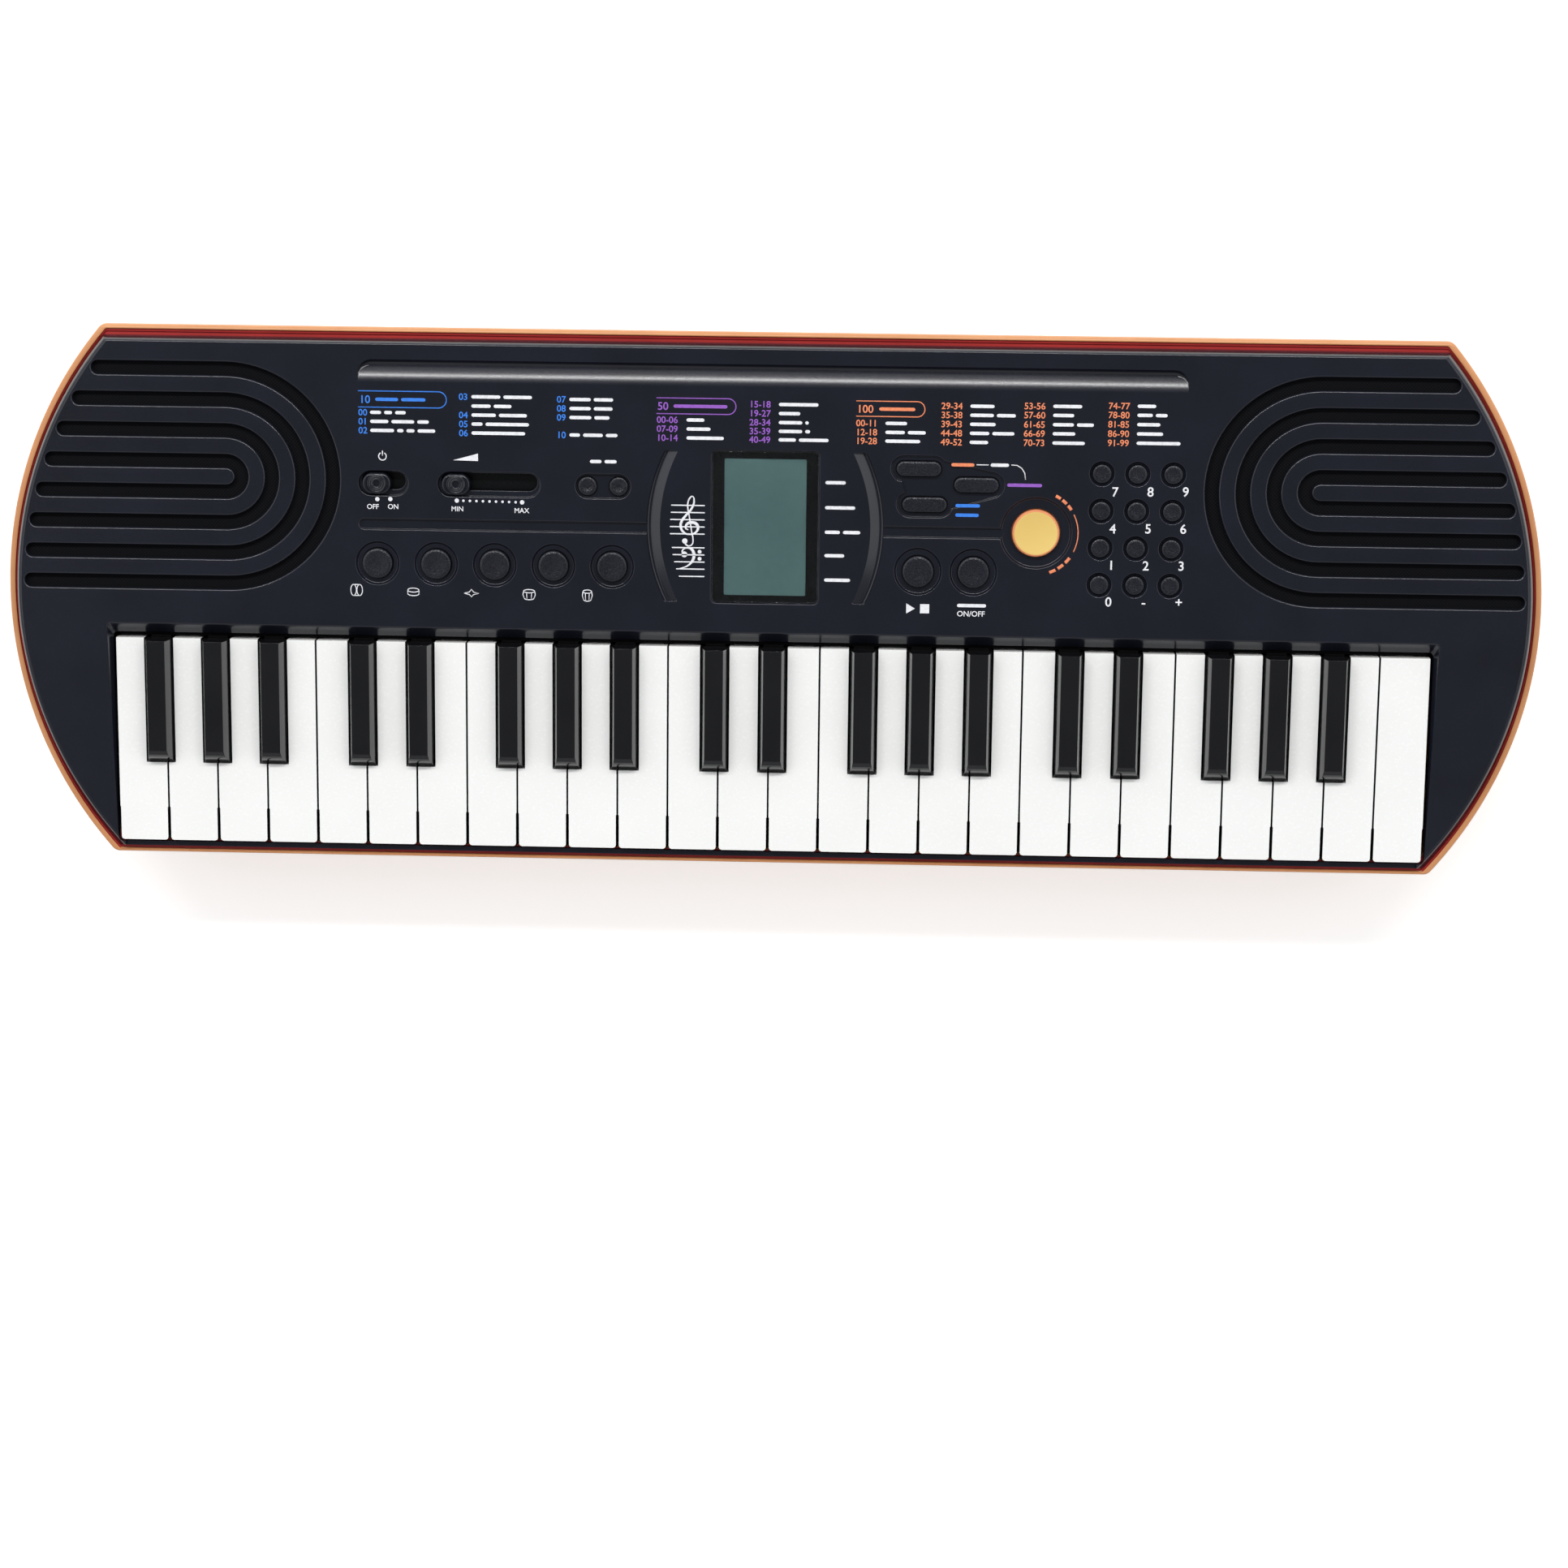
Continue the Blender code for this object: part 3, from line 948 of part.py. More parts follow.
def build_keys():
    """All 44 keys, each with its origin on the shared hinge axis."""
    meshes = {}
    black_mesh = black_key_mesh()
    start = -KEY_HALF
    octave = FIRST_OCTAVE
    for index in range(WHITE_KEYS):
        letter = WHITE_LETTERS[index % len(WHITE_LETTERS)]
        if letter == "C":
            octave += 1
        last = index == WHITE_KEYS - 1
        kind = (letter, last)
        if kind not in meshes:
            meshes[kind] = white_key_mesh(letter, last)
        key = bpy.data.objects.new("white_key_%s%d" % (letter, octave), meshes[kind])
        key.location = (start + index * WHITE_PITCH, HINGE_Y, HINGE_Z)
        PARTS.objects.link(key)
        if letter in BLACK_SHIFT and not last:
            key = bpy.data.objects.new("black_key_%ss%d" % (letter, octave), black_mesh)
            x = start + (index + 1) * WHITE_PITCH + BLACK_SHIFT[letter]
            key.location = (x, HINGE_Y, HINGE_Z)
            PARTS.objects.link(key)


def build_comb_rail():
    """Channel that holds every key's knuckle on one axis and opens towards the front."""
    half = RAIL_SIZE / 2.0
    seat = KNUCKLE_RADIUS + SEAT_GAP
    mouth = math.degrees(math.asin(RAIL_MOUTH / seat))
    bore = arc_points(0.0, 0.0, seat, 180.0 - mouth, mouth - 180.0, 12)
    front = RAIL_LIP - half
    profile = [(front, -half), (half, -half), (half, half), (front, half), (front, RAIL_MOUTH + 0.5 * MM)]
    profile += bore + [(front, -RAIL_MOUTH - 0.5 * MM)]
    reach = rail_reach()
    rail = add_object("key_comb_rail", side_solid(profile, -reach, reach), RAIL_GREY, 40.0, PARTS)
    rail.location = (0.0, HINGE_Y, HINGE_Z)


def build_contact_board():
    """Key contact board with one rubber strip along it."""
    low = STRIP_TOP - STRIP_HEIGHT - CONTACT_BOARD_THICK
    end = KEY_HALF - CONTACT_BOARD_END_GAP
    board = add_object("key_contact_board", box(-end, end, CONTACT_BOARD_FRONT, CONTACT_BOARD_REAR, low,
                                                low + CONTACT_BOARD_THICK), BOARD_GREEN, None, PARTS)
    middle = (WHITE_PLUNGER_Y + BLACK_PLUNGER_Y) / 2.0
    top = low + CONTACT_BOARD_THICK
    wide, slim = STRIP_WIDTH / 2.0, STRIP_TOP_WIDTH / 2.0
    profile = [(middle - wide, top - 0.4 * MM), (middle + wide, top - 0.4 * MM), (middle + wide, top + 0.8 * MM),
               (middle + slim, STRIP_TOP), (middle - slim, STRIP_TOP), (middle - wide, top + 0.8 * MM)]
    end = KEY_HALF - STRIP_END_GAP
    combine(board, side_solid(profile, -end, end), "UNION", "join_strip")


def build_main_board():
    """Main circuit board with the display module on it and the two socket bodies under its rear edge."""
    low = BOARD_TOP - BOARD_THICK
    board = add_object("main_board", box(-BOARD_HALF, BOARD_HALF, BOARD_FRONT, BOARD_REAR, low, BOARD_TOP),
                       BOARD_GREEN, None, PARTS)
    risers, bodies, bores = [], [], []
    body_top = LEDGE_Z - LEDGE_THICK - 1.5 * MM
    rear = HALF_DEPTH - FLOOR_THICK - JACK_WALL_GAP
    for x, radius in JACKS:
        half = JACK_BODY / 2.0
        risers.append(box(x - half, x + half, BOARD_REAR - JACK_RISER_DEPTH, BOARD_REAR, body_top - 1 * MM,
                          low + 0.4 * MM))
        bodies.append(box(x - half, x + half, BOARD_REAR - JACK_LAP, rear, JACK_Z - JACK_BELOW, body_top))
        bore = cylinder(0.0, 0.0, -6 * MM, 6 * MM, radius - 0.4 * MM, 12)
        bore.transform(Matrix.Translation((x, rear, JACK_Z)) @ Matrix.Rotation(math.pi / 2, 4, "X"))
        bores.append(bore)
    combine(board, merged(risers), "UNION", "join_risers")
    combine(board, merged(bodies), "UNION", "join_sockets")
    combine(board, merged(bores), "DIFFERENCE", "cut_sockets")
    half_x, half_y = LCD_WIDTH / 2 + MODULE_MARGIN_X, LCD_HEIGHT / 2 + MODULE_MARGIN_Y
    module = box(DISPLAY_X - half_x, DISPLAY_X + half_x, DISPLAY_Y - half_y, DISPLAY_Y + half_y,
                 BOARD_TOP - MODULE_SINK, PANEL_UNDER - SEAT_GAP)
    combine(board, module, "UNION", "join_display_module")
    glass = box(DISPLAY_X - LCD_WIDTH / 2, DISPLAY_X + LCD_WIDTH / 2, DISPLAY_Y - LCD_HEIGHT / 2,
                DISPLAY_Y + LCD_HEIGHT / 2, PANEL_UNDER - MODULE_SINK - SEAT_GAP, PANEL_TOP - LENS_THICK - GLASS_GAP)
    combine(board, glass, "UNION", "join_display_glass")


def build_display():
    """Window pane in its recess over the display."""
    gap = SEAT_GAP
    x, y = DISPLAY_WIDTH / 2 - gap, DISPLAY_HEIGHT / 2 - gap
    pane = flat_solid([rounded(-x, x, -y, y, DISPLAY_CORNER - 0.2 * MM, 2)], 0.0, LENS_THICK)
    lens = add_object("display_window", pane, LENS_CLEAR, None, PARTS)
    lens.location = (DISPLAY_X, DISPLAY_Y, PANEL_TOP - LENS_THICK)


def dome(x, y, radius, steps, top):
    """Round button with a low crown, from inside its mat plate up."""
    rings = []
    for z, r in ((MAT_TOP - 0.5 * MM, radius), (top - BUTTON_CROWN, radius), (top, radius - BUTTON_CROWN_RUN)):
        rings.append([(px, py, z) for px, py in disc(x, y, r, steps)])
    return loft(rings)


def build_mat(name, plate, buttons, mat):
    """Rubber plate under the panel with its buttons joined on."""
    obj = add_object(name, flat_solid(plate, MAT_TOP - MAT_THICK, MAT_TOP), mat, 40.0, PARTS)
    combine(obj, merged(buttons), "UNION", name + "_buttons")
    return obj


def build_buttons():
    """Button mats: drum pads, the right-hand groups, the tempo pair and the large tone button."""
    top = PANEL_TOP + BUTTON_PROUD
    drums = [dome(DRUM_FIRST_X + i * DRUM_PITCH, DRUM_Y, DRUM_RADIUS, LARGE_STEPS, top) for i in range(DRUM_COUNT)]
    last = DRUM_FIRST_X + (DRUM_COUNT - 1) * DRUM_PITCH
    length = last - DRUM_FIRST_X + 2 * DRUM_MAT_MARGIN
    plate = [stadium((DRUM_FIRST_X + last) / 2, DRUM_Y, length, DRUM_MAT_WIDTH, 5)]
    build_mat("drum_button_mat", plate, drums, RUBBER_DARK)

    low_top = PANEL_TOP + LOW_BUTTON_PROUD
    right = [dome(x, y, NUMBER_RADIUS, SMALL_STEPS, low_top) for x in NUMBER_X for y in NUMBER_Y]
    right += [dome(x, y, PLAY_RADIUS, LARGE_STEPS, top) for x, y in PLAY_BUTTONS]
    for x, y in MODE_BUTTONS:
        rings = []
        for z, shrink in ((MAT_TOP - 0.5 * MM, 0.0), (low_top, 0.0), (low_top + MODE_CROWN, 2 * MODE_CROWN_RUN)):
            outline = stadium(x, y, MODE_LENGTH - shrink, MODE_WIDTH - shrink, 5)
            rings.append([(px, py, z) for px, py in outline])
        right.append(loft(rings))
    left_edge = min(x for x, _ in MODE_BUTTONS) - MODE_LENGTH / 2 - MAT_MARGIN
    outline = rounded(left_edge, NUMBER_X[-1] + NUMBER_RADIUS + MAT_MARGIN,
                      NUMBER_Y[-1] - NUMBER_RADIUS - MAT_MARGIN_FRONT, NUMBER_Y[0] + NUMBER_RADIUS + MAT_MARGIN,
                      2.0 * MM, 2)
    hole = disc(*PIANO_BUTTON, PIANO_RADIUS + PIANO_FLANGE + PIANO_FLANGE_GAP, LARGE_STEPS + 4)
    build_mat("right_button_mat", [outline, hole], right, RUBBER_DARK)

    pair = [dome(TEMPO_X + sign * TEMPO_SPREAD, SLIDER_Y, TEMPO_RADIUS, SMALL_STEPS, PANEL_TOP) for sign in (-1, 1)]
    plate = [stadium(TEMPO_X, SLIDER_Y, TEMPO_RECESS_LENGTH, TEMPO_MAT_WIDTH, 5)]
    build_mat("tempo_button_mat", plate, pair, RUBBER_DARK)

    x, y = PIANO_BUTTON
    rings = []
    flange = PIANO_RADIUS + PIANO_FLANGE
    for z, radius in ((MAT_TOP - MAT_THICK, flange), (MAT_TOP, flange),
                      (MAT_TOP, PIANO_RADIUS), (top - 0.6 * MM, PIANO_RADIUS), (top, PIANO_RADIUS - 0.9 * MM),
                      (top - 0.35 * MM, PIANO_RADIUS - 3.2 * MM)):
        rings.append([(px, py, z) for px, py in disc(x, y, radius, LARGE_STEPS + 4)])
    add_object("piano_organ_button", loft(rings), BUTTON_CREAM, 40.0, PARTS)


def build_knob(name, x, travel):
    """Slide switch knob at the left end of its slot, with a finger dimple and a stem through the slot."""
    floor = PANEL_TOP - SLIDER_DEPTH + SEAT_GAP
    top = PANEL_TOP + KNOB_PROUD
    rings = []
    for z, shrink in ((floor, 0.0), (top - 0.6 * MM, 0.2 * MM), (top, 1.2 * MM)):
        outline = rounded(-(KNOB_LENGTH - shrink) / 2, (KNOB_LENGTH - shrink) / 2, -(KNOB_WIDTH - shrink) / 2,
                          (KNOB_WIDTH - shrink) / 2, 2.4 * MM, 3)
        rings.append([(px, py, z) for px, py in outline])
    knob = add_object(name, loft(rings), KNOB_BLACK, 40.0, PARTS)
    knob.location = (x - travel / 2.0, SLIDER_Y, 0.0)
    bpy.context.view_layer.update()
    stem = box(-STEM_LENGTH / 2, STEM_LENGTH / 2, -STEM_WIDTH / 2, STEM_WIDTH / 2, BOARD_TOP + SEAT_GAP,
               floor + 0.6 * MM)
    combine(knob, stem, "UNION", name + "_stem")
    dimple = cylinder(0.0, 0.0, top - 0.7 * MM, top + 0.3 * MM, 1.6 * MM, 14, 3.4 * MM)
    combine(knob, dimple, "DIFFERENCE", name + "_dimple")


def build_speaker(name, side):
    """Round loudspeaker: rim, cone and magnet turned round one axis."""
    top = GRILLE_BOTTOM - SEAT_GAP
    depth, rim, radius, magnet = SPEAKER_DEPTH, SPEAKER_RIM_THICK, SPEAKER_RADIUS, SPEAKER_MAGNET_RADIUS
    profile = [(0.0, -6.0 * MM), (5.0 * MM, -6.5 * MM), (8.0 * MM, -9.5 * MM), (radius - 6.0 * MM, -2.2 * MM),
               (radius - 3.5 * MM, 0.0), (radius, 0.0), (radius, -rim), (radius - 4.0 * MM, -rim - 1.0 * MM),
               (magnet + 2.0 * MM, -depth + 9.0 * MM), (magnet, -depth + 8.0 * MM), (magnet, -depth), (0.0, -depth)]
    bm = bmesh.new()
    verts = [bm.verts.new((x, 0.0, z)) for x, z in profile]
    for a, b in zip(verts, verts[1:]):
        bm.edges.new((a, b))
    mesh = bpy.data.meshes.new(name)
    bm.to_mesh(mesh)
    bm.free()
    mesh.materials.append(SPEAKER_CONE)
    obj = bpy.data.objects.new(name, mesh)
    PARTS.objects.link(obj)
    obj.location = (side * SPEAKER_X, GRILLE_Y, top)
    turn = obj.modifiers.new("turn", "SCREW")
    turn.steps = turn.render_steps = SPEAKER_STEPS
    turn.use_merge_vertices = True
    turn.merge_threshold = 1e-5
    turn.use_normal_calculate = True
    return obj


build_upper_case()
build_lower_case()
build_battery_tray()
build_battery_door()
build_keys()
build_comb_rail()
build_contact_board()
build_main_board()
build_display()
build_buttons()
build_knob("power_switch_knob", POWER_X, POWER_TRAVEL)
build_knob("volume_knob", VOLUME_X, VOLUME_TRAVEL)
build_speaker("left_speaker", -1)
build_speaker("right_speaker", 1)
bpy.context.view_layer.update()
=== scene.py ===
"""Looks of the portable keyboard with 44 mini keys.

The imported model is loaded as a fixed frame.  Detailed pieces take the place of its plain case, keys,
buttons and knobs, ride on the same bodies, and every surface gets a procedural finish.
Sizes are in metres in the frame's own axes: +X to the player's right, +Y to the rear, +Z up.
"""
import logging
import math
from dataclasses import dataclass, field
from enum import Enum
from functools import partial

import bmesh
import bpy
from mathutils import Matrix, Vector


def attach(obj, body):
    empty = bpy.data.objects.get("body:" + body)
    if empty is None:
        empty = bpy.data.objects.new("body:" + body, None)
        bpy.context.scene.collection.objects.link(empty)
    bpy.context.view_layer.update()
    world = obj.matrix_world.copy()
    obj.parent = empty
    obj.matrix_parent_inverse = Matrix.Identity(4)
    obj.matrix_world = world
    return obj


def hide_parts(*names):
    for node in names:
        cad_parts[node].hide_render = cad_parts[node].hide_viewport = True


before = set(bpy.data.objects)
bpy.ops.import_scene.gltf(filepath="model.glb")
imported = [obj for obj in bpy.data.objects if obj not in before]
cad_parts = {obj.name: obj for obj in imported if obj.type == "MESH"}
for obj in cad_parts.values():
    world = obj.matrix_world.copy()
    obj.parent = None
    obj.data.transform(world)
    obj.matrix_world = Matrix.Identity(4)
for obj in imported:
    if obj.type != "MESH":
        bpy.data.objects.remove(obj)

LOG = logging.getLogger("portable_keyboard")
MM = 0.001
Point = tuple[float, float]
Triple = tuple[float, float, float]
Ring = list[Triple]
Piece = bpy.types.Object
Socket = bpy.types.NodeSocket

CASE = "case"


# Outlines in plan


def arc(cx: float, cy: float, radius: float, start: float, stop: float, steps: int) -> list[Point]:
    """Points on an arc.

    Args:
        cx: Centre along X.
        cy: Centre along Y.
        radius: Radius.
        start: First angle in degrees.
        stop: Last angle in degrees.
        steps: Number of equal steps.

    Returns:
        Points from the first to the last angle, both included.
    """
    turns = [math.radians(start + (stop - start) * i / steps) for i in range(steps + 1)]
    return [(cx + radius * math.cos(a), cy + radius * math.sin(a)) for a in turns]


def disc(cx: float, cy: float, radius: float, steps: int = 48) -> list[Point]:
    """Closed circle."""
    return arc(cx, cy, radius, 0.0, 360.0, steps)[:-1]


def stadium(cx: float, cy: float, length: float, width: float, steps: int = 12) -> list[Point]:
    """Bar along X with round ends."""
    half = max(length - width, 0.0) / 2.0
    right = arc(cx + half, cy, width / 2.0, -90.0, 90.0, steps)
    return right + arc(cx - half, cy, width / 2.0, 90.0, 270.0, steps)


def rounded(x0: float, x1: float, y0: float, y1: float, radius: float, steps: int = 6) -> list[Point]:
    """Rectangle between two corners with rounded corners."""
    points: list[Point] = []
    for cx, cy, start in ((x1 - radius, y0 + radius, -90.0), (x1 - radius, y1 - radius, 0.0),
                          (x0 + radius, y1 - radius, 90.0), (x0 + radius, y0 + radius, 180.0)):
        points += arc(cx, cy, radius, start, start + 90.0, steps)
    return points


def at_height(points: list[Point], z: float) -> Ring:
    """Outline lifted to a height."""
    return [(x, y, z) for x, y in points]


@dataclass(frozen=True)
class CasePlan:
    """Plan and heights shared by both halves of the case."""

    length: float = 604.0 * MM
    depth: float = 211.0 * MM
    side_radius: float = 161.0 * MM
    corner: float = 4.0 * MM
    arc_steps: int = 56
    corner_steps: int = 5
    rim_top: float = 46.5 * MM
    ledge: float = 45.0 * MM
    panel_top: float = 54.0 * MM
    panel_under: float = 51.7 * MM
    seat_gap: float = 0.3 * MM
    inset_side: float = 3.5 * MM
    inset_rear: float = 4.2 * MM
    inset_front: float = 2.65 * MM
    cheek_start: float = -12.0 * MM
    cheek_drop: float = 5.0 * MM
    opening_half: float = 260.2 * MM
    opening_rear: float = -15.6 * MM
    opening_front: float = -100.6 * MM

    @property
    def half_depth(self) -> float:
        """Half the depth of the case."""
        return self.depth / 2.0

    @property
    def arc_x(self) -> float:
        """Distance from the middle to the centre of a side arc."""
        return self.length / 2.0 - self.side_radius

    def outline(self, side: float, rear: float | None = None, front: float | None = None) -> list[Point]:
        """Case outline set in from the outermost edge.

        Args:
            side: Inset of the side arcs.
            rear: Inset of the rear edge, or the same as the sides.
            front: Inset of the front edge, or the same as the sides.

        Returns:
            Closed outline, counterclockwise from the front right corner.
        """
        rear = side if rear is None else rear
        front = side if front is None else front
        radius = self.side_radius - side
        corner = max(self.corner - side, 0.8 * MM)
        reach = radius - corner
        low, high = corner + front - self.half_depth, self.half_depth - rear - corner
        low_turn, high_turn = (math.degrees(math.asin(y / reach)) for y in (low, high))
        right = arc(math.sqrt(reach ** 2 - low ** 2), low, corner, -90.0, low_turn, self.corner_steps)[:-1]
        right += arc(0.0, 0.0, radius, low_turn, high_turn, self.arc_steps)
        right += arc(math.sqrt(reach ** 2 - high ** 2), high, corner, high_turn, 90.0, self.corner_steps)[1:]
        right = [(self.arc_x + x, y) for x, y in right]
        return right + [(-x, y) for x, y in reversed(right)]


PLAN = CasePlan()


# Modelling bench


class Bench:
    """Modelling steps that the pieces share, made with Blender's operators."""

    @staticmethod
    def clear() -> None:
        """Deselect everything."""
        if bpy.context.object is not None and bpy.context.object.mode != "OBJECT":
            bpy.ops.object.mode_set(mode="OBJECT")
        bpy.ops.object.select_all(action="DESELECT")

    @staticmethod
    def added(name: str, data: bpy.types.ID) -> Piece:
        """New object with its data, linked to the scene."""
        obj = bpy.data.objects.new(name, data)
        bpy.context.scene.collection.objects.link(obj)
        return obj

    @classmethod
    def take(cls, obj: Piece) -> Piece:
        """Select one object alone and make it active."""
        cls.clear()
        obj.select_set(True)
        bpy.context.view_layer.objects.active = obj
        return obj

    @classmethod
    def edit(cls, obj: Piece) -> None:
        """Open an object in edit mode with all of it selected."""
        cls.take(obj)
        bpy.ops.object.mode_set(mode="EDIT")
        bpy.ops.mesh.select_all(action="SELECT")

    @classmethod
    def close(cls) -> None:
        """Leave edit mode."""
        bpy.ops.object.mode_set(mode="OBJECT")

    @classmethod
    def welded(cls, obj: Piece, reach: float) -> Piece:
        """Object in edit mode, closed with its doubles merged and its faces turned outwards."""
        bpy.ops.mesh.remove_doubles(threshold=reach)
        bpy.ops.mesh.normals_make_consistent(inside=False)
        cls.close()
        return obj

    @classmethod
    def loft(cls, name: str, rings: list[Ring], tinted: tuple[int, ...] = ()) -> Piece:
        """Closed body skinned through rings of equal count.

        Args:
            name: Name of the new object.
            rings: Rings from one closed end to the other.
            tinted: Bands, by number, that take the second material slot.

        Returns:
            The new object.
        """
        cls.clear()
        bpy.ops.mesh.primitive_circle_add(vertices=len(rings[0]), radius=1.0, fill_type="NGON")
        obj = bpy.context.object
        obj.name = name
        cls.edit(obj)
        row = list(range(len(rings[0])))
        cls.place(obj, row, rings[0])
        for band, ring in enumerate(rings[1:]):
            bpy.ops.mesh.extrude_region_move()
            row = cls.place(obj, row, ring, 1 if band in tinted else 0)
        bpy.ops.mesh.select_all(action="SELECT")
        bpy.ops.mesh.normals_make_consistent(inside=False)
        cls.close()
        return obj

    @staticmethod
    def place(obj: Piece, row: list[int], ring: Ring, tint: int | None = None) -> list[int]:
        """Move a selected ring onto its points.

        Args:
            obj: Object in edit mode.
            row: Vertex numbers of the ring before it, or of the ring itself where nothing was extruded.
            ring: Points to move to.
            tint: Material slot of the new band, or None where nothing was extruded.

        Returns:
            Vertex numbers of the moved ring.
        """
        bm = bmesh.from_edit_mesh(obj.data)
        bm.verts.index_update()
        bm.verts.ensure_lookup_table()
        moved = []
        for index, point in zip(row, ring):
            vert = bm.verts[index]
            if tint is not None:
                riser = next(edge for edge in vert.link_edges if edge.other_vert(vert).select)
                vert = riser.other_vert(vert)
                for face in riser.link_faces:
                    face.material_index = tint
            vert.co = point
            moved.append(vert.index)
        bmesh.update_edit_mesh(obj.data)
        return moved

    @classmethod
    def plate(cls, name: str, outlines: list[list[Point]], low: float, high: float,
              soft: float = 0.0) -> Piece:
        """Flat plate from filled outlines, its edges rounded over.

        Args:
            name: Name of the new object.
            outlines: Outer outlines and the holes in them.
            low: Height of the underside.
            high: Height of the top.
            soft: Radius of the edges.

        Returns:
            The plate as a mesh object with its place in its mesh.
        """
        curve = bpy.data.curves.new(name, "CURVE")
        curve.dimensions = "2D"
        curve.fill_mode = "BOTH"
        curve.extrude = max((high - low) / 2.0 - soft, 0.0)
        curve.bevel_depth = soft
        curve.bevel_resolution = 2
        curve.offset = -soft
        for outline in outlines:
            spline = curve.splines.new("POLY")
            spline.points.add(len(outline) - 1)
            for point, (x, y) in zip(spline.points, outline):
                point.co = (x, y, 0.0, 1.0)
            spline.use_cyclic_u = True
        obj = cls.added(name, curve)
        cls.take(obj)
        bpy.ops.object.convert(target="MESH")
        obj = bpy.context.object
        obj.data.transform(Matrix.Translation((0.0, 0.0, (low + high) / 2.0)))
        cls.edit(obj)
        return cls.welded(obj, 1e-6)

    @classmethod
    def turned(cls, name: str, profile: list[Point], centre: Point, steps: int = 48) -> Piece:
        """Body spun round an upright axis.

        Args:
            name: Name of the new object.
            profile: (radius, height) pairs, first and last on the axis.
            centre: Place of the axis in plan.
            steps: Steps of the full turn.

        Returns:
            The turned object.
        """
        mesh = bpy.data.meshes.new(name)
        points = [(centre[0] + radius, centre[1], z) for radius, z in profile]
        mesh.from_pydata(points, [(i, i + 1) for i in range(len(points) - 1)], [])
        obj = cls.added(name, mesh)
        cls.edit(obj)
        bpy.ops.mesh.spin(steps=steps, angle=2.0 * math.pi, center=(centre[0], centre[1], 0.0),
                          axis=(0.0, 0.0, 1.0), use_auto_merge=False)
        bpy.ops.mesh.select_all(action="SELECT")
        return cls.welded(obj, 2e-6)

    @classmethod
    def line(cls, name: str, knots: list[Triple], smooth: bool = False) -> Piece:
        """Round line at height zero.

        Args:
            name: Name of the new object.
            knots: Places along it with the width there.
            smooth: Whether it bends smoothly through them.

        Returns:
            The line as a mesh object with closed ends.
        """
        curve = bpy.data.curves.new(name, "CURVE")
        curve.dimensions = "3D"
        curve.bevel_depth = 0.5
        curve.bevel_resolution = 1
        curve.use_fill_caps = True
        curve.resolution_u = 7
        spline = curve.splines.new("BEZIER" if smooth else "POLY")
        points = spline.bezier_points if smooth else spline.points
        points.add(len(knots) - 1)
        for point, (x, y, width) in zip(points, knots):
            point.co = (x, y, 0.0) if smooth else (x, y, 0.0, 1.0)
            point.radius = width
            if smooth:
                point.handle_left_type = point.handle_right_type = "AUTO"
        obj = cls.added(name, curve)
        cls.take(obj)
        bpy.ops.object.convert(target="MESH")
        obj = bpy.context.object
        cls.edit(obj)
        return cls.welded(obj, 1e-6)

    @classmethod
    def block(cls, name: str, low: Triple, high: Triple) -> Piece:
        """Cube primitive between two corners, with its place in its mesh.

        Args:
            name: Name of the new object.
            low: Corner with the lowest coordinates.
            high: Corner with the highest coordinates.

        Returns:
            The block.
        """
        cls.clear()
        middle = [(a + b) / 2.0 for a, b in zip(low, high)]
        bpy.ops.mesh.primitive_cube_add(size=1.0, location=middle)
        obj = bpy.context.object
        obj.name = name
        obj.scale = [b - a for a, b in zip(low, high)]
        bpy.ops.object.transform_apply(location=True, rotation=True, scale=True)
        return obj

    @classmethod
    def joined(cls, name: str, parts: list[Piece]) -> Piece:
        """Join objects into one, which keeps the slots of the first."""
        cls.take(parts[0])
        for part in parts[1:]:
            part.select_set(True)
        if len(parts) > 1:
            bpy.ops.object.join()
        obj = bpy.context.object
        obj.name = name
        return obj

    @staticmethod
    def repeated(model: Piece, places: list[Point]) -> list[Piece]:
        """Copies of a model, each with its own mesh, which take its place.

        Args:
            model: Model made at the middle of the plan, removed in the end.
            places: Where the copies stand in plan.

        Returns:
            One copy for each place.
        """
        copies = []
        for x, y in places:
            twin = model.copy()
            twin.data = model.data.copy()
            twin.data.transform(Matrix.Translation((x, y, 0.0)))
            bpy.context.scene.collection.objects.link(twin)
            copies.append(twin)
        bpy.data.objects.remove(model, do_unlink=True)
        return copies

    @classmethod
    def combine(cls, obj: Piece, tool: Piece, operation: str) -> None:
        """Apply an exact boolean between two objects and remove the tool.

        Args:
            obj: Object that is changed.
            tool: Object that is added, cut out or kept in common.
            operation: Name of the boolean operation.
        """
        step = obj.modifiers.new("combine", "BOOLEAN")
        step.operation = operation
        step.solver = "EXACT"
        step.object = tool
        cls.take(obj)
        bpy.ops.object.modifier_apply(modifier=step.name)
        bpy.data.objects.remove(tool, do_unlink=True)

    @classmethod
    def soften(cls, obj: Piece, width: float, segments: int = 2, angle: float = 35.0) -> None:
        """Round the sharp edges of an object.

        Args:
            obj: Object that is changed.
            width: Radius of the edges.
            segments: Faces across a rounded edge.
            angle: Least turn in degrees of an edge that is rounded.
        """
        step = obj.modifiers.new("soften", "BEVEL")
        step.width = width
        step.segments = segments
        step.limit_method = "ANGLE"
        step.angle_limit = math.radians(angle)
        cls.take(obj)
        bpy.ops.object.modifier_apply(modifier=step.name)

    @classmethod
    def smooth(cls, obj: Piece, angle: float = 38.0) -> None:
        """Shade an object smooth up to an angle in degrees and keep its flat faces flat."""
        cls.take(obj)
        bpy.ops.object.shade_smooth_by_angle(angle=math.radians(angle))
        step = obj.modifiers.new("flat_faces", "WEIGHTED_NORMAL")
        step.keep_sharp = True
        step.weight = 80
        bpy.ops.object.modifier_apply(modifier=step.name)

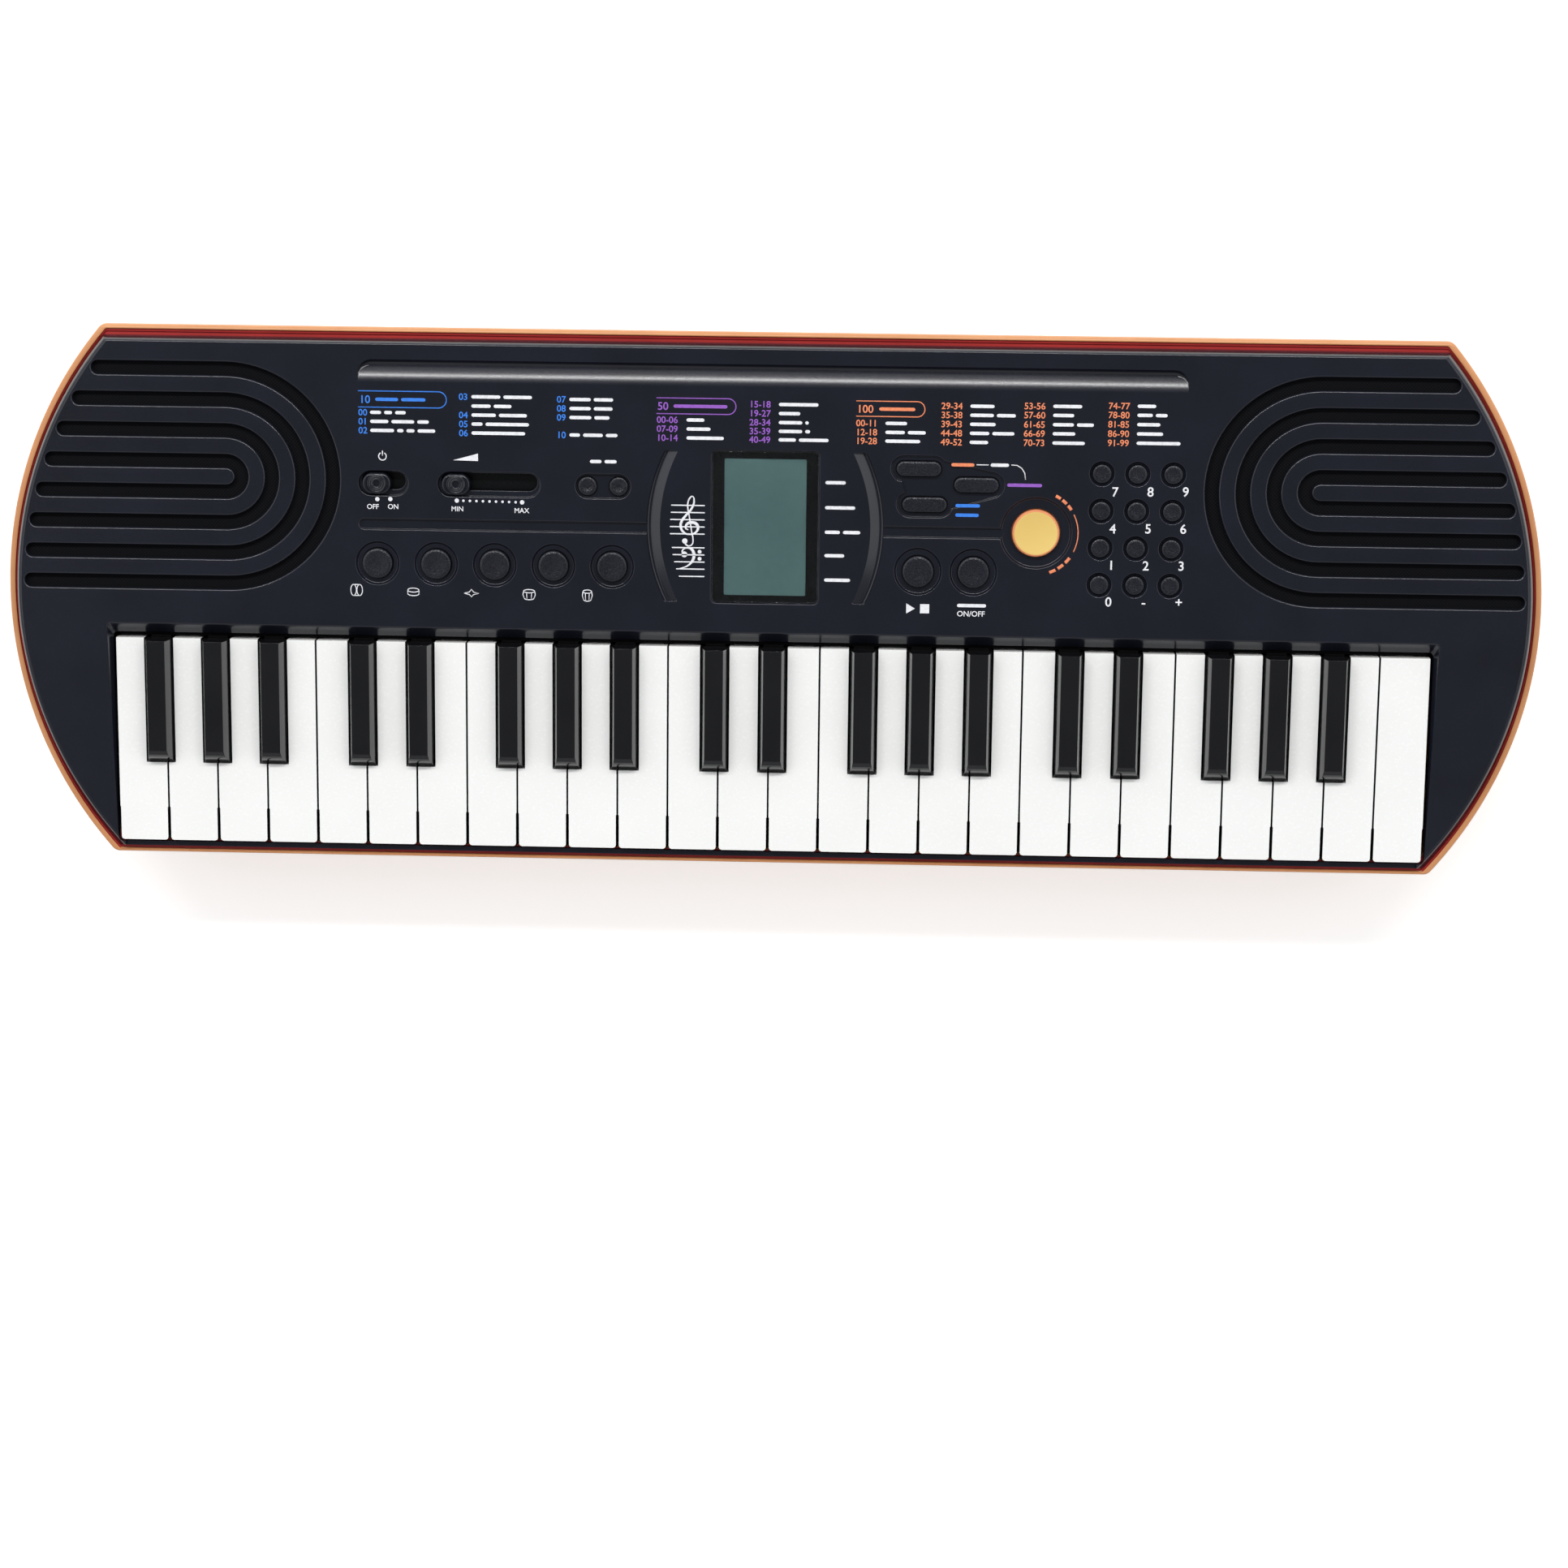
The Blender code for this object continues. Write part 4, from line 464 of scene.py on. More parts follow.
    @classmethod
    def copy_of_node(cls, node: str, name: str) -> Piece:
        """Merged copy of a CAD node with its own mesh, coplanar triangles joined to whole faces.

        Args:
            node: Name of the CAD node.
            name: Name of the copy.

        Returns:
            The copy.
        """
        obj = cls.added(name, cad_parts[node].data.copy())
        obj.data.materials.clear()
        cls.edit(obj)
        bpy.ops.mesh.customdata_custom_splitnormals_clear()
        bpy.ops.mesh.remove_doubles(threshold=2e-6)
        bpy.ops.mesh.dissolve_limited(angle_limit=math.radians(1.0))
        bpy.ops.mesh.normals_make_consistent(inside=False)
        cls.close()
        return obj


# Finishes


def linear(red: int, green: int, blue: int) -> Triple:
    """Linear colour from display values between 0 and 255."""
    values = []
    for value in (red, green, blue):
        share = value / 255.0
        values.append(share / 12.92 if share <= 0.04045 else ((share + 0.055) / 1.055) ** 2.4)
    return tuple(values)


class NodeDesk:
    """Builds the node tree of one material."""

    def __init__(self, name: str) -> None:
        """Start a material with a Principled shader and object coordinates.

        Args:
            name: Name of the material.
        """
        self.material = bpy.data.materials.new(name)
        self.material.use_nodes = True
        self.tree = self.material.node_tree
        self.shader = self.tree.nodes["Principled BSDF"]
        self.coords = self.tree.nodes.new("ShaderNodeTexCoord").outputs["Object"]

    def link(self, source: Socket, target: Socket) -> None:
        """Join two sockets."""
        self.tree.links.new(source, target)

    def noise(self, scale: float, detail: float = 3.0) -> Socket:
        """Noise pattern over the object coordinates.

        Args:
            scale: Repeats per metre.
            detail: Octaves of finer noise.

        Returns:
            The factor socket.
        """
        node = self.tree.nodes.new("ShaderNodeTexNoise")
        node.inputs["Scale"].default_value = scale
        node.inputs["Detail"].default_value = detail
        self.link(self.coords, node.inputs["Vector"])
        return node.outputs["Fac"]

    def ramp(self, source: Socket,
             stops: list[tuple[float, Triple]]) -> Socket:
        """Colour ramp over a factor.

        Args:
            source: Socket of the factor.
            stops: Places between 0 and 1 with their linear colours.

        Returns:
            The colour socket.
        """
        node = self.tree.nodes.new("ShaderNodeValToRGB")
        ramp = node.color_ramp
        while len(ramp.elements) < len(stops):
            ramp.elements.new(0.5)
        for element, (place, colour) in zip(ramp.elements, stops):
            element.position = place
            element.color = (*colour, 1.0)
        self.link(source, node.inputs["Fac"])
        return node.outputs["Color"]

    def span(self, source: Socket, low: float, high: float) -> Socket:
        """Factor between 0.3 and 0.7, where most of a noise lies, stretched to a range of values.

        Args:
            source: Socket of the factor.
            low: Value at 0.3.
            high: Value at 0.7.

        Returns:
            The value socket.
        """
        node = self.tree.nodes.new("ShaderNodeMapRange")
        node.inputs["From Min"].default_value = 0.3
        node.inputs["From Max"].default_value = 0.7
        node.inputs["To Min"].default_value = low
        node.inputs["To Max"].default_value = high
        self.link(source, node.inputs["Value"])
        return node.outputs["Result"]

    def bump(self, source: Socket, strength: float, distance: float) -> None:
        """Bump the shader's normal with a height.

        Args:
            source: Socket of the height.
            strength: Share of the bump that shows.
            distance: Height of the bump in metres.
        """
        node = self.tree.nodes.new("ShaderNodeBump")
        node.inputs["Strength"].default_value = strength
        node.inputs["Distance"].default_value = distance
        self.link(source, node.inputs["Height"])
        self.link(node.outputs["Normal"], self.shader.inputs["Normal"])


@dataclass(frozen=True)
class Moulded:
    """Moulded plastic or rubber: two close colours, a fine grain and a broad mottle."""

    name: str
    colour: tuple[int, int, int]
    shade: tuple[int, int, int]
    rough_low: float = 0.35
    rough_high: float = 0.5
    specular: float = 0.5
    grain: float = 2600.0
    depth: float = 0.02 * MM
    bump: float = 0.12
    mottle: float = 38.0

    def material(self) -> bpy.types.Material:
        """The finish as a material."""
        desk = NodeDesk(self.name)
        mottle = desk.noise(self.mottle, 4.0)
        colour = desk.ramp(mottle, [(0.32, linear(*self.shade)), (0.68, linear(*self.colour))])
        desk.link(colour, desk.shader.inputs["Base Color"])
        fine = desk.noise(self.grain, 2.0)
        desk.link(desk.span(fine, self.rough_low, self.rough_high), desk.shader.inputs["Roughness"])
        desk.bump(fine, self.bump, self.depth)
        desk.shader.inputs["Specular IOR Level"].default_value = self.specular
        return desk.material


@dataclass(frozen=True)
class Ink:
    """Printed ink: slightly uneven cover with a satin surface."""

    name: str
    colour: tuple[int, int, int]

    def material(self) -> bpy.types.Material:
        """The ink as a material."""
        desk = NodeDesk(self.name)
        cover = desk.noise(900.0, 3.0)
        full = linear(*self.colour)
        worn = tuple(0.86 * value for value in full)
        desk.link(desk.ramp(cover, [(0.35, worn), (0.55, full)]), desk.shader.inputs["Base Color"])
        desk.link(desk.span(cover, 0.45, 0.6), desk.shader.inputs["Roughness"])
        desk.bump(cover, 0.05, 0.01 * MM)
        desk.shader.inputs["Specular IOR Level"].default_value = 0.3
        return desk.material


@dataclass(frozen=True)
class ClearPane:
    """Clear polished window with faint dust."""

    name: str = "window_pane"

    def material(self) -> bpy.types.Material:
        """The pane as a material."""
        desk = NodeDesk(self.name)
        dust = desk.noise(300.0, 4.0)
        desk.link(desk.ramp(dust, [(0.3, (0.93, 0.95, 0.95)), (0.7, (0.97, 0.99, 0.98))]),
                  desk.shader.inputs["Base Color"])
        desk.link(desk.span(dust, 0.0, 0.02), desk.shader.inputs["Roughness"])
        desk.shader.inputs["Transmission Weight"].default_value = 1.0
        desk.shader.inputs["IOR"].default_value = 1.30
        return desk.material


@dataclass(frozen=True)
class LcdFace:
    """Face of the liquid crystal display: grey green, a little lighter towards one corner."""

    name: str = "lcd_face"
    dark: tuple[int, int, int] = (83, 112, 113)
    light: tuple[int, int, int] = (99, 130, 130)

    def material(self) -> bpy.types.Material:
        """The face as a material."""
        desk = NodeDesk(self.name)
        cloud = desk.noise(22.0, 2.0)
        desk.link(desk.ramp(cloud, [(0.3, linear(*self.dark)), (0.72, linear(*self.light))]),
                  desk.shader.inputs["Base Color"])
        film = desk.noise(900.0, 2.0)
        desk.link(desk.span(film, 0.3, 0.38), desk.shader.inputs["Roughness"])
        desk.bump(film, 0.02, 0.01 * MM)
        return desk.material


@dataclass(frozen=True)
class SpeakerCloth:
    """Woven black cloth behind the grilles."""

    name: str = "speaker_cloth"
    threads: float = 1500.0

    def material(self) -> bpy.types.Material:
        """The cloth as a material."""
        desk = NodeDesk(self.name)
        weave = desk.tree.nodes.new("ShaderNodeTexChecker")
        weave.inputs["Scale"].default_value = self.threads
        weave.inputs["Color1"].default_value = (*linear(16, 17, 20), 1.0)
        weave.inputs["Color2"].default_value = (*linear(7, 7, 9), 1.0)
        desk.link(desk.coords, weave.inputs["Vector"])
        desk.link(weave.outputs["Color"], desk.shader.inputs["Base Color"])
        desk.bump(weave.outputs["Fac"], 0.3, 0.1 * MM)
        desk.shader.inputs["Roughness"].default_value = 0.9
        desk.shader.inputs["Specular IOR Level"].default_value = 0.1
        return desk.material


@dataclass(frozen=True)
class TracedBoard:
    """Circuit board: green resist over copper traces."""

    name: str = "circuit_board"

    def material(self) -> bpy.types.Material:
        """The board as a material."""
        desk = NodeDesk(self.name)
        brick = desk.tree.nodes.new("ShaderNodeTexBrick")
        brick.inputs["Scale"].default_value = 160.0
        brick.inputs["Mortar Size"].default_value = 0.012
        brick.inputs["Color1"].default_value = (*linear(14, 78, 40), 1.0)
        brick.inputs["Color2"].default_value = (*linear(18, 88, 46), 1.0)
        brick.inputs["Mortar"].default_value = (*linear(52, 120, 66), 1.0)
        desk.link(desk.coords, brick.inputs["Vector"])
        desk.link(brick.outputs["Color"], desk.shader.inputs["Base Color"])
        desk.link(desk.span(desk.noise(700.0), 0.35, 0.5), desk.shader.inputs["Roughness"])
        desk.bump(brick.outputs["Fac"], 0.2, 0.05 * MM)
        return desk.material


class Finishes:
    """All finishes of the object, each made once."""

    CASE_DARK = Moulded("case_dark_satin", (26, 28, 38), (22, 24, 32), rough_low=0.16, rough_high=0.25,
                        grain=2400.0, bump=0.08)
    RIM = Moulded("rim_orange_satin", (208, 145, 95), (198, 133, 83), rough_low=0.3, rough_high=0.4,
                  grain=2200.0, bump=0.1)
    # Deep red painted shade for the step between the orange rim and the upper case.
    RIM_STEP_PAINTED_SHADE = Moulded("rim_step_painted_shade", (172, 44, 42), (158, 38, 36), specular=0.4)
    IVORY = Moulded("key_ivory_white", (245, 245, 242), (242, 242, 239), rough_low=0.2, rough_high=0.3,
                    grain=900.0, depth=0.01 * MM, bump=0.05)
    # Dark grey painted shade on the white keys' flanks in the gaps and on their necks under the lip.
    KEY_FLANK_PAINTED_SHADE = Moulded("key_flank_painted_shade", (46, 46, 45), (38, 38, 37), rough_low=0.45, rough_high=0.55,
                        specular=0.3)
    EBONY = Moulded("key_ebony_black", (25, 25, 27), (21, 21, 23), rough_low=0.12, rough_high=0.2,
                    grain=1800.0, depth=0.01 * MM, bump=0.05)
    FELT = Moulded("key_felt_black", (14, 14, 15), (8, 8, 9), rough_low=0.9, rough_high=1.0,
                   specular=0.05, grain=1200.0, depth=0.1 * MM, bump=0.6)
    RUBBER = Moulded("button_rubber_dark", (23, 24, 33), (16, 17, 25), rough_low=0.22, rough_high=0.45,
                     specular=0.45, grain=1900.0, depth=0.16 * MM, bump=1.0)
    CREAM = Moulded("button_cream_yellow", (226, 195, 116), (220, 187, 106), rough_low=0.4,
                    rough_high=0.52, specular=0.35, grain=3000.0, depth=0.03 * MM, bump=0.2)
    SALMON = Moulded("button_ring_salmon", (226, 146, 98), (216, 134, 88), rough_low=0.4,
                     rough_high=0.55, specular=0.35)
    KNOB = Moulded("knob_dark_satin", (22, 24, 33), (17, 19, 27), rough_low=0.16, rough_high=0.26,
                   grain=2800.0, bump=0.1)
    MASK = Moulded("window_mask_black", (8, 9, 11), (6, 7, 8), rough_low=0.25, rough_high=0.35,
                   specular=0.3)
    CONE = Moulded("speaker_cone_paper", (26, 26, 28), (14, 14, 16), rough_low=0.75, rough_high=0.9,
                   specular=0.2, grain=500.0, depth=0.1 * MM, bump=0.5)
    RAIL = Moulded("comb_rail_grey", (152, 154, 156), (138, 140, 143), rough_low=0.4, rough_high=0.55,
                   specular=0.4)
    STEEL = Moulded("screw_steel", (120, 122, 126), (98, 100, 104), rough_low=0.25, rough_high=0.4,
                    specular=0.8, grain=1600.0, bump=0.2)
    PAD = Moulded("foot_rubber_black", (24, 24, 25), (16, 16, 17), rough_low=0.7, rough_high=0.85,
                  specular=0.2, grain=1800.0, depth=0.05 * MM, bump=0.4)

    def __init__(self) -> None:
        """Start with no material made."""
        self._made: dict[str, bpy.types.Material] = {}

    def get(self, finish: object) -> bpy.types.Material:
        """The material of a finish, made on first use."""
        if finish.name not in self._made:
            self._made[finish.name] = finish.material()
        return self._made[finish.name]


FINISHES = Finishes()


def coat(obj: Piece, finishes: list[object]) -> None:
    """Put finishes into an object's material slots, in order, and keep which face takes which slot."""
    slots = obj.data.materials
    for index, finish in enumerate(finishes):
        if index < len(slots):
            slots[index] = FINISHES.get(finish)
        else:
            slots.append(FINISHES.get(finish))


def dress(obj: Piece, finishes: list[object], body: str,
          nodes: tuple[str, ...] = ()) -> Piece:
    """Give a piece its finishes and let it ride on its body.

    Args:
        obj: The piece.
        finishes: Finishes by material slot.
        body: Name of the CAD body it moves with.
        nodes: CAD nodes that it replaces.

    Returns:
        The piece.
    """
    coat(obj, finishes)
    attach(obj, body)
    if nodes:
        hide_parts(*nodes)
    LOG.info("%s: %d faces on %s", obj.name, len(obj.data.polygons), body)
    return obj


# Sizes of the panel's features


@dataclass(frozen=True)
class PanelFeatures:
    """Places and sizes of what the panel holds."""

    grille_x: float = 213.2 * MM
    grille_y: float = 47.2 * MM
    grille_radius: float = 6.0 * MM
    grille_pitch: float = 12.0 * MM
    grille_count: int = 4
    grille_slot: float = 5.2 * MM
    grille_margin: float = 8.0 * MM
    trough_half: float = 161.0 * MM
    trough_front: float = 84.7 * MM
    trough_rear: float = 93.7 * MM
    trough_slope: float = 6.9 * MM
    trough_depth: float = 2.8 * MM
    trough_corner: float = 5.5 * MM
    trough_wall: float = 2.6 * MM
    channel_y: float = 29.4 * MM
    channel_width: float = 3.9 * MM
    channel_depth: float = 1.3 * MM
    channel_left: float = -161.0 * MM
    display: Point = (-2.0 * MM, 30.3 * MM)
    display_size: Point = (41.8 * MM, 59.8 * MM)
    lcd_size: Point = (32.8 * MM, 54.4 * MM)
    lens_thick: float = 1.1 * MM
    bracket_radius: float = 66.0 * MM
    bracket_outer: float = 46.4 * MM
    bracket_width: float = 5.5 * MM
    bracket_half: float = 29.3 * MM
    bracket_depth: float = 1.7 * MM
    mode_buttons: tuple[Point, ...] = ((57.6 * MM, 54.2 * MM), (80.0 * MM, 48.2 * MM), (60.0 * MM, 40.3 * MM))
    mode_size: Point = (17.4 * MM, 5.8 * MM)
    play_buttons: tuple[Point, ...] = ((57.9 * MM, 14.0 * MM), (79.5 * MM, 14.0 * MM))
    play_radius: float = 6.1 * MM
    play_recess: float = 9.1 * MM
    number_x: tuple[float, ...] = (128.6 * MM, 142.4 * MM, 156.2 * MM)
    number_y: tuple[float, ...] = (53.3 * MM, 38.8 * MM, 24.3 * MM, 9.8 * MM)
    number_radius: float = 3.6 * MM
    number_recess: float = 4.7 * MM
    drum_x: float = -154.0 * MM
    drum_pitch: float = 23.05 * MM
    drum_y: float = 14.0 * MM
    drum_radius: float = 5.9 * MM
    drum_recess: float = 8.4 * MM
    piano: Point = (103.5 * MM, 29.8 * MM)
    piano_radius: float = 9.2 * MM
    piano_recess: float = 13.8 * MM
    clearance: float = 0.4 * MM
    recess_depth: float = 1.1 * MM
    proud: float = 1.2 * MM
    low_proud: float = 0.4 * MM
    slider_y: float = 45.5 * MM
    slider_width: float = 9.4 * MM
    slider_depth: float = 1.5 * MM
    slot_width: float = 6.6 * MM
    slot_shift: float = 0.9 * MM
    slot_end: float = 1.1 * MM
    knob_size: Point = (11.3 * MM, 8.3 * MM)
    knob_end_gap: float = 1.35 * MM
    power_x: float = -151.4 * MM
    power_travel: float = 5.1 * MM
    volume_x: float = -110.0 * MM
    volume_travel: float = 25.8 * MM
    tempo_x: float = -65.4 * MM
    tempo_spread: float = 6.1 * MM
    tempo_radius: float = 3.6 * MM
    tempo_length: float = 21.2 * MM
    mat_top: float = 51.4 * MM
    mat_thick: float = 1.2 * MM

    def pocket_length(self, travel: float) -> float:
        """Length of a slide pocket with room for a knob's travel."""
        return travel + self.knob_size[0] + 2 * self.knob_end_gap

    @property
    def drums(self) -> list[Point]:
        """Centres of the five drum pads."""
        return [(self.drum_x + i * self.drum_pitch, self.drum_y) for i in range(5)]

    @property
    def numbers(self) -> list[Point]:
        """Centres of the twelve number buttons."""
        return [(x, y) for y in self.number_y for x in self.number_x]

    @property
    def tempo_pair(self) -> list[Point]:
        """Centres of the two tempo buttons."""
        return [(self.tempo_x + sign * self.tempo_spread, self.slider_y) for sign in (-1, 1)]


PANEL = PanelFeatures()


# Case


@dataclass
class UpperCase:
    """Dark upper case: soft-edged panel with the key opening, grilles, recesses and button holes."""

    plan: CasePlan = PLAN
    features: PanelFeatures = PANEL
    wall: float = 2.25 * MM
    # Drop below the panel's top and lean inwards there, in millimetres.
    soft_edge: tuple[Point, ...] = ((6.6, 0.2), (4.0, 0.7), (2.4, 1.1), (1.25, 1.58), (0.62, 2.02),
                                    (0.26, 2.46), (0.07, 2.9), (0.0, 3.4))
    # Shares of the lean at the rear and the front, of which the sides take all.
    lean_rear: float = 0.6
    lean_front: float = 0.3
    # Thickness under the soft edge at the sides, the rear and the front, as multiples of the wall.
    inner_walls: Triple = (1.7, 1.36, 1.05)
    lip_rear: float = 4.2 * MM
    lip_side: float = 1.5 * MM
    lip_foot: float = 49.0 * MM
    rail_top: float = 47.8 * MM
    rail_half: float = 257.5 * MM
    rail_overlap: float = 2.0 * MM
    frame_margin: float = 3.8 * MM
    frame_heights: Point = (48.4 * MM, 52.1 * MM)
    soft: float = 0.6 * MM
    grille_soft: float = 0.8 * MM
    # Steps of a round end of the pockets and of the channel.
    pocket_steps: int = 14
    channel_steps: int = 8

    def build(self) -> Piece:
        """Build and dress the upper case.

        Returns:
            The finished piece.
        """
        case = self.shell()
        Bench.combine(case, self.lip_frame(), "UNION")
        Bench.combine(case, self.trough_back(), "UNION")
        Bench.combine(case, self.key_opening(), "DIFFERENCE")
        plan = self.plan
        trim = Bench.block("front_trim", (-self.rail_half, -plan.half_depth - 5 * MM, self.rail_top),
                           (self.rail_half, plan.opening_front + self.rail_overlap, plan.panel_top + 4 * MM))
        Bench.combine(case, trim, "DIFFERENCE")
        for group in (self.grilles(), self.dishes(), self.slides(), self.slots(), self.window(),
                      [self.mode_recess()], self.brackets(), self.channels(), [self.trough()], self.holes()):
            Bench.combine(case, Bench.joined("cutter", group), "DIFFERENCE")
        Bench.smooth(case)
        return dress(case, [Finishes.CASE_DARK], CASE, ("upper_case",))

    def shell(self) -> Piece:
        """Cup with a soft upper edge, its panel falling towards the front beside the keys."""
        plan, wall = self.plan, self.wall
        base = plan.ledge + plan.seat_gap

        def ring(z: float, lean: float) -> Ring:
            """Outer ring at a height, leaning in."""
            return at_height(plan.outline(plan.inset_side + lean, plan.inset_rear + self.lean_rear * lean,
                                          plan.inset_front + self.lean_front * lean), z)

        at_side, at_rear, at_front = self.inner_walls
        inner_top = plan.outline(plan.inset_side + at_side * wall, plan.inset_rear + at_rear * wall,
                                 plan.inset_front + at_front * wall)
        inner_base = plan.outline(plan.inset_side + wall, plan.inset_rear + wall, plan.inset_front + wall)
        rings = [at_height(inner_top, plan.panel_under), at_height(inner_base, base), ring(base, 0.0)]
        rings += [ring(plan.panel_top - drop * MM, lean * MM) for drop, lean in self.soft_edge]
        case = Bench.loft("case_top", rings)
        self.drop_cheeks(case)
        return case

    def drop_cheeks(self, obj: Piece) -> None:
        """Let what lies beside the keys fall towards the front edge."""
        plan = self.plan
        Bench.edit(obj)
        bpy.ops.mesh.bisect(plane_co=(0.0, plan.cheek_start, 0.0), plane_no=(0.0, 1.0, 0.0))
        Bench.close()
        run = plan.cheek_start + plan.half_depth
        low = plan.ledge + plan.seat_gap
        for vert in obj.data.vertices:
            if vert.co.y < plan.cheek_start and vert.co.z > low:
                share = min((vert.co.z - low) / (plan.panel_under - low), 1.0)
                vert.co.z -= share * plan.cheek_drop * (plan.cheek_start - vert.co.y) / run

    def lip_frame(self) -> Piece:
        """Frame under the panel that the sloped lip is cut from."""
        plan = self.plan
        half = plan.opening_half + self.frame_margin
        outline = rounded(-half, half, plan.opening_front + 6.0 * MM, plan.opening_rear + 6.5 * MM, 2.5 * MM)
        frame_body = Bench.loft("lip_frame", [at_height(outline, z) for z in self.frame_heights])
        self.drop_cheeks(frame_body)
        return frame_body

    def key_opening(self) -> Piece:
        """Cutter over the keys with a sloped lip and a soft upper edge."""
        plan = self.plan
        top = plan.panel_top
        slope = top - self.lip_foot
        below_keys = 39.0 * MM
        rings = []
        for z, extra in ((below_keys, 0.0), (self.lip_foot - 0.3 * MM, 0.0), (self.lip_foot + 0.35 * MM, 0.0),
                         (top - 0.45 * MM, 0.0), (top - 0.12 * MM, 0.14 * MM), (top, 0.5 * MM),
                         (top + slope, 1.2 * MM)):
            grow = max(min(z, top) - self.lip_foot, 0.0) / slope
            side = plan.opening_half + grow * self.lip_side + extra
            rear = plan.opening_rear + grow * self.lip_rear + extra
            rings.append(at_height(rounded(-side, side, plan.opening_front, rear, 1.6 * MM), z))
        return Bench.loft("key_opening", rings)

    def sunk(self, name: str, outline: object, floor: float, soft: float | None = None,
             top: float | None = None) -> Piece:
        """Cutter with a soft upper edge and a small fillet at its floor.

        Args:
            name: Name of the cutter.
            outline: Function from a growth to a closed outline.
            floor: Height of the floor.
            soft: Radius of the upper edge.
            top: Height of the upper edge, or the panel's top.

        Returns:
            The cutter.
        """
        soft = self.soft if soft is None else soft
        top = self.plan.panel_top if top is None else top
        fillet = min(0.3 * MM, 0.3 * (top - floor))
        rings = [at_height(outline(-fillet), floor), at_height(outline(-0.3 * fillet), floor + 0.3 * fillet),
                 at_height(outline(0.0), floor + fillet), at_height(outline(0.0), top - soft)]
        rings += [at_height(outline(soft * (1.0 - math.cos(t))), top - soft * (1.0 - math.sin(t)))
                  for t in (math.radians(30.0), math.radians(60.0))]
        rings += [at_height(outline(soft), top + 0.01 * MM), at_height(outline(soft), top + 2.0 * MM)]
        return Bench.loft(name, rings)

    def pocket(self, name: str, place: Point, size: Point, steps: int, floor: float,
               soft: float | None = None, top: float | None = None) -> Piece:
        """Cutter of a sunk bar along X with round ends.

        Args:
            name: Name of the cutter.
            place: Centre in plan.
            size: Length and width.
            steps: Steps of a round end.
            floor: Height of the floor.
            soft: Radius of the upper edge.
            top: Height of the upper edge, or the panel's top.

        Returns:
            The cutter.
        """
        def outline(grow: float) -> list[Point]:
            """Outline, grown outwards."""
            return stadium(*place, size[0] + 2 * grow, size[1] + 2 * grow, steps)

        return self.sunk(name, outline, floor, soft, top)

    def dish(self, radius: float, steps: int, places: list[Point]) -> list[Piece]:
        """Round dishes with a sloped wall and soft edges.

        Args:
            radius: Radius of the dish.
            steps: Steps of its turn.
            places: Where the dishes are.

        Returns:
            Their cutters.
        """
        top = self.plan.panel_top
        depth = self.features.recess_depth
        low = top - depth
        profile = [(0.0, low), (radius - 0.75 * MM, low), (radius - 0.5 * MM, low + 0.06 * MM),
                   (radius - 0.3 * MM, low + 0.25 * MM), (radius - 0.02 * MM, top - 0.5 * MM),
                   (radius + 0.07 * MM, top - 0.25 * MM), (radius + 0.25 * MM, top - 0.07 * MM),
                   (radius + 0.5 * MM, top + 0.01 * MM),
                   (radius + 0.55 * MM, top + 2.0 * MM), (0.0, top + 2.0 * MM)]
        return Bench.repeated(Bench.turned("dish", profile, (0.0, 0.0), steps), places)

    def dishes(self) -> list[Piece]:
        """Cutters of the round dishes."""
        f = self.features
        return (self.dish(f.number_recess, 40, f.numbers) + self.dish(f.drum_recess, 56, f.drums)
                + self.dish(f.play_recess, 56, list(f.play_buttons))
                + self.dish(f.piano_recess, 72, [f.piano]))

    def slides(self) -> list[Piece]:
        """Cutters of the slide switches' pockets and of the tempo pair's pocket."""
        f = self.features
        floor = self.plan.panel_top - f.slider_depth
        return [self.pocket("pocket", (x, f.slider_y), (length, f.slider_width), self.pocket_steps, floor)
                for x, length in ((f.power_x, f.pocket_length(f.power_travel)),
                                  (f.volume_x, f.pocket_length(f.volume_travel)),
                                  (f.tempo_x, f.tempo_length))]

    def slots(self) -> list[Piece]:
        """Cutters of the long openings in the floors of the two slide pockets."""
        f = self.features
        top = self.plan.panel_top - f.slider_depth
        low = self.plan.panel_under - 1.0 * MM
        cuts = []
        for x, travel in ((f.power_x, f.power_travel), (f.volume_x, f.volume_travel)):
            size = (f.pocket_length(travel) - 2 * f.slot_end, f.slot_width)
            cuts.append(self.pocket("slot", (x, f.slider_y + f.slot_shift), size, self.pocket_steps, low,
                                    0.4 * MM, top))
        return cuts

    def window(self) -> list[Piece]:
        """Cutter of the window's seat."""
        f = self.features
        half_x, half_y = f.display_size[0] / 2.0, f.display_size[1] / 2.0
        cx, cy = f.display

        def outline(grow: float) -> list[Point]:
            """Seat outline, grown outwards."""
            return rounded(cx - half_x - grow, cx + half_x + grow, cy - half_y - grow, cy + half_y + grow,
                           2.0 * MM + grow)

        return [self.sunk("window", outline, self.plan.panel_top - f.lens_thick - 0.3 * MM, 0.5 * MM)]

    def brackets(self) -> list[Piece]:
        """Cutters of the two crescents beside the display: a steep outer wall, a floor that rises inwards."""
        f, top = self.features, self.plan.panel_top
        # Share of the width from the outer edge, and share of the depth there.
        section = ((0.0, -0.02), (0.02, 0.1), (0.05, 0.4), (0.09, 0.85), (0.16, 0.97), (0.26, 1.0),
                   (0.4, 0.88), (0.85, 0.2), (0.95, 0.06), (1.0, -0.02))
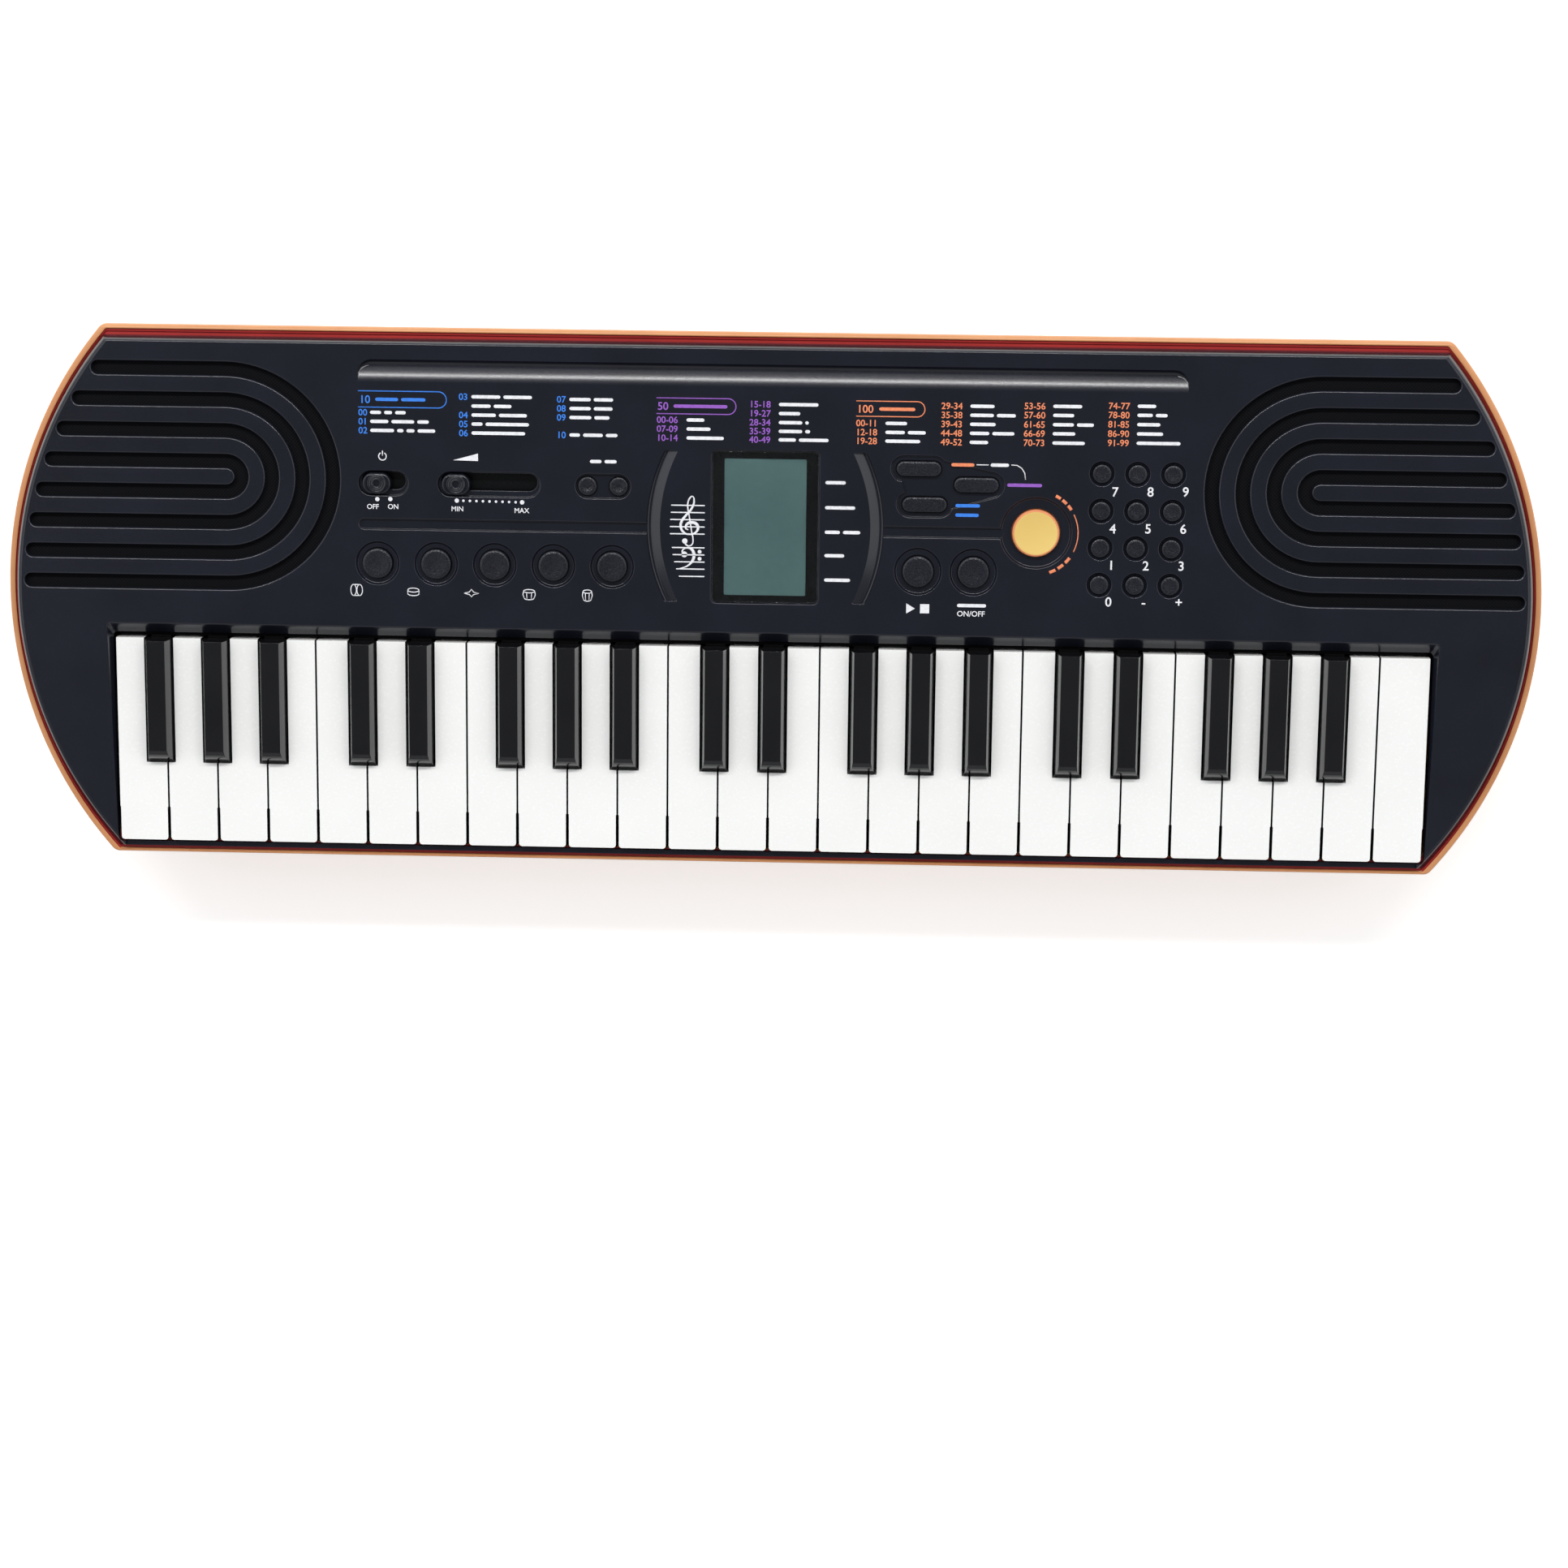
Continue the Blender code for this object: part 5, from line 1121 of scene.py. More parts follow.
        # Millimetres inwards from an end, and share of the depth there.
        ends = ((-0.5, 0.0), (-0.2, 0.16), (0.0, 0.5), (0.1, 1.0))
        runs = [(-f.bracket_half + out * MM, share) for out, share in ends]
        runs += [(f.bracket_half * i / 12.0, 1.0) for i in range(-11, 12)]
        runs += [(f.bracket_half - out * MM, share) for out, share in reversed(ends)]
        cuts = []
        for side in (-1, 1):
            rings = []
            for y, share in runs:
                outer = f.bracket_outer - f.bracket_radius + math.sqrt(f.bracket_radius ** 2 - y * y)
                row = [(f.display[0] + side * (outer - s * f.bracket_width), f.display[1] + y,
                        top + 0.02 * MM - max(share * deep, 0.0) * f.bracket_depth) for s, deep in section]
                lid = [(x, place, top + 2.0 * MM) for x, place, _ in (row[-1], row[0])]
                rings.append(row + lid)
            cuts.append(Bench.loft("bracket", rings))
        return cuts

    def channels(self) -> list[Piece]:
        """Cutters of the channel, which runs into the crescents and the large button's dish."""
        f = self.features
        middle = f.display[0]
        reach = f.bracket_outer - 0.3 * f.bracket_width
        spans = ((f.channel_left, middle - reach), (middle + reach, f.piano[0] - f.piano_recess + 1.5 * MM))
        floor = self.plan.panel_top - f.channel_depth
        return [self.pocket("channel", ((left + right) / 2, f.channel_y), (right - left, f.channel_width),
                            self.channel_steps, floor) for left, right in spans]

    def trough_back(self) -> Piece:
        """Thicker wall under the long hollow."""
        f, margin = self.features, 1.5 * MM
        low = self.plan.panel_top - f.trough_depth - 1.6 * MM
        return Bench.block("trough_back", (-f.trough_half - margin, f.trough_front - margin, low),
                           (f.trough_half + margin, f.trough_rear + margin, self.plan.panel_under + 0.8 * MM))

    def trough_deep(self, x: float, y: float) -> float:
        """Depth of the long hollow at a place: the lesser of what its slope and its wall allow."""
        f = self.features
        corner = f.trough_corner
        over_x, over_y = abs(x) - (f.trough_half - corner), y - (f.trough_rear - corner)
        beyond = math.hypot(over_x, over_y) if min(over_x, over_y) > 0.0 else max(over_x, over_y)
        share = min(max(corner - beyond, 0.0) / f.trough_wall, 1.0)
        run = min(max(y - f.trough_front, 0.0) / f.trough_slope, 1.0)
        return f.trough_depth * min(math.sqrt(1.0 - (1.0 - share) ** 2), run ** 1.5)

    def trough(self) -> Piece:
        """Long hollow along the rear: a flat slope at its front, a floor and a hollowed wall round both."""
        f, top = self.features, self.plan.panel_top
        corner = f.trough_corner
        reach = 1.3 * corner
        turn_along, turn_across = 7.5, 4.5
        offsets = [reach * (1.0 - math.cos(math.radians(turn_along * i))) for i in range(13)]
        stations = [o - f.trough_half for o in offsets] + [f.trough_half - o for o in reversed(offsets)]
        rings = []
        for x in stations:
            over = max(abs(x) - (f.trough_half - corner), 0.0)
            rear = f.trough_rear - corner + math.sqrt(max(corner ** 2 - over ** 2, 0.0))
            across = [f.trough_front + (rear - f.trough_front) * math.sin(math.radians(turn_across * i))
                      for i in range(21)]
            ring = [(x, y, top + 0.02 * MM - self.trough_deep(x, y)) for y in across]
            rings.append(ring + [(x, rear, top + 2.0 * MM), (x, f.trough_front, top + 2.0 * MM)])
        return Bench.loft("trough", rings)

    def mode_recess(self) -> Piece:
        """Joined recess that winds round the three oval buttons."""
        f = self.features
        (ax, ay), (bx, by), (cx, cy) = f.mode_buttons
        margin = 2.0 * MM

        def outline(grow: float) -> list[Point]:
            """Winding outline, grown outwards."""
            radius = f.mode_size[1] / 2.0 + margin + grow
            half = (f.mode_size[0] - f.mode_size[1]) / 2.0
            points = arc(ax - half, ay, radius, 90.0, 262.0, 14)
            points += arc(cx - half, cy, radius, 112.0, 270.0, 14)
            points += arc(cx + half, cy, radius, -90.0, -20.0, 8)
            points += arc(bx + half, by, radius, -70.0, 90.0, 14)
            points += arc(ax + half, ay, radius, 40.0, 90.0, 6)
            return points

        return self.sunk("mode_recess", outline, self.plan.panel_top - f.recess_depth)

    def holes(self) -> list[Piece]:
        """Cutters through the panel for buttons and the display."""
        f, plan = self.features, self.plan
        low, high = plan.panel_under - 5 * MM, plan.panel_top + 2 * MM
        cuts = []
        for radius, places in ((f.number_radius, f.numbers), (f.drum_radius, f.drums),
                               (f.tempo_radius, f.tempo_pair), (f.play_radius, list(f.play_buttons)),
                               (f.piano_radius, [f.piano])):
            outline = disc(0.0, 0.0, radius + f.clearance, 48)
            cuts += Bench.repeated(Bench.loft("hole", [at_height(outline, low), at_height(outline, high)]),
                                   places)
        grow = 2 * f.clearance
        outline = stadium(0.0, 0.0, f.mode_size[0] + grow, f.mode_size[1] + grow, 14)
        cuts += Bench.repeated(Bench.loft("hole", [at_height(outline, low), at_height(outline, high)]),
                               list(f.mode_buttons))
        half_x, half_y = f.lcd_size[0] / 2.0 + 0.3 * MM, f.lcd_size[1] / 2.0 + 0.3 * MM
        cx, cy = f.display
        cuts.append(Bench.block("display_hole", (cx - half_x, cy - half_y, low),
                                (cx + half_x, cy + half_y, high)))
        return cuts

    def grille_outline(self, side: int, index: int, grow: float) -> list[Point]:
        """One U slot: half a turn round the grille centre and two legs towards the side of the case.

        Args:
            side: -1 for the left grille, 1 for the right.
            index: Number of the slot, from the innermost.
            grow: Growth outwards.

        Returns:
            Closed outline.
        """
        f, plan = self.features, self.plan
        radius = f.grille_radius + f.grille_pitch * index
        half = f.grille_slot / 2.0
        reach = plan.side_radius - f.grille_margin

        def leg_end(y: float) -> float:
            """Where a leg's round end is centred, from the grille centre."""
            return plan.arc_x + math.sqrt(reach * reach - y * y) - half - f.grille_x

        steps = 18 + 8 * index
        points = arc(0.0, 0.0, radius + half + grow, 90.0, 270.0, steps)
        points += arc(leg_end(f.grille_y - radius), -radius, half + grow, -90.0, 90.0, 10)
        points += arc(0.0, 0.0, radius - half - grow, 270.0, 90.0, steps)
        points += arc(leg_end(f.grille_y + radius), radius, half + grow, -90.0, 90.0, 10)
        return [(side * (f.grille_x + x), f.grille_y + y) for x, y in points]

    def grilles(self) -> list[Piece]:
        """Cutters of the eight U slots."""
        floor = self.plan.panel_under - 1.2 * MM
        return [self.sunk("grille", partial(self.grille_outline, side, index), floor, self.grille_soft)
                for side in (-1, 1) for index in range(self.features.grille_count)]


@dataclass
class LowerCase:
    """Orange lower case: bowl with a rolled rim, screw posts, bores and the battery opening.

    The step inside the rim is painted deep red as shade at the sides and the rear, and stays plain orange
    along the front.
    """

    plan: CasePlan = PLAN
    base: float = 1.6 * MM
    floor: float = 2.4 * MM
    inner: float = 6.8 * MM
    inner_front: float = 5.15 * MM
    # Height over the base and inset there, in millimetres.
    bowl: tuple[Point, ...] = ((0.0, 18.0), (1.2, 15.4), (4.5, 12.0), (8.2, 9.2), (12.5, 7.0), (18.4, 5.0),
                               (24.5, 3.4), (30.5, 2.0), (36.5, 0.9), (39.2, 0.3))
    # Drop below the rim's top, and inset there at the rear, the sides and the front, in millimetres.
    rim: tuple[tuple[float, float, float, float], ...] = (
        (4.0, 0.0, 0.0, 0.0), (1.9, 0.0, 0.0, 0.0), (1.2, 0.1, 0.1, 0.08), (0.7, 0.32, 0.32, 0.22),
        (0.35, 0.62, 0.62, 0.4), (0.1, 1.02, 1.02, 0.62), (0.0, 1.4, 2.1, 0.8), (0.03, 1.6, 2.35, 0.9),
        (0.14, 1.74, 2.5, 0.98), (0.55, 1.82, 2.58, 1.02), (0.75, 1.98, 2.7, 1.1), (0.8, 2.5, 2.95, 1.34),
        (0.86, 2.76, 3.1, 1.46), (1.5, 2.95, 3.25, 1.6))
    # Bands of the rim's inner ledge and step that take the deep red painted shade.
    painted_shade_bands: int = 6
    # Depth from the front edge where the step keeps its plain orange, with no painted shade.
    orange_front: float = 1.7 * MM
    # Place in plan of the right-hand posts and height of their feet, in millimetres.
    posts: tuple[Triple, ...] = ((272.24, 8.0, 3.0), (180.0, 90.0, 10.0),
                                 (120.0, 93.0, 15.0), (269.0, -70.0, 10.0))
    post_radius: float = 4.2 * MM
    post_top: float = 40.0 * MM
    # Place along the rear wall and radius of the sockets, in millimetres.
    jacks: tuple[Point, ...] = ((-64.0, 3.2), (-89.0, 4.2))
    jack_height: float = 36.5 * MM

    def build(self) -> Piece:
        """Build and dress the lower case.

        Returns:
            The finished piece.
        """
        plan = self.plan
        inner = plan.outline(self.inner, self.inner + 0.5 * MM, self.inner_front)
        rings = []
        for height, inset in self.bowl[:9]:
            lift = self.floor if height == 0.0 else 0.55 * self.floor
            back = 2.0 * MM if height == 0.0 else self.floor
            rings.append(at_height(plan.outline(inset * MM + back), self.base + height * MM + lift))
        rings.append(at_height(plan.outline(2.9 * MM), plan.ledge - 3.7 * MM))
        rings.append(at_height(inner, plan.ledge - 2.5 * MM))
        rings.append(at_height(inner, plan.ledge))
        # The inner ledge and the step inside the rim take the deep red painted shade.
        first_shaded_band = len(rings) - 1
        for drop, rear, side, front in reversed(self.rim):
            rings.append(at_height(plan.outline(side * MM, rear * MM, front * MM), plan.rim_top - drop * MM))
        tinted = tuple(range(first_shaded_band, first_shaded_band + self.painted_shade_bands))
        for height, inset in reversed(self.bowl):
            rings.append(at_height(plan.outline(inset * MM), self.base + height * MM))
        case = Bench.loft("case_bottom", rings, tinted)
        # Along the front the step keeps the plain orange, without the painted shade.
        for face in case.data.polygons:
            if face.center.y < self.orange_front - plan.half_depth:
                face.material_index = 0
        coat(case, [Finishes.RIM, Finishes.RIM_STEP_PAINTED_SHADE])
        Bench.combine(case, self.posts_and_seat(), "UNION")
        Bench.combine(case, self.cuts(), "DIFFERENCE")
        Bench.smooth(case)
        return dress(case, [Finishes.RIM, Finishes.RIM_STEP_PAINTED_SHADE], CASE, ("lower_case",))

    def all_posts(self) -> list[Triple]:
        """Screw posts on both sides: place in plan and height of the foot."""
        return [(side * x * MM, y * MM, foot * MM) for side in (-1, 1) for x, y, foot in self.posts]

    def posts_and_seat(self) -> Piece:
        """Screw posts and the raised seat round the battery opening."""
        parts = []
        for x, y, foot in self.all_posts():
            outline = disc(x, y, self.post_radius, 24)
            parts.append(Bench.loft("post", [at_height(outline, foot), at_height(outline, self.post_top)]))
        parts.append(Bench.block("seat", (-85.0 * MM, 24.0 * MM, 3.2 * MM), (85.0 * MM, 68.0 * MM, 5.4 * MM)))
        return Bench.joined("posts", parts)

    def cuts(self) -> Piece:
        """Screw bores, socket bores, door seat and tray hole in one cutter."""
        tools = []
        for x, y, _ in self.all_posts():
            profile = [(0.0, -5 * MM), (3.3 * MM, -5 * MM), (3.3 * MM, 1.9 * MM), (2.6 * MM, 2.6 * MM),
                       (2.6 * MM, 32 * MM), (0.0, 32 * MM)]
            tools.append(Bench.turned("bore", profile, (x, y), 32))
        for x, radius in self.jacks:
            narrow = radius * MM
            wide = narrow + 0.5 * MM
            profile = [(0.0, -8 * MM), (wide, -8 * MM), (wide, -0.25 * MM), (narrow, 0.6 * MM),
                       (narrow, 9 * MM), (0.0, 9 * MM)]
            bore = Bench.turned("socket", profile, (0.0, 0.0), 40)
            bore.data.transform(Matrix.Translation((x * MM, self.plan.half_depth, self.jack_height))
                                @ Matrix.Rotation(math.pi / 2, 4, "X"))
            tools.append(bore)
        door = rounded(-82.3 * MM, 82.3 * MM, 26.7 * MM, 65.3 * MM, 2.3 * MM)
        hole = rounded(-81.1 * MM, 81.1 * MM, 27.9 * MM, 64.1 * MM, 0.4 * MM)
        steps = ((door, -5 * MM), (door, 3.5 * MM), (hole, 3.5 * MM), (hole, 7.0 * MM))
        tools.append(Bench.loft("door_seat", [at_height(outline, z) for outline, z in steps]))
        return Bench.joined("case_cuts", tools)


@dataclass
class Underside:
    """What shows from below: rubber feet, screws, and the sockets' sleeves at the rear."""

    lower: LowerCase
    # Places in plan, in millimetres.
    foot_places: tuple[Point, ...] = ((-190.0, -70.0), (190.0, -70.0), (-190.0, 70.0), (190.0, 70.0))
    foot_size: Point = (30.0 * MM, 11.0 * MM)
    foot_top: float = 2.1 * MM
    screw_height: float = 4.2 * MM

    def build(self) -> None:
        """Build and dress the small pieces."""
        for index, (x, y) in enumerate(self.foot_places):
            outline = stadium(x * MM, y * MM, *self.foot_size)
            foot = Bench.plate("rubber_foot_%d" % index, [outline], 0.0, self.foot_top, 0.5 * MM)
            Bench.smooth(foot)
            dress(foot, [Finishes.PAD], CASE)
        for index, (x, y, _) in enumerate(self.lower.all_posts()):
            screw = self.screw("screw_%d" % index, (x, y), self.screw_height)
            dress(screw, [Finishes.STEEL], CASE)
        for index, (x, radius) in enumerate(self.lower.jacks):
            sleeve = self.sleeve("socket_sleeve_%d" % index, x * MM, radius * MM)
            dress(sleeve, [Finishes.MASK], CASE)

    def screw(self, name: str, centre: Point, z: float) -> Piece:
        """Cross-head screw that looks down out of its bore.

        Args:
            name: Name of the screw.
            centre: Its place in plan.
            z: Height of the head's face.

        Returns:
            The screw.
        """
        profile = [(0.0, z), (1.9 * MM, z), (2.35 * MM, z + 0.4 * MM), (2.4 * MM, z + 1.6 * MM),
                   (1.2 * MM, z + 1.8 * MM), (1.2 * MM, z + 12 * MM), (0.0, z + 12 * MM)]
        head = Bench.turned(name, profile, centre, 28)
        for long_x, long_y in ((1.3 * MM, 0.3 * MM), (0.3 * MM, 1.3 * MM)):
            arm = Bench.block("arm", (centre[0] - long_x, centre[1] - long_y, z - 1 * MM),
                              (centre[0] + long_x, centre[1] + long_y, z + 0.9 * MM))
            Bench.combine(head, arm, "DIFFERENCE")
        Bench.smooth(head)
        return head

    def sleeve(self, name: str, x: float, radius: float) -> Piece:
        """Dark sleeve in a socket bore.

        Args:
            name: Name of the sleeve.
            x: Its place along the rear wall.
            radius: Radius of the bore.

        Returns:
            The sleeve.
        """
        inner = radius - 0.9 * MM
        outer = radius - 0.08 * MM
        profile = [(inner, -7 * MM), (outer, -7 * MM), (outer, -0.6 * MM), (outer - 0.25 * MM, -0.35 * MM),
                   (inner + 0.2 * MM, -0.35 * MM), (inner, -0.6 * MM), (inner, -7 * MM)]
        ring = Bench.turned(name, profile, (0.0, 0.0), 40)
        place = (x, PLAN.half_depth - 1.9 * MM, self.lower.jack_height)
        ring.data.transform(Matrix.Translation(place) @ Matrix.Rotation(-math.pi / 2, 4, "X"))
        Bench.smooth(ring)
        return ring


# Keys


@dataclass
class Keyboard:
    """White and black keys, rounded from the shapes of the frame."""

    white_soft: float = 0.42 * MM
    black_soft: float = 0.5 * MM
    # Where the painted shade on the white keys' necks begins.
    neck_start: float = -17.6 * MM
    felt_half: float = 258.0 * MM

    def build(self) -> None:
        """Build and dress every key."""
        for node in sorted(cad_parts):
            if node.startswith("white_key_"):
                self.key(node, self.white_soft, Finishes.IVORY, "key_white")
            elif node.startswith("black_key_"):
                self.key(node, self.black_soft, Finishes.EBONY, "key_black")
        self.felt("felt_over_necks", (-16.9 * MM, -9.5 * MM), (46.0 * MM, 47.6 * MM))
        self.felt("felt_under_fronts", (-101.8 * MM, -83.0 * MM), (34.4 * MM, 35.6 * MM))

    def felt(self, name: str, across: Point, heights: Point) -> None:
        """Felt strip along the keys.

        Args:
            name: Name of the strip.
            across: Front and rear edge.
            heights: Underside and top.
        """
        outline = rounded(-self.felt_half, self.felt_half, *across, 0.8 * MM)
        dress(Bench.plate(name, [outline], *heights, 0.3 * MM), [Finishes.FELT], CASE)

    def key(self, node: str, soft: float, finish: Moulded, slot: str) -> Piece:
        """One key with rounded edges; a white key's flanks and neck take a painted shade.

        Args:
            node: CAD node that the key replaces.
            soft: Radius of its edges.
            finish: Its finish.
            slot: The record's material slot.

        Returns:
            The finished key.
        """
        key = Bench.copy_of_node(node, node.replace("_key_", "_cap_"))
        Bench.soften(key, soft, 3)
        Bench.smooth(key, 50.0)
        finishes = [finish]
        if slot == "key_white":
            finishes.append(Finishes.KEY_FLANK_PAINTED_SHADE)
            # Flanks facing the gaps and necks under the lip take the dark grey painted shade.
            for face in key.data.polygons:
                if abs(face.normal.x) > 0.9 or face.center.y > self.neck_start:
                    face.material_index = 1
        return dress(key, finishes, node, (node,))


# Buttons, knobs and display


@dataclass
class Buttons:
    """Rubber button mats, the large cream button and its salmon ring."""

    features: PanelFeatures = PANEL
    top: float = PLAN.panel_top
    sink: float = 0.5 * MM
    mat_edge: float = 0.2 * MM
    chevron_arm: float = 1.9 * MM
    chevron_rise: float = 0.65 * MM
    chevron_width: float = 0.45 * MM

    def rounds(self, places: list[Point], radius: float, top: float, crown: float,
               dip: float = 0.0) -> list[Piece]:
        """Round buttons with a soft edge and a flat or dished top.

        Args:
            places: Centres of the buttons.
            radius: Radius of a button.
            top: Height of its highest line.
            crown: Height of its soft edge.
            dip: Depth of its dished top.

        Returns:
            The buttons.
        """
        low = self.features.mat_top - self.sink
        edge = min(0.9 * MM, 0.3 * radius)
        profile = [(0.0, low), (radius, low), (radius, top - crown),
                   (radius - 0.15 * edge, top - 0.55 * crown), (radius - 0.5 * edge, top - 0.18 * crown),
                   (radius - edge, top), (radius - 1.6 * edge, top), (0.45 * radius, top - 0.75 * dip),
                   (0.0, top - dip)]
        return Bench.repeated(Bench.turned("button", profile, (0.0, 0.0), 48), places)

    def ovals(self) -> list[Piece]:
        """The three oval buttons, each with a low crown."""
        f = self.features
        top = self.top + f.low_proud
        rings = []
        for z, shrink in ((f.mat_top - self.sink, 0.0), (top, 0.0), (top + 0.2 * MM, 0.12 * MM),
                          (top + 0.38 * MM, 0.4 * MM), (top + 0.5 * MM, 0.9 * MM)):
            length, width = f.mode_size[0] - 2 * shrink, f.mode_size[1] - 2 * shrink
            rings.append(at_height(stadium(0.0, 0.0, length, width, 14), z))
        return Bench.repeated(Bench.loft("button", rings), list(f.mode_buttons))

    def chevron(self, centre: Point, turn: int) -> Piece:
        """Raised chevron on a tempo button.

        Args:
            centre: Centre of the button.
            turn: 1 where its point is to the rear, -1 where it is to the front.

        Returns:
            The chevron.
        """
        x, y = centre
        arm, rise, width = self.chevron_arm, self.chevron_rise * turn, self.chevron_width
        knots = [(x - arm, y - rise, width), (x, y + rise, width), (x + arm, y - rise, width)]
        mark = Bench.line("chevron", knots)
        mark.data.transform(Matrix.Translation((0.0, 0.0, self.top - 0.2 * MM)))
        return mark

    def build(self) -> None:
        """Build and dress the mats and the large button."""
        f = self.features
        under, over = f.mat_top - f.mat_thick, f.mat_top
        high = self.top + f.proud
        low = self.top + f.low_proud
        drums = self.rounds(f.drums, f.drum_radius, high, 0.6 * MM, 0.25 * MM)
        first, last = f.drums[0][0], f.drums[-1][0]
        outline = stadium((first + last) / 2, f.drum_y, last - first + 18 * MM, 16 * MM)
        plate = Bench.plate("plate", [outline], under, over, self.mat_edge)
        self.mat("drum_pads", [plate] + drums, "drum_button_mat")

        right = self.rounds(f.numbers, f.number_radius, low, 0.35 * MM, 0.12 * MM)
        right += self.rounds(list(f.play_buttons), f.play_radius, high, 0.6 * MM, 0.25 * MM) + self.ovals()
        left_edge = f.mode_buttons[0][0] - f.mode_size[0] / 2 - 1.5 * MM
        outline = rounded(left_edge, f.number_x[-1] + 5.1 * MM, f.number_y[-1] - 5.6 * MM,
                          f.number_y[0] + 5.1 * MM, 2 * MM)
        gap = disc(*f.piano, f.piano_radius + 2.2 * MM)
        plate = Bench.plate("plate", [outline, gap], under, over, self.mat_edge)
        self.mat("panel_buttons", [plate] + right, "right_button_mat")

        pair = self.rounds(f.tempo_pair, f.tempo_radius, self.top, 0.35 * MM, 0.3 * MM)
        pair += [self.chevron(centre, turn) for centre, turn in zip(f.tempo_pair, (-1, 1))]
        outline = stadium(f.tempo_x, f.slider_y, f.tempo_length, 9.6 * MM)
        plate = Bench.plate("plate", [outline], under, over, self.mat_edge)
        self.mat("tempo_buttons", [plate] + pair, "tempo_button_mat")
        self.large_button(high)

    def mat(self, name: str, parts: list[Piece], node: str) -> None:
        """Join a mat with its buttons and dress it."""
        piece = Bench.joined(name, parts)
        Bench.smooth(piece)
        dress(piece, [Finishes.RUBBER], node, (node,))

    def large_button(self, high: float) -> None:
        """Cream button with a dished top and the salmon ring round its foot."""
        f = self.features
        radius = f.piano_radius
        foot = radius + 1.8 * MM
        under = f.mat_top - f.mat_thick
        profile = [(0.0, under), (foot, under), (foot, f.mat_top), (radius, f.mat_top),
                   (radius, high - 0.75 * MM), (radius - 0.1 * MM, high - 0.4 * MM),
                   (radius - 0.35 * MM, high - 0.12 * MM), (radius - 0.8 * MM, high),
                   (radius - 1.5 * MM, high - 0.06 * MM), (radius - 3.2 * MM, high - 0.24 * MM),
                   (3.0 * MM, high - 0.38 * MM), (0.0, high - 0.42 * MM)]
        cap = Bench.turned("tone_button", profile, f.piano, 72)
        for face in cap.data.polygons:
            reach = math.hypot(face.center.x - f.piano[0], face.center.y - f.piano[1])
            if reach > radius - 0.75 * MM:
                face.material_index = 1
        Bench.smooth(cap)
        node = "piano_organ_button"
        dress(cap, [Finishes.CREAM, Finishes.SALMON], node, (node,))


@dataclass
class SlideKnob:
    """Slide switch knob with a ringed finger dimple."""

    name: str
    node: str
    centre: Point
    travel: float
    features: PanelFeatures = PANEL
    rise: float = 1.5 * MM
    corner: float = 3.9 * MM
    ring_radii: tuple[float, ...] = (1.7 * MM, 2.55 * MM, 3.4 * MM)
    ring_foot: float = 0.42 * MM
    ring_crest: float = 0.1 * MM
    groove: float = 0.26 * MM
    face_radius: float = 3.95 * MM
    housing_end: float = 7.0 * MM
    housing_heights: Point = (48.84 * MM, 49.06 * MM)

    def backing(self, x: float) -> None:
        """Dark housing that closes the slot from below."""
        y = self.features.slider_y
        outline = rounded(x - self.housing_end, x + self.travel + self.housing_end, y - 5.0 * MM,
                          y + 5.5 * MM, 0.8 * MM)
        housing = Bench.plate(self.name + "_housing", [outline], *self.housing_heights, 0.03 * MM)
        dress(housing, [Finishes.MASK], CASE)

    def build(self) -> Piece:
        """Build and dress the knob.

        Returns:
            The finished knob.
        """
        f = self.features
        x, y = self.centre
        floor = PLAN.panel_top - f.slider_depth + 0.3 * MM
        top = PLAN.panel_top + self.rise
        half_x, half_y = f.knob_size[0] / 2.0, f.knob_size[1] / 2.0
        rings = []
        for z, shrink in ((floor, 0.25 * MM), (floor + 0.25 * MM, 0.0), (top - 0.9 * MM, 0.08 * MM),
                          (top - 0.45 * MM, 0.22 * MM), (top - 0.14 * MM, 0.48 * MM), (top, 0.95 * MM)):
            wide, deep = half_x - shrink, half_y - shrink
            outline = rounded(x - wide, x + wide, y - deep, y + deep, self.corner - shrink, 9)
            rings.append(at_height(outline, z))
        self.backing(x)
        knob = Bench.loft(self.name, rings)
        stem = Bench.block("stem", (x - 1.5 * MM, y - 1.2 * MM, 49.1 * MM),
                           (x + 1.5 * MM, y + 1.2 * MM, floor + 0.6 * MM))
        Bench.combine(knob, stem, "UNION")
        low, crest = top - self.groove, top - 0.02 * MM
        profile = [(0.0, top - 0.75 * MM), (1.1 * MM, top - 0.68 * MM)]
        for radius in self.ring_radii:
            profile += [(radius - self.ring_foot, low), (radius - self.ring_crest, crest),
                        (radius + self.ring_crest, crest), (radius + self.ring_foot, low)]
        profile += [(self.face_radius, crest), (self.face_radius, top + 1 * MM), (0.0, top + 1 * MM)]
        Bench.combine(knob, Bench.turned("rings", profile, (x, y), 48), "DIFFERENCE")
        Bench.smooth(knob)
        return dress(knob, [Finishes.KNOB], self.node, (self.node,))


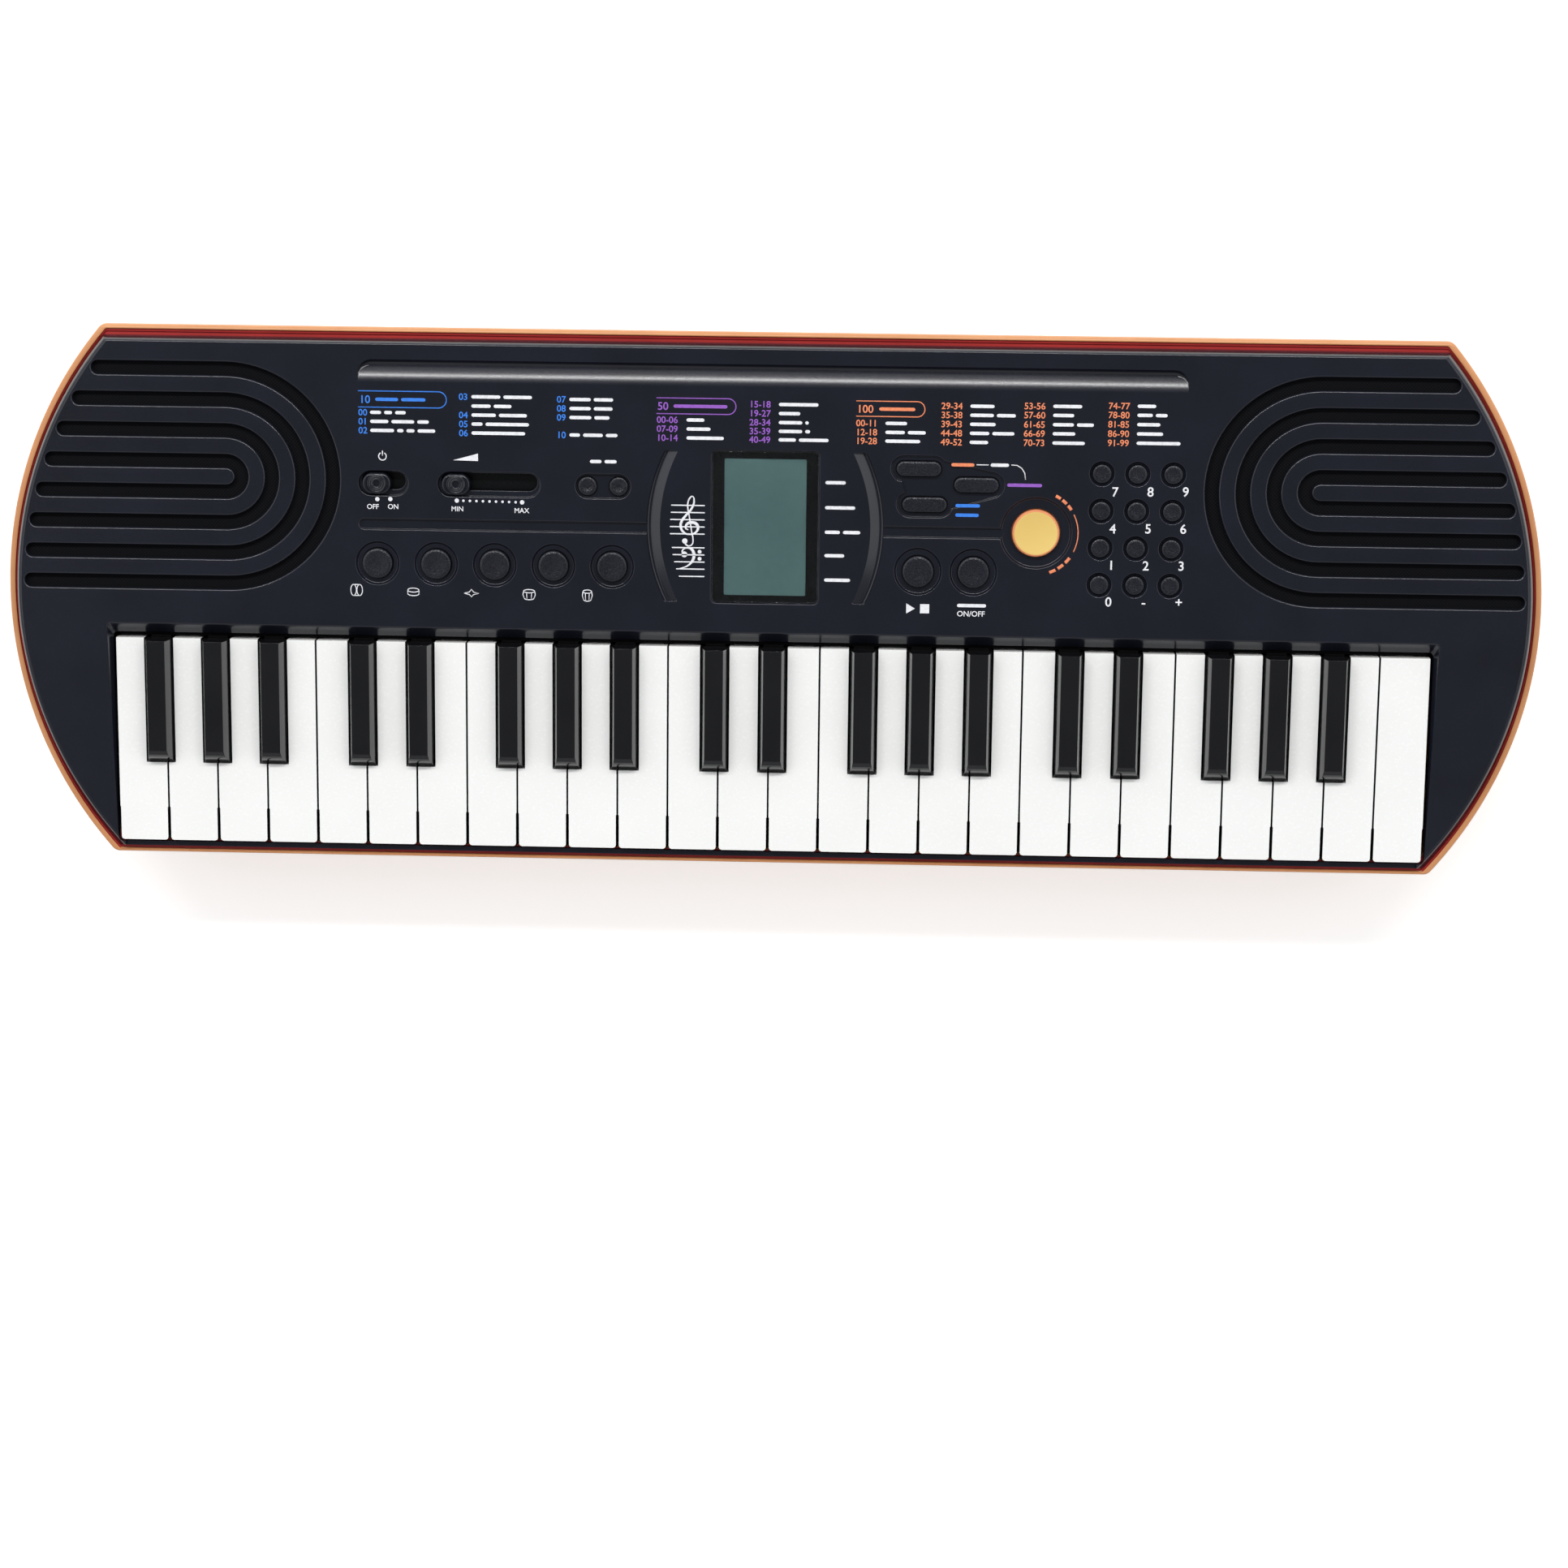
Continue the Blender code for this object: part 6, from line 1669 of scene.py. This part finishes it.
@dataclass
class Display:
    """Window pane, its black mask and the blank face of the display."""

    features: PanelFeatures = PANEL
    gap: float = 0.3 * MM
    view_border: float = 0.4 * MM
    face_margin: float = 0.6 * MM

    def build(self) -> None:
        """Build and dress the display's pieces."""
        f = self.features
        cx, cy = f.display

        def plan(wide: float, deep: float, corner: float) -> list[Point]:
            """Rounded outline round the display's centre, from its half sizes."""
            return rounded(cx - wide, cx + wide, cy - deep, cy + deep, corner)

        half_x, half_y = (size / 2.0 - self.gap for size in f.display_size)
        top = PLAN.panel_top
        pane = Bench.plate("window_glass", [plan(half_x, half_y, 1.8 * MM)], top - f.lens_thick, top,
                           0.15 * MM)
        Bench.smooth(pane)
        dress(pane, [ClearPane()], CASE, ("display_window",))
        lcd_x, lcd_y = (size / 2.0 - self.view_border for size in f.lcd_size)
        view = plan(lcd_x, lcd_y, 0.6 * MM)
        rim = plan(half_x - self.gap, half_y - self.gap, 1.6 * MM)
        floor = top - f.lens_thick - self.gap
        mask = Bench.plate("window_mask", [rim, view], floor + 0.02 * MM, floor + 0.2 * MM, 0.03 * MM)
        dress(mask, [Finishes.MASK], CASE)
        face_z = top - f.lens_thick - 0.5 * MM
        outline = plan(lcd_x + self.face_margin, lcd_y + self.face_margin, 0.3 * MM)
        face = Bench.plate("display_face", [outline], face_z + 0.01 * MM, face_z + 0.12 * MM, 0.02 * MM)
        dress(face, [LcdFace()], CASE)


# Print on the panel


class InkColour(Enum):
    """Inks of the panel print."""

    WHITE = Ink("ink_white", (232, 233, 236))
    BLUE = Ink("ink_blue", (58, 128, 226))
    PURPLE = Ink("ink_purple", (148, 92, 190))
    SALMON = Ink("ink_salmon", (238, 140, 98))


@dataclass
class PanelPrint:
    """Generic marks printed on the panel: numbers, bars, dots, staff lines and simple figures."""

    top: float = PLAN.panel_top
    thick: float = 0.03 * MM
    # Height of the built-in font's digits in its own size, and how far they are emboldened.
    digit_share: float = 0.70
    embolden: float = 0.018
    bar_height: float = 1.3
    bar_gap: float = 1.1
    outlines: dict[InkColour, list[list[Point]]] = field(default_factory=dict)
    extras: dict[InkColour, list[Piece]] = field(default_factory=dict)

    def shape(self, ink: InkColour, *outlines: list[Point]) -> None:
        """Add filled outlines, given in millimetres."""
        for outline in outlines:
            self.outlines.setdefault(ink, []).append([(x * MM, y * MM) for x, y in outline])

    def bar(self, ink: InkColour, x: float, y: float, width: float, height: float) -> None:
        """Add a bar with round ends whose left end and middle line are given."""
        self.shape(ink, stadium(x + width / 2.0, y, width, height, 4))

    def dot(self, ink: InkColour, x: float, y: float, radius: float) -> None:
        """Add a dot."""
        self.shape(ink, disc(x, y, radius, 20))

    def frame_pill(self, ink: InkColour, x0: float, x1: float, y0: float, y1: float) -> None:
        """Add a frame that is round at its right end and open at its left end."""
        radius = (y1 - y0) / 2.0
        self.stroke(ink, [(x0, y0)] + arc(x1 - radius, y0 + radius, radius, -90.0, 90.0, 14) + [(x0, y1)],
                    0.42)

    def bars(self, ink: InkColour, x: float, y: float, lengths: tuple[float, ...]) -> None:
        """Add a row of bars with small gaps, from the lengths of the bars."""
        for length in lengths:
            self.bar(ink, x, y, length, self.bar_height)
            x += length + self.bar_gap

    def text(self, ink: InkColour, body: str, x: float, y: float, size: float, centred: bool = False) -> None:
        """Add generic digits or marks.

        Args:
            ink: Ink colour.
            body: Digits or marks.
            x: Left end or middle in millimetres.
            y: Middle line in millimetres.
            size: Height of a digit in millimetres.
            centred: Whether x is the middle.
        """
        Bench.clear()
        bpy.ops.object.text_add(location=(0.0, 0.0, 0.0))
        obj = bpy.context.object
        obj.data.body = body
        obj.data.size = size * MM / self.digit_share
        obj.data.extrude = self.thick / 2.0
        obj.data.offset = self.embolden * size * MM
        obj.data.resolution_u = 4
        obj.data.align_x = "CENTER" if centred else "LEFT"
        bpy.ops.object.convert(target="MESH")
        obj = bpy.context.object
        obj.data.transform(Matrix.Translation((x * MM, (y - size / 2.0) * MM, self.top + self.thick / 2.0)))
        self.extras.setdefault(ink, []).append(obj)

    def stroke(self, ink: InkColour, points: list[Point], width: float) -> None:
        """Add a line of even width along points given in millimetres."""
        self.pressed(ink, Bench.line("stroke", [(x * MM, y * MM, width * MM) for x, y in points]), width)

    def brush(self, ink: InkColour, knots: list[Triple]) -> None:
        """Add a smooth line of changing width through places given in millimetres."""
        widest = max(width for _, _, width in knots)
        self.pressed(ink, Bench.line("brush", [(x * MM, y * MM, w * MM) for x, y, w in knots], True), widest)

    def pressed(self, ink: InkColour, obj: Piece, width: float) -> None:
        """Press a round line flat onto the panel."""
        flat = self.thick / (width * MM)
        lift = Matrix.Translation((0.0, 0.0, self.top + self.thick / 2.0))
        obj.data.transform(lift @ Matrix.Diagonal((1, 1, flat, 1)))
        self.extras.setdefault(ink, []).append(obj)

    def lists(self) -> None:
        """Numbered lists under the coloured pills along the rear."""
        white, blue = InkColour.WHITE, InkColour.BLUE
        purple, salmon = InkColour.PURPLE, InkColour.SALMON
        self.frame_pill(blue, -160.9, -126.4, 75.1, 81.4)
        self.frame_pill(purple, -44.6, -13.7, 74.2, 80.3)
        self.frame_pill(salmon, 32.9, 59.5, 74.3, 80.2)
        for ink, number, x, y, lengths in ((blue, "10", -160.4, 78.2, (9.0, 9.6)),
                                           (purple, "50", -44.2, 77.2, (21.0,)),
                                           (salmon, "100", 33.2, 77.2, (14.0,))):
            self.text(ink, number, x, y, 3.0)
            self.bars(ink, x + 1.4 + 2.4 * len(number), y, lengths)
        # For each list: ink, left end, indent of its bars, and its lines with height, number and bar lengths.
        rows = (
            (blue, -160.9, 4.6, ((73.1, "00", (4.4, 3.2, 4.2)), (69.6, "01", (7.2, 9.0, 4.6)),
                                 (66.1, "02", (9.4, 2.6, 3.2, 7.0)))),
            (blue, -121.6, 4.9,
             ((79.7, "03", (11.4, 11.2)), (76.1, "", (7.6, 7.0)), (72.6, "04", (9.6, 11.0)),
              (69.1, "05", (4.4, 17.0)), (65.6, "06", (21.0,)))),
            (blue, -83.4, 4.9, ((79.2, "07", (8.4, 7.6)), (75.7, "08", (8.4, 7.4)), (72.2, "09", (8.6, 6.0)),
                                (65.4, "10", (4.2, 7.8, 4.6)))),
            (purple, -44.5, 11.6,
             ((71.9, "00-06", (7.0,)), (68.4, "07-09", (9.4,)), (64.9, "10-14", (14.6,)))),
            (purple, -8.5, 11.4,
             ((78.4, "15-18", (15.4,)), (74.9, "19-27", (8.4,)), (71.4, "28-34", (9.2, 1.4)),
              (68.0, "35-39", (9.2, 2.0)), (64.7, "40-49", (6.8, 11.6)))),
            (salmon, 32.9, 11.4,
             ((71.7, "00-11", (8.4,)), (68.2, "12-18", (7.6, 7.0)), (64.8, "19-28", (13.6,)))),
            (salmon, 65.8, 11.2,
             ((78.8, "29-34", (9.4,)), (75.3, "35-38", (9.2, 7.4)), (71.8, "39-43", (10.0,)),
              (68.3, "44-48", (7.6, 8.6)), (64.8, "49-52", (7.2,)))),
            (salmon, 97.8, 11.2,
             ((79.2, "53-56", (11.2,)), (75.7, "57-60", (8.2,)), (72.1, "61-65", (8.2, 6.6)),
              (68.6, "66-69", (8.8,)), (65.0, "70-73", (12.6,)))),
            (salmon, 130.3, 11.2,
             ((79.7, "74-77", (7.2,)), (76.2, "78-80", (6.0, 4.6)), (72.6, "81-85", (9.0,)),
              (69.0, "86-90", (10.2,)), (65.4, "91-99", (17.0,)))),
        )
        for ink, x, indent, lines in rows:
            for y, number, lengths in lines:
                if number:
                    self.text(ink, number, x, y, 2.5)
                self.bars(white, x + indent, y, lengths)

    def switch_marks(self) -> None:
        """Marks round the slide switches and the tempo pair."""
        white = InkColour.WHITE
        self.stroke(white, [(x, y) for x, y in arc(-151.6, 56.0, 1.5, 120.0, 420.0, 16)], 0.45)
        self.stroke(white, [(-151.6, 56.2), (-151.6, 58.2)], 0.45)
        self.shape(white, [(-124.0, 54.9), (-114.2, 54.7), (-114.2, 57.6)])
        self.bars(white, -70.5, 55.2, (4.6, 4.8))
        self.text(white, "OFF", -155.6, 36.3, 1.9, True)
        self.text(white, "ON", -147.6, 36.4, 1.9, True)
        self.dot(white, -153.8, 39.2, 0.85)
        self.dot(white, -148.7, 39.3, 0.85)
        self.text(white, "MIN", -122.4, 35.9, 1.9, True)
        self.text(white, "MAX", -97.2, 35.6, 1.9, True)
        for i in range(11):
            x = -122.6 + 25.6 * i / 10.0
            self.dot(white, x, 39.1 - 0.03 * i, 0.85 if i in (0, 10) else 0.5)

    def staff(self) -> None:
        """Two staves with the traditional clefs left of the display."""
        white = InkColour.WHITE
        right = -25.5
        for y, left in ((38.6, -38.7), (35.8, -38.9), (33.0, -39.1), (30.2, -39.2), (27.4, -39.2),
                        (22.0, -38.4), (19.2, -38.1), (16.4, -37.5), (13.6, -36.7), (10.7, -35.6)):
            self.bar(white, left, y, right - left, 0.45)
        self.brush(white,
                   [(-31.95, 28.95, 0.4), (-32.95, 29.65, 0.7), (-32.65, 31.0, 1.0), (-31.2, 31.8, 1.2),
                    (-28.95, 31.4, 1.3), (-28.15, 29.85, 1.15), (-29.15, 27.95, 0.8), (-31.4, 27.2, 0.55),
                    (-33.75, 27.95, 0.85), (-34.9, 30.1, 1.05), (-34.55, 32.35, 1.05), (-33.0, 34.5, 0.95),
                    (-31.3, 36.45, 0.95), (-30.15, 38.5, 0.8), (-29.75, 40.3, 0.7), (-30.4, 42.1, 0.5),
                    (-31.4, 41.45, 0.65), (-32.2, 39.4, 0.6), (-32.2, 37.6, 0.6), (-31.7, 34.85, 0.55),
                    (-31.1, 31.2, 0.55), (-30.6, 28.0, 0.55), (-30.1, 25.3, 0.55), (-30.4, 23.4, 0.55),
                    (-31.85, 22.65, 0.55), (-33.2, 23.5, 0.7)])
        self.dot(white, -33.3, 24.6, 1.05)
        self.brush(white, [(-34.35, 20.1, 0.6), (-34.1, 21.0, 0.6), (-32.5, 21.9, 0.65), (-30.7, 21.4, 1.1),
                           (-29.7, 19.4, 1.35), (-30.15, 17.1, 1.15), (-31.85, 15.05, 0.65),
                           (-34.6, 13.9, 0.4), (-36.4, 13.55, 0.2)])
        self.dot(white, -33.45, 19.35, 1.15)
        for y in (20.45, 17.7):
            self.dot(white, -27.5, y, 0.75)

    def control_marks(self) -> None:
        """Bars, lines and digits round the right-hand controls."""
        white, salmon = InkColour.WHITE, InkColour.SALMON
        for y, lengths in ((48.3, (8.0,)), (38.5, (11.8,)), (28.9, (6.0, 6.8)), (19.7, (7.8,)),
                           (10.1, (10.2,))):
            self.bars(white, 21.3, y, lengths)
        self.bars(salmon, 70.1, 56.0, (9.0,))
        self.stroke(white, [(79.9, 56.1), (84.6, 56.1)], 0.4)
        self.bars(white, 85.3, 56.1, (7.2,))
        self.stroke(white, [(93.4, 56.2), (95.6, 56.1), (97.4, 55.0), (98.6, 53.2), (99.0, 50.6)], 0.4)
        self.bars(InkColour.PURPLE, 91.9, 48.4, (13.6,))
        self.bars(InkColour.BLUE, 72.0, 40.1, (9.6,))
        self.bars(InkColour.BLUE, 72.0, 36.4, (9.2,))
        cx, cy, radius = 103.5, 29.8, 16.4
        self.stroke(salmon, arc(cx, cy, radius, -26.0, 27.0, 20), 0.42)
        count = 3
        dash = 0.72
        for start, stop in ((34.0, 66.0), (-70.0, -32.0)):
            for i in range(count):
                begin = start + (stop - start) * i / count
                end = start + (stop - start) * (i + dash) / count
                self.stroke(salmon, arc(cx, cy, radius, begin, end, 6), self.bar_height)
        self.shape(white, [(53.6, -2.6), (53.6, 1.4), (57.0, -0.6)])
        self.shape(white, [(59.0, -2.4), (62.6, -2.4), (62.6, 1.2), (59.0, 1.2)])
        self.bars(white, 73.4, 0.9, (11.4,))
        self.text(white, "ON/OFF", 78.9, -2.3, 2.1, True)
        digits = (("7", 133.8, 46.4), ("8", 147.5, 46.6), ("9", 161.1, 46.8), ("4", 133.3, 32.0),
                  ("5", 147.0, 32.2), ("6", 160.6, 32.3), ("1", 133.1, 17.7), ("2", 146.5, 17.7),
                  ("3", 160.3, 17.8), ("0", 132.4, 3.3), ("-", 146.1, 3.4), ("+", 159.8, 3.5))
        for body, x, y in digits:
            self.text(white, body, x, y, 3.6, True)

    def drum_figures(self) -> None:
        """Simple figures of five percussion instruments under the pads."""
        white = InkColour.WHITE
        line = 0.38

        def ellipse(x: float, y: float, a: float, b: float, start: float = 0.0, stop: float = 360.0) -> None:
            """Add an outlined ellipse or a part of one."""
            self.stroke(white, [(x + a * px, y + b * py) for px, py in arc(0.0, 0.0, 1.0, start, stop, 24)],
                        line)

        ellipse(-163.6, 3.2, 1.1, 2.2)
        ellipse(-161.2, 3.2, 1.1, 2.2)
        self.stroke(white, [(-163.6, 5.4), (-161.2, 5.4)], line)
        self.stroke(white, [(-163.6, 1.0), (-161.2, 1.0)], line)
        ellipse(-140.0, 3.5, 2.2, 0.8)
        ellipse(-140.0, 2.1, 2.2, 0.8, 180.0, 360.0)
        self.stroke(white, [(-142.2, 3.5), (-142.2, 2.1)], line)
        self.stroke(white, [(-137.8, 3.5), (-137.8, 2.1)], line)
        self.stroke(white,
                    [(-120.0, 2.6), (-117.9, 3.1), (-117.1, 4.2), (-116.3, 3.1), (-114.2, 2.6), (-116.3, 2.1),
                     (-117.1, 1.2), (-117.9, 2.1), (-120.0, 2.6)], line)
        for x, half, tall in ((-94.4, 2.2, 1.9), (-71.5, 1.7, 2.1)):
            ellipse(x, 2.4 + tall - 0.5, half, 0.65)
            for side in (-1, 1):
                self.stroke(white, [(x + side * half, 2.4 + tall - 0.5), (x + side * (half + 0.25), 2.4),
                                    (x + side * half * 0.85, 2.4 - tall + 0.4)], line)
            ellipse(x, 2.4 - tall + 0.5, half * 0.85, 0.6, 180.0, 360.0)
            for share in (-0.45, 0.45):
                self.stroke(white,
                            [(x + share * half, 2.4 + tall - 1.1), (x + share * half * 0.85, 2.4 - tall)],
                            0.3)

    def build(self) -> None:
        """Build every mark and join them by ink."""
        self.lists()
        self.switch_marks()
        self.staff()
        self.control_marks()
        self.drum_figures()
        for ink in InkColour:
            parts = list(self.extras.get(ink, []))
            if self.outlines.get(ink):
                parts.append(Bench.plate("marks", self.outlines[ink], self.top, self.top + self.thick))
            piece = Bench.joined("print_" + ink.name.lower(), parts)
            dress(piece, [ink.value], CASE)


# Inside, room and camera


@dataclass
class Inside:
    """Finishes of the CAD nodes that stay, and the cloth behind the grilles."""

    def build(self) -> None:
        """Dress what stays and build the cloths."""
        stays = {"battery_door": Finishes.RIM, "battery_tray": Finishes.RIM, "main_board": TracedBoard(),
                 "key_contact_board": Finishes.PAD, "key_comb_rail": Finishes.RAIL,
                 "left_speaker": Finishes.CONE, "right_speaker": Finishes.CONE}
        for node, finish in stays.items():
            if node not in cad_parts:
                continue
            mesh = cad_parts[node].data
            if mesh.materials:
                for index in range(len(mesh.materials)):
                    mesh.materials[index] = FINISHES.get(finish)
            else:
                mesh.materials.append(FINISHES.get(finish))
            LOG.info("%s keeps its shape and takes %s", node, finish.name)
        f = PANEL
        for side, name in ((-1, "left_grille_cloth"), (1, "right_grille_cloth")):
            outline = []
            reach = PLAN.side_radius - f.grille_margin + 0.6 * MM
            half = f.grille_radius + 3 * f.grille_pitch + f.grille_slot / 2.0 + 1.6 * MM
            outline += arc(f.grille_x, f.grille_y, half, 90.0, 270.0, 32)
            low = math.degrees(math.asin((f.grille_y - half) / reach))
            high = math.degrees(math.asin((f.grille_y + half) / reach))
            outline += arc(PLAN.arc_x, 0.0, reach, low, high, 24)
            points = [(side * x, y) for x, y in outline]
            cloth = Bench.plate(name, [points], 51.0 * MM, 51.4 * MM, 0.1 * MM)
            dress(cloth, [SpeakerCloth()], CASE)


@dataclass(frozen=True)
class Lamp:
    """Rectangular soft lamp."""

    name: str
    place: Triple
    target: Triple
    size: Point
    power: float


@dataclass
class Studio:
    """Pale floor, plain soft light and the camera."""

    location: Triple = (0.05389486, 0.20817322, 1.43818895)
    turn: tuple[Triple, ...] = ((0.99927948, -0.01779743, 0.03352259),
                                (0.01081553, 0.98014885, 0.19796781),
                                (-0.03638044, -0.1974626, 0.97963513))
    # Focal length over the frame's width, both in pixels of the photograph.
    focal_share: float = 4400.0 / 1932.0
    sensor: float = 36.0
    floor_glow: float = 0.45
    lean: Triple = (0.0, 0.35, -0.94)
    darkest: float = 0.14
    brightest: float = 0.9
    dark_until: float = -0.85
    bright_from: float = -0.1
    lamps: tuple[Lamp, ...] = (
        Lamp("strip_rear", (-0.1, 1.25, 1.5), (0.0, 0.05, 0.0), (2.4, 0.14), 31.0),
        Lamp("fill_front", (0.0, -1.5, 1.5), (0.0, 0.0, 0.0), (3.0, 1.6), 6.0),
        Lamp("softbox_side", (-1.15, 0.1, 1.25), (0.0, 0.0, 0.0), (1.3, 0.9), 4.0),
        Lamp("softbox_side", (1.15, 0.1, 1.25), (0.0, 0.0, 0.0), (1.3, 0.9), 4.0))

    def build(self) -> None:
        """Build the floor, the lights and the camera."""
        self.floor()
        self.world()
        for lamp in self.lamps:
            self.light(lamp)
        self.camera()

    def floor(self) -> None:
        """Large pale floor that keeps the soft shadow."""
        Bench.clear()
        bpy.ops.mesh.primitive_plane_add(size=8.0, location=(0.0, 0.0, 0.0))
        plane = bpy.context.object
        plane.name = "floor"
        desk = NodeDesk("floor_pale")
        cloud = desk.noise(1.5, 2.0)
        desk.link(desk.ramp(cloud, [(0.3, linear(240, 239, 237)), (0.7, linear(246, 245, 243))]),
                  desk.shader.inputs["Base Color"])
        desk.shader.inputs["Roughness"].default_value = 0.7
        desk.shader.inputs["Specular IOR Level"].default_value = 0.2
        path = desk.tree.nodes.new("ShaderNodeLightPath")
        desk.shader.inputs["Emission Color"].default_value = (1.0, 1.0, 1.0, 1.0)
        seen = path.outputs["Is Camera Ray"]
        for ray in ("Is Glossy Ray", "Is Transmission Ray"):
            either = desk.tree.nodes.new("ShaderNodeMath")
            either.operation = "MAXIMUM"
            desk.link(seen, either.inputs[0])
            desk.link(path.outputs[ray], either.inputs[1])
            seen = either.outputs[0]
        scaled = desk.tree.nodes.new("ShaderNodeMath")
        scaled.operation = "MULTIPLY"
        scaled.inputs[1].default_value = self.floor_glow
        desk.link(seen, scaled.inputs[0])
        desk.link(scaled.outputs[0], desk.shader.inputs["Emission Strength"])
        plane.data.materials.append(desk.material)

    def world(self) -> None:
        """Plain room, darkest overhead and to the front and brightest low at the rear."""
        world = bpy.data.worlds.new("room")
        bpy.context.scene.world = world
        world.use_nodes = True
        tree = world.node_tree
        coords = tree.nodes.new("ShaderNodeTexCoord")
        lean = tree.nodes.new("ShaderNodeVectorMath")
        lean.operation = "DOT_PRODUCT"
        lean.inputs[1].default_value = self.lean
        level = tree.nodes.new("ShaderNodeMapRange")
        level.inputs["From Min"].default_value = self.dark_until
        level.inputs["From Max"].default_value = self.bright_from
        level.inputs["To Min"].default_value = self.darkest
        level.inputs["To Max"].default_value = self.brightest
        sky = tree.nodes["Background"]
        sky.inputs["Color"].default_value = (0.93, 0.96, 1.0, 1.0)
        tree.links.new(coords.outputs["Generated"], lean.inputs[0])
        tree.links.new(lean.outputs["Value"], level.inputs["Value"])
        tree.links.new(level.outputs["Result"], sky.inputs["Strength"])

    def light(self, lamp: Lamp) -> None:
        """Set up a lamp so that it looks at its target."""
        data = bpy.data.lights.new(lamp.name, "AREA")
        data.shape = "RECTANGLE"
        data.size, data.size_y = lamp.size
        data.energy = lamp.power
        obj = Bench.added(lamp.name, data)
        obj.location = lamp.place
        aim = Vector(lamp.target) - Vector(lamp.place)
        obj.rotation_euler = aim.to_track_quat("-Z", "Y").to_euler()

    def camera(self) -> None:
        """Camera at the photograph's viewing angle."""
        data = bpy.data.cameras.new("camera")
        data.sensor_fit = "HORIZONTAL"
        data.sensor_width = self.sensor
        data.lens = self.sensor * self.focal_share
        obj = Bench.added("camera", data)
        obj.matrix_world = Matrix.Translation(self.location) @ Matrix(self.turn).to_4x4()
        bpy.context.scene.camera = obj
        bpy.context.scene.view_settings.view_transform = "Standard"


def main() -> None:
    """Build every sub-assembly in order."""
    logging.basicConfig(level=logging.INFO, format="%(name)s: %(message)s")
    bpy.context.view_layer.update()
    UpperCase().build()
    lower = LowerCase()
    lower.build()
    Underside(lower).build()
    Keyboard().build()
    Buttons().build()
    f = PANEL
    for name, node, x, travel in (("power_knob", "power_switch_knob", f.power_x, f.power_travel),
                                  ("loudness_knob", "volume_knob", f.volume_x, f.volume_travel)):
        SlideKnob(name, node, (x - travel / 2.0, f.slider_y), travel).build()
    Display().build()
    PanelPrint().build()
    Inside().build()
    Studio().build()


if __name__ == "__main__":
    main()
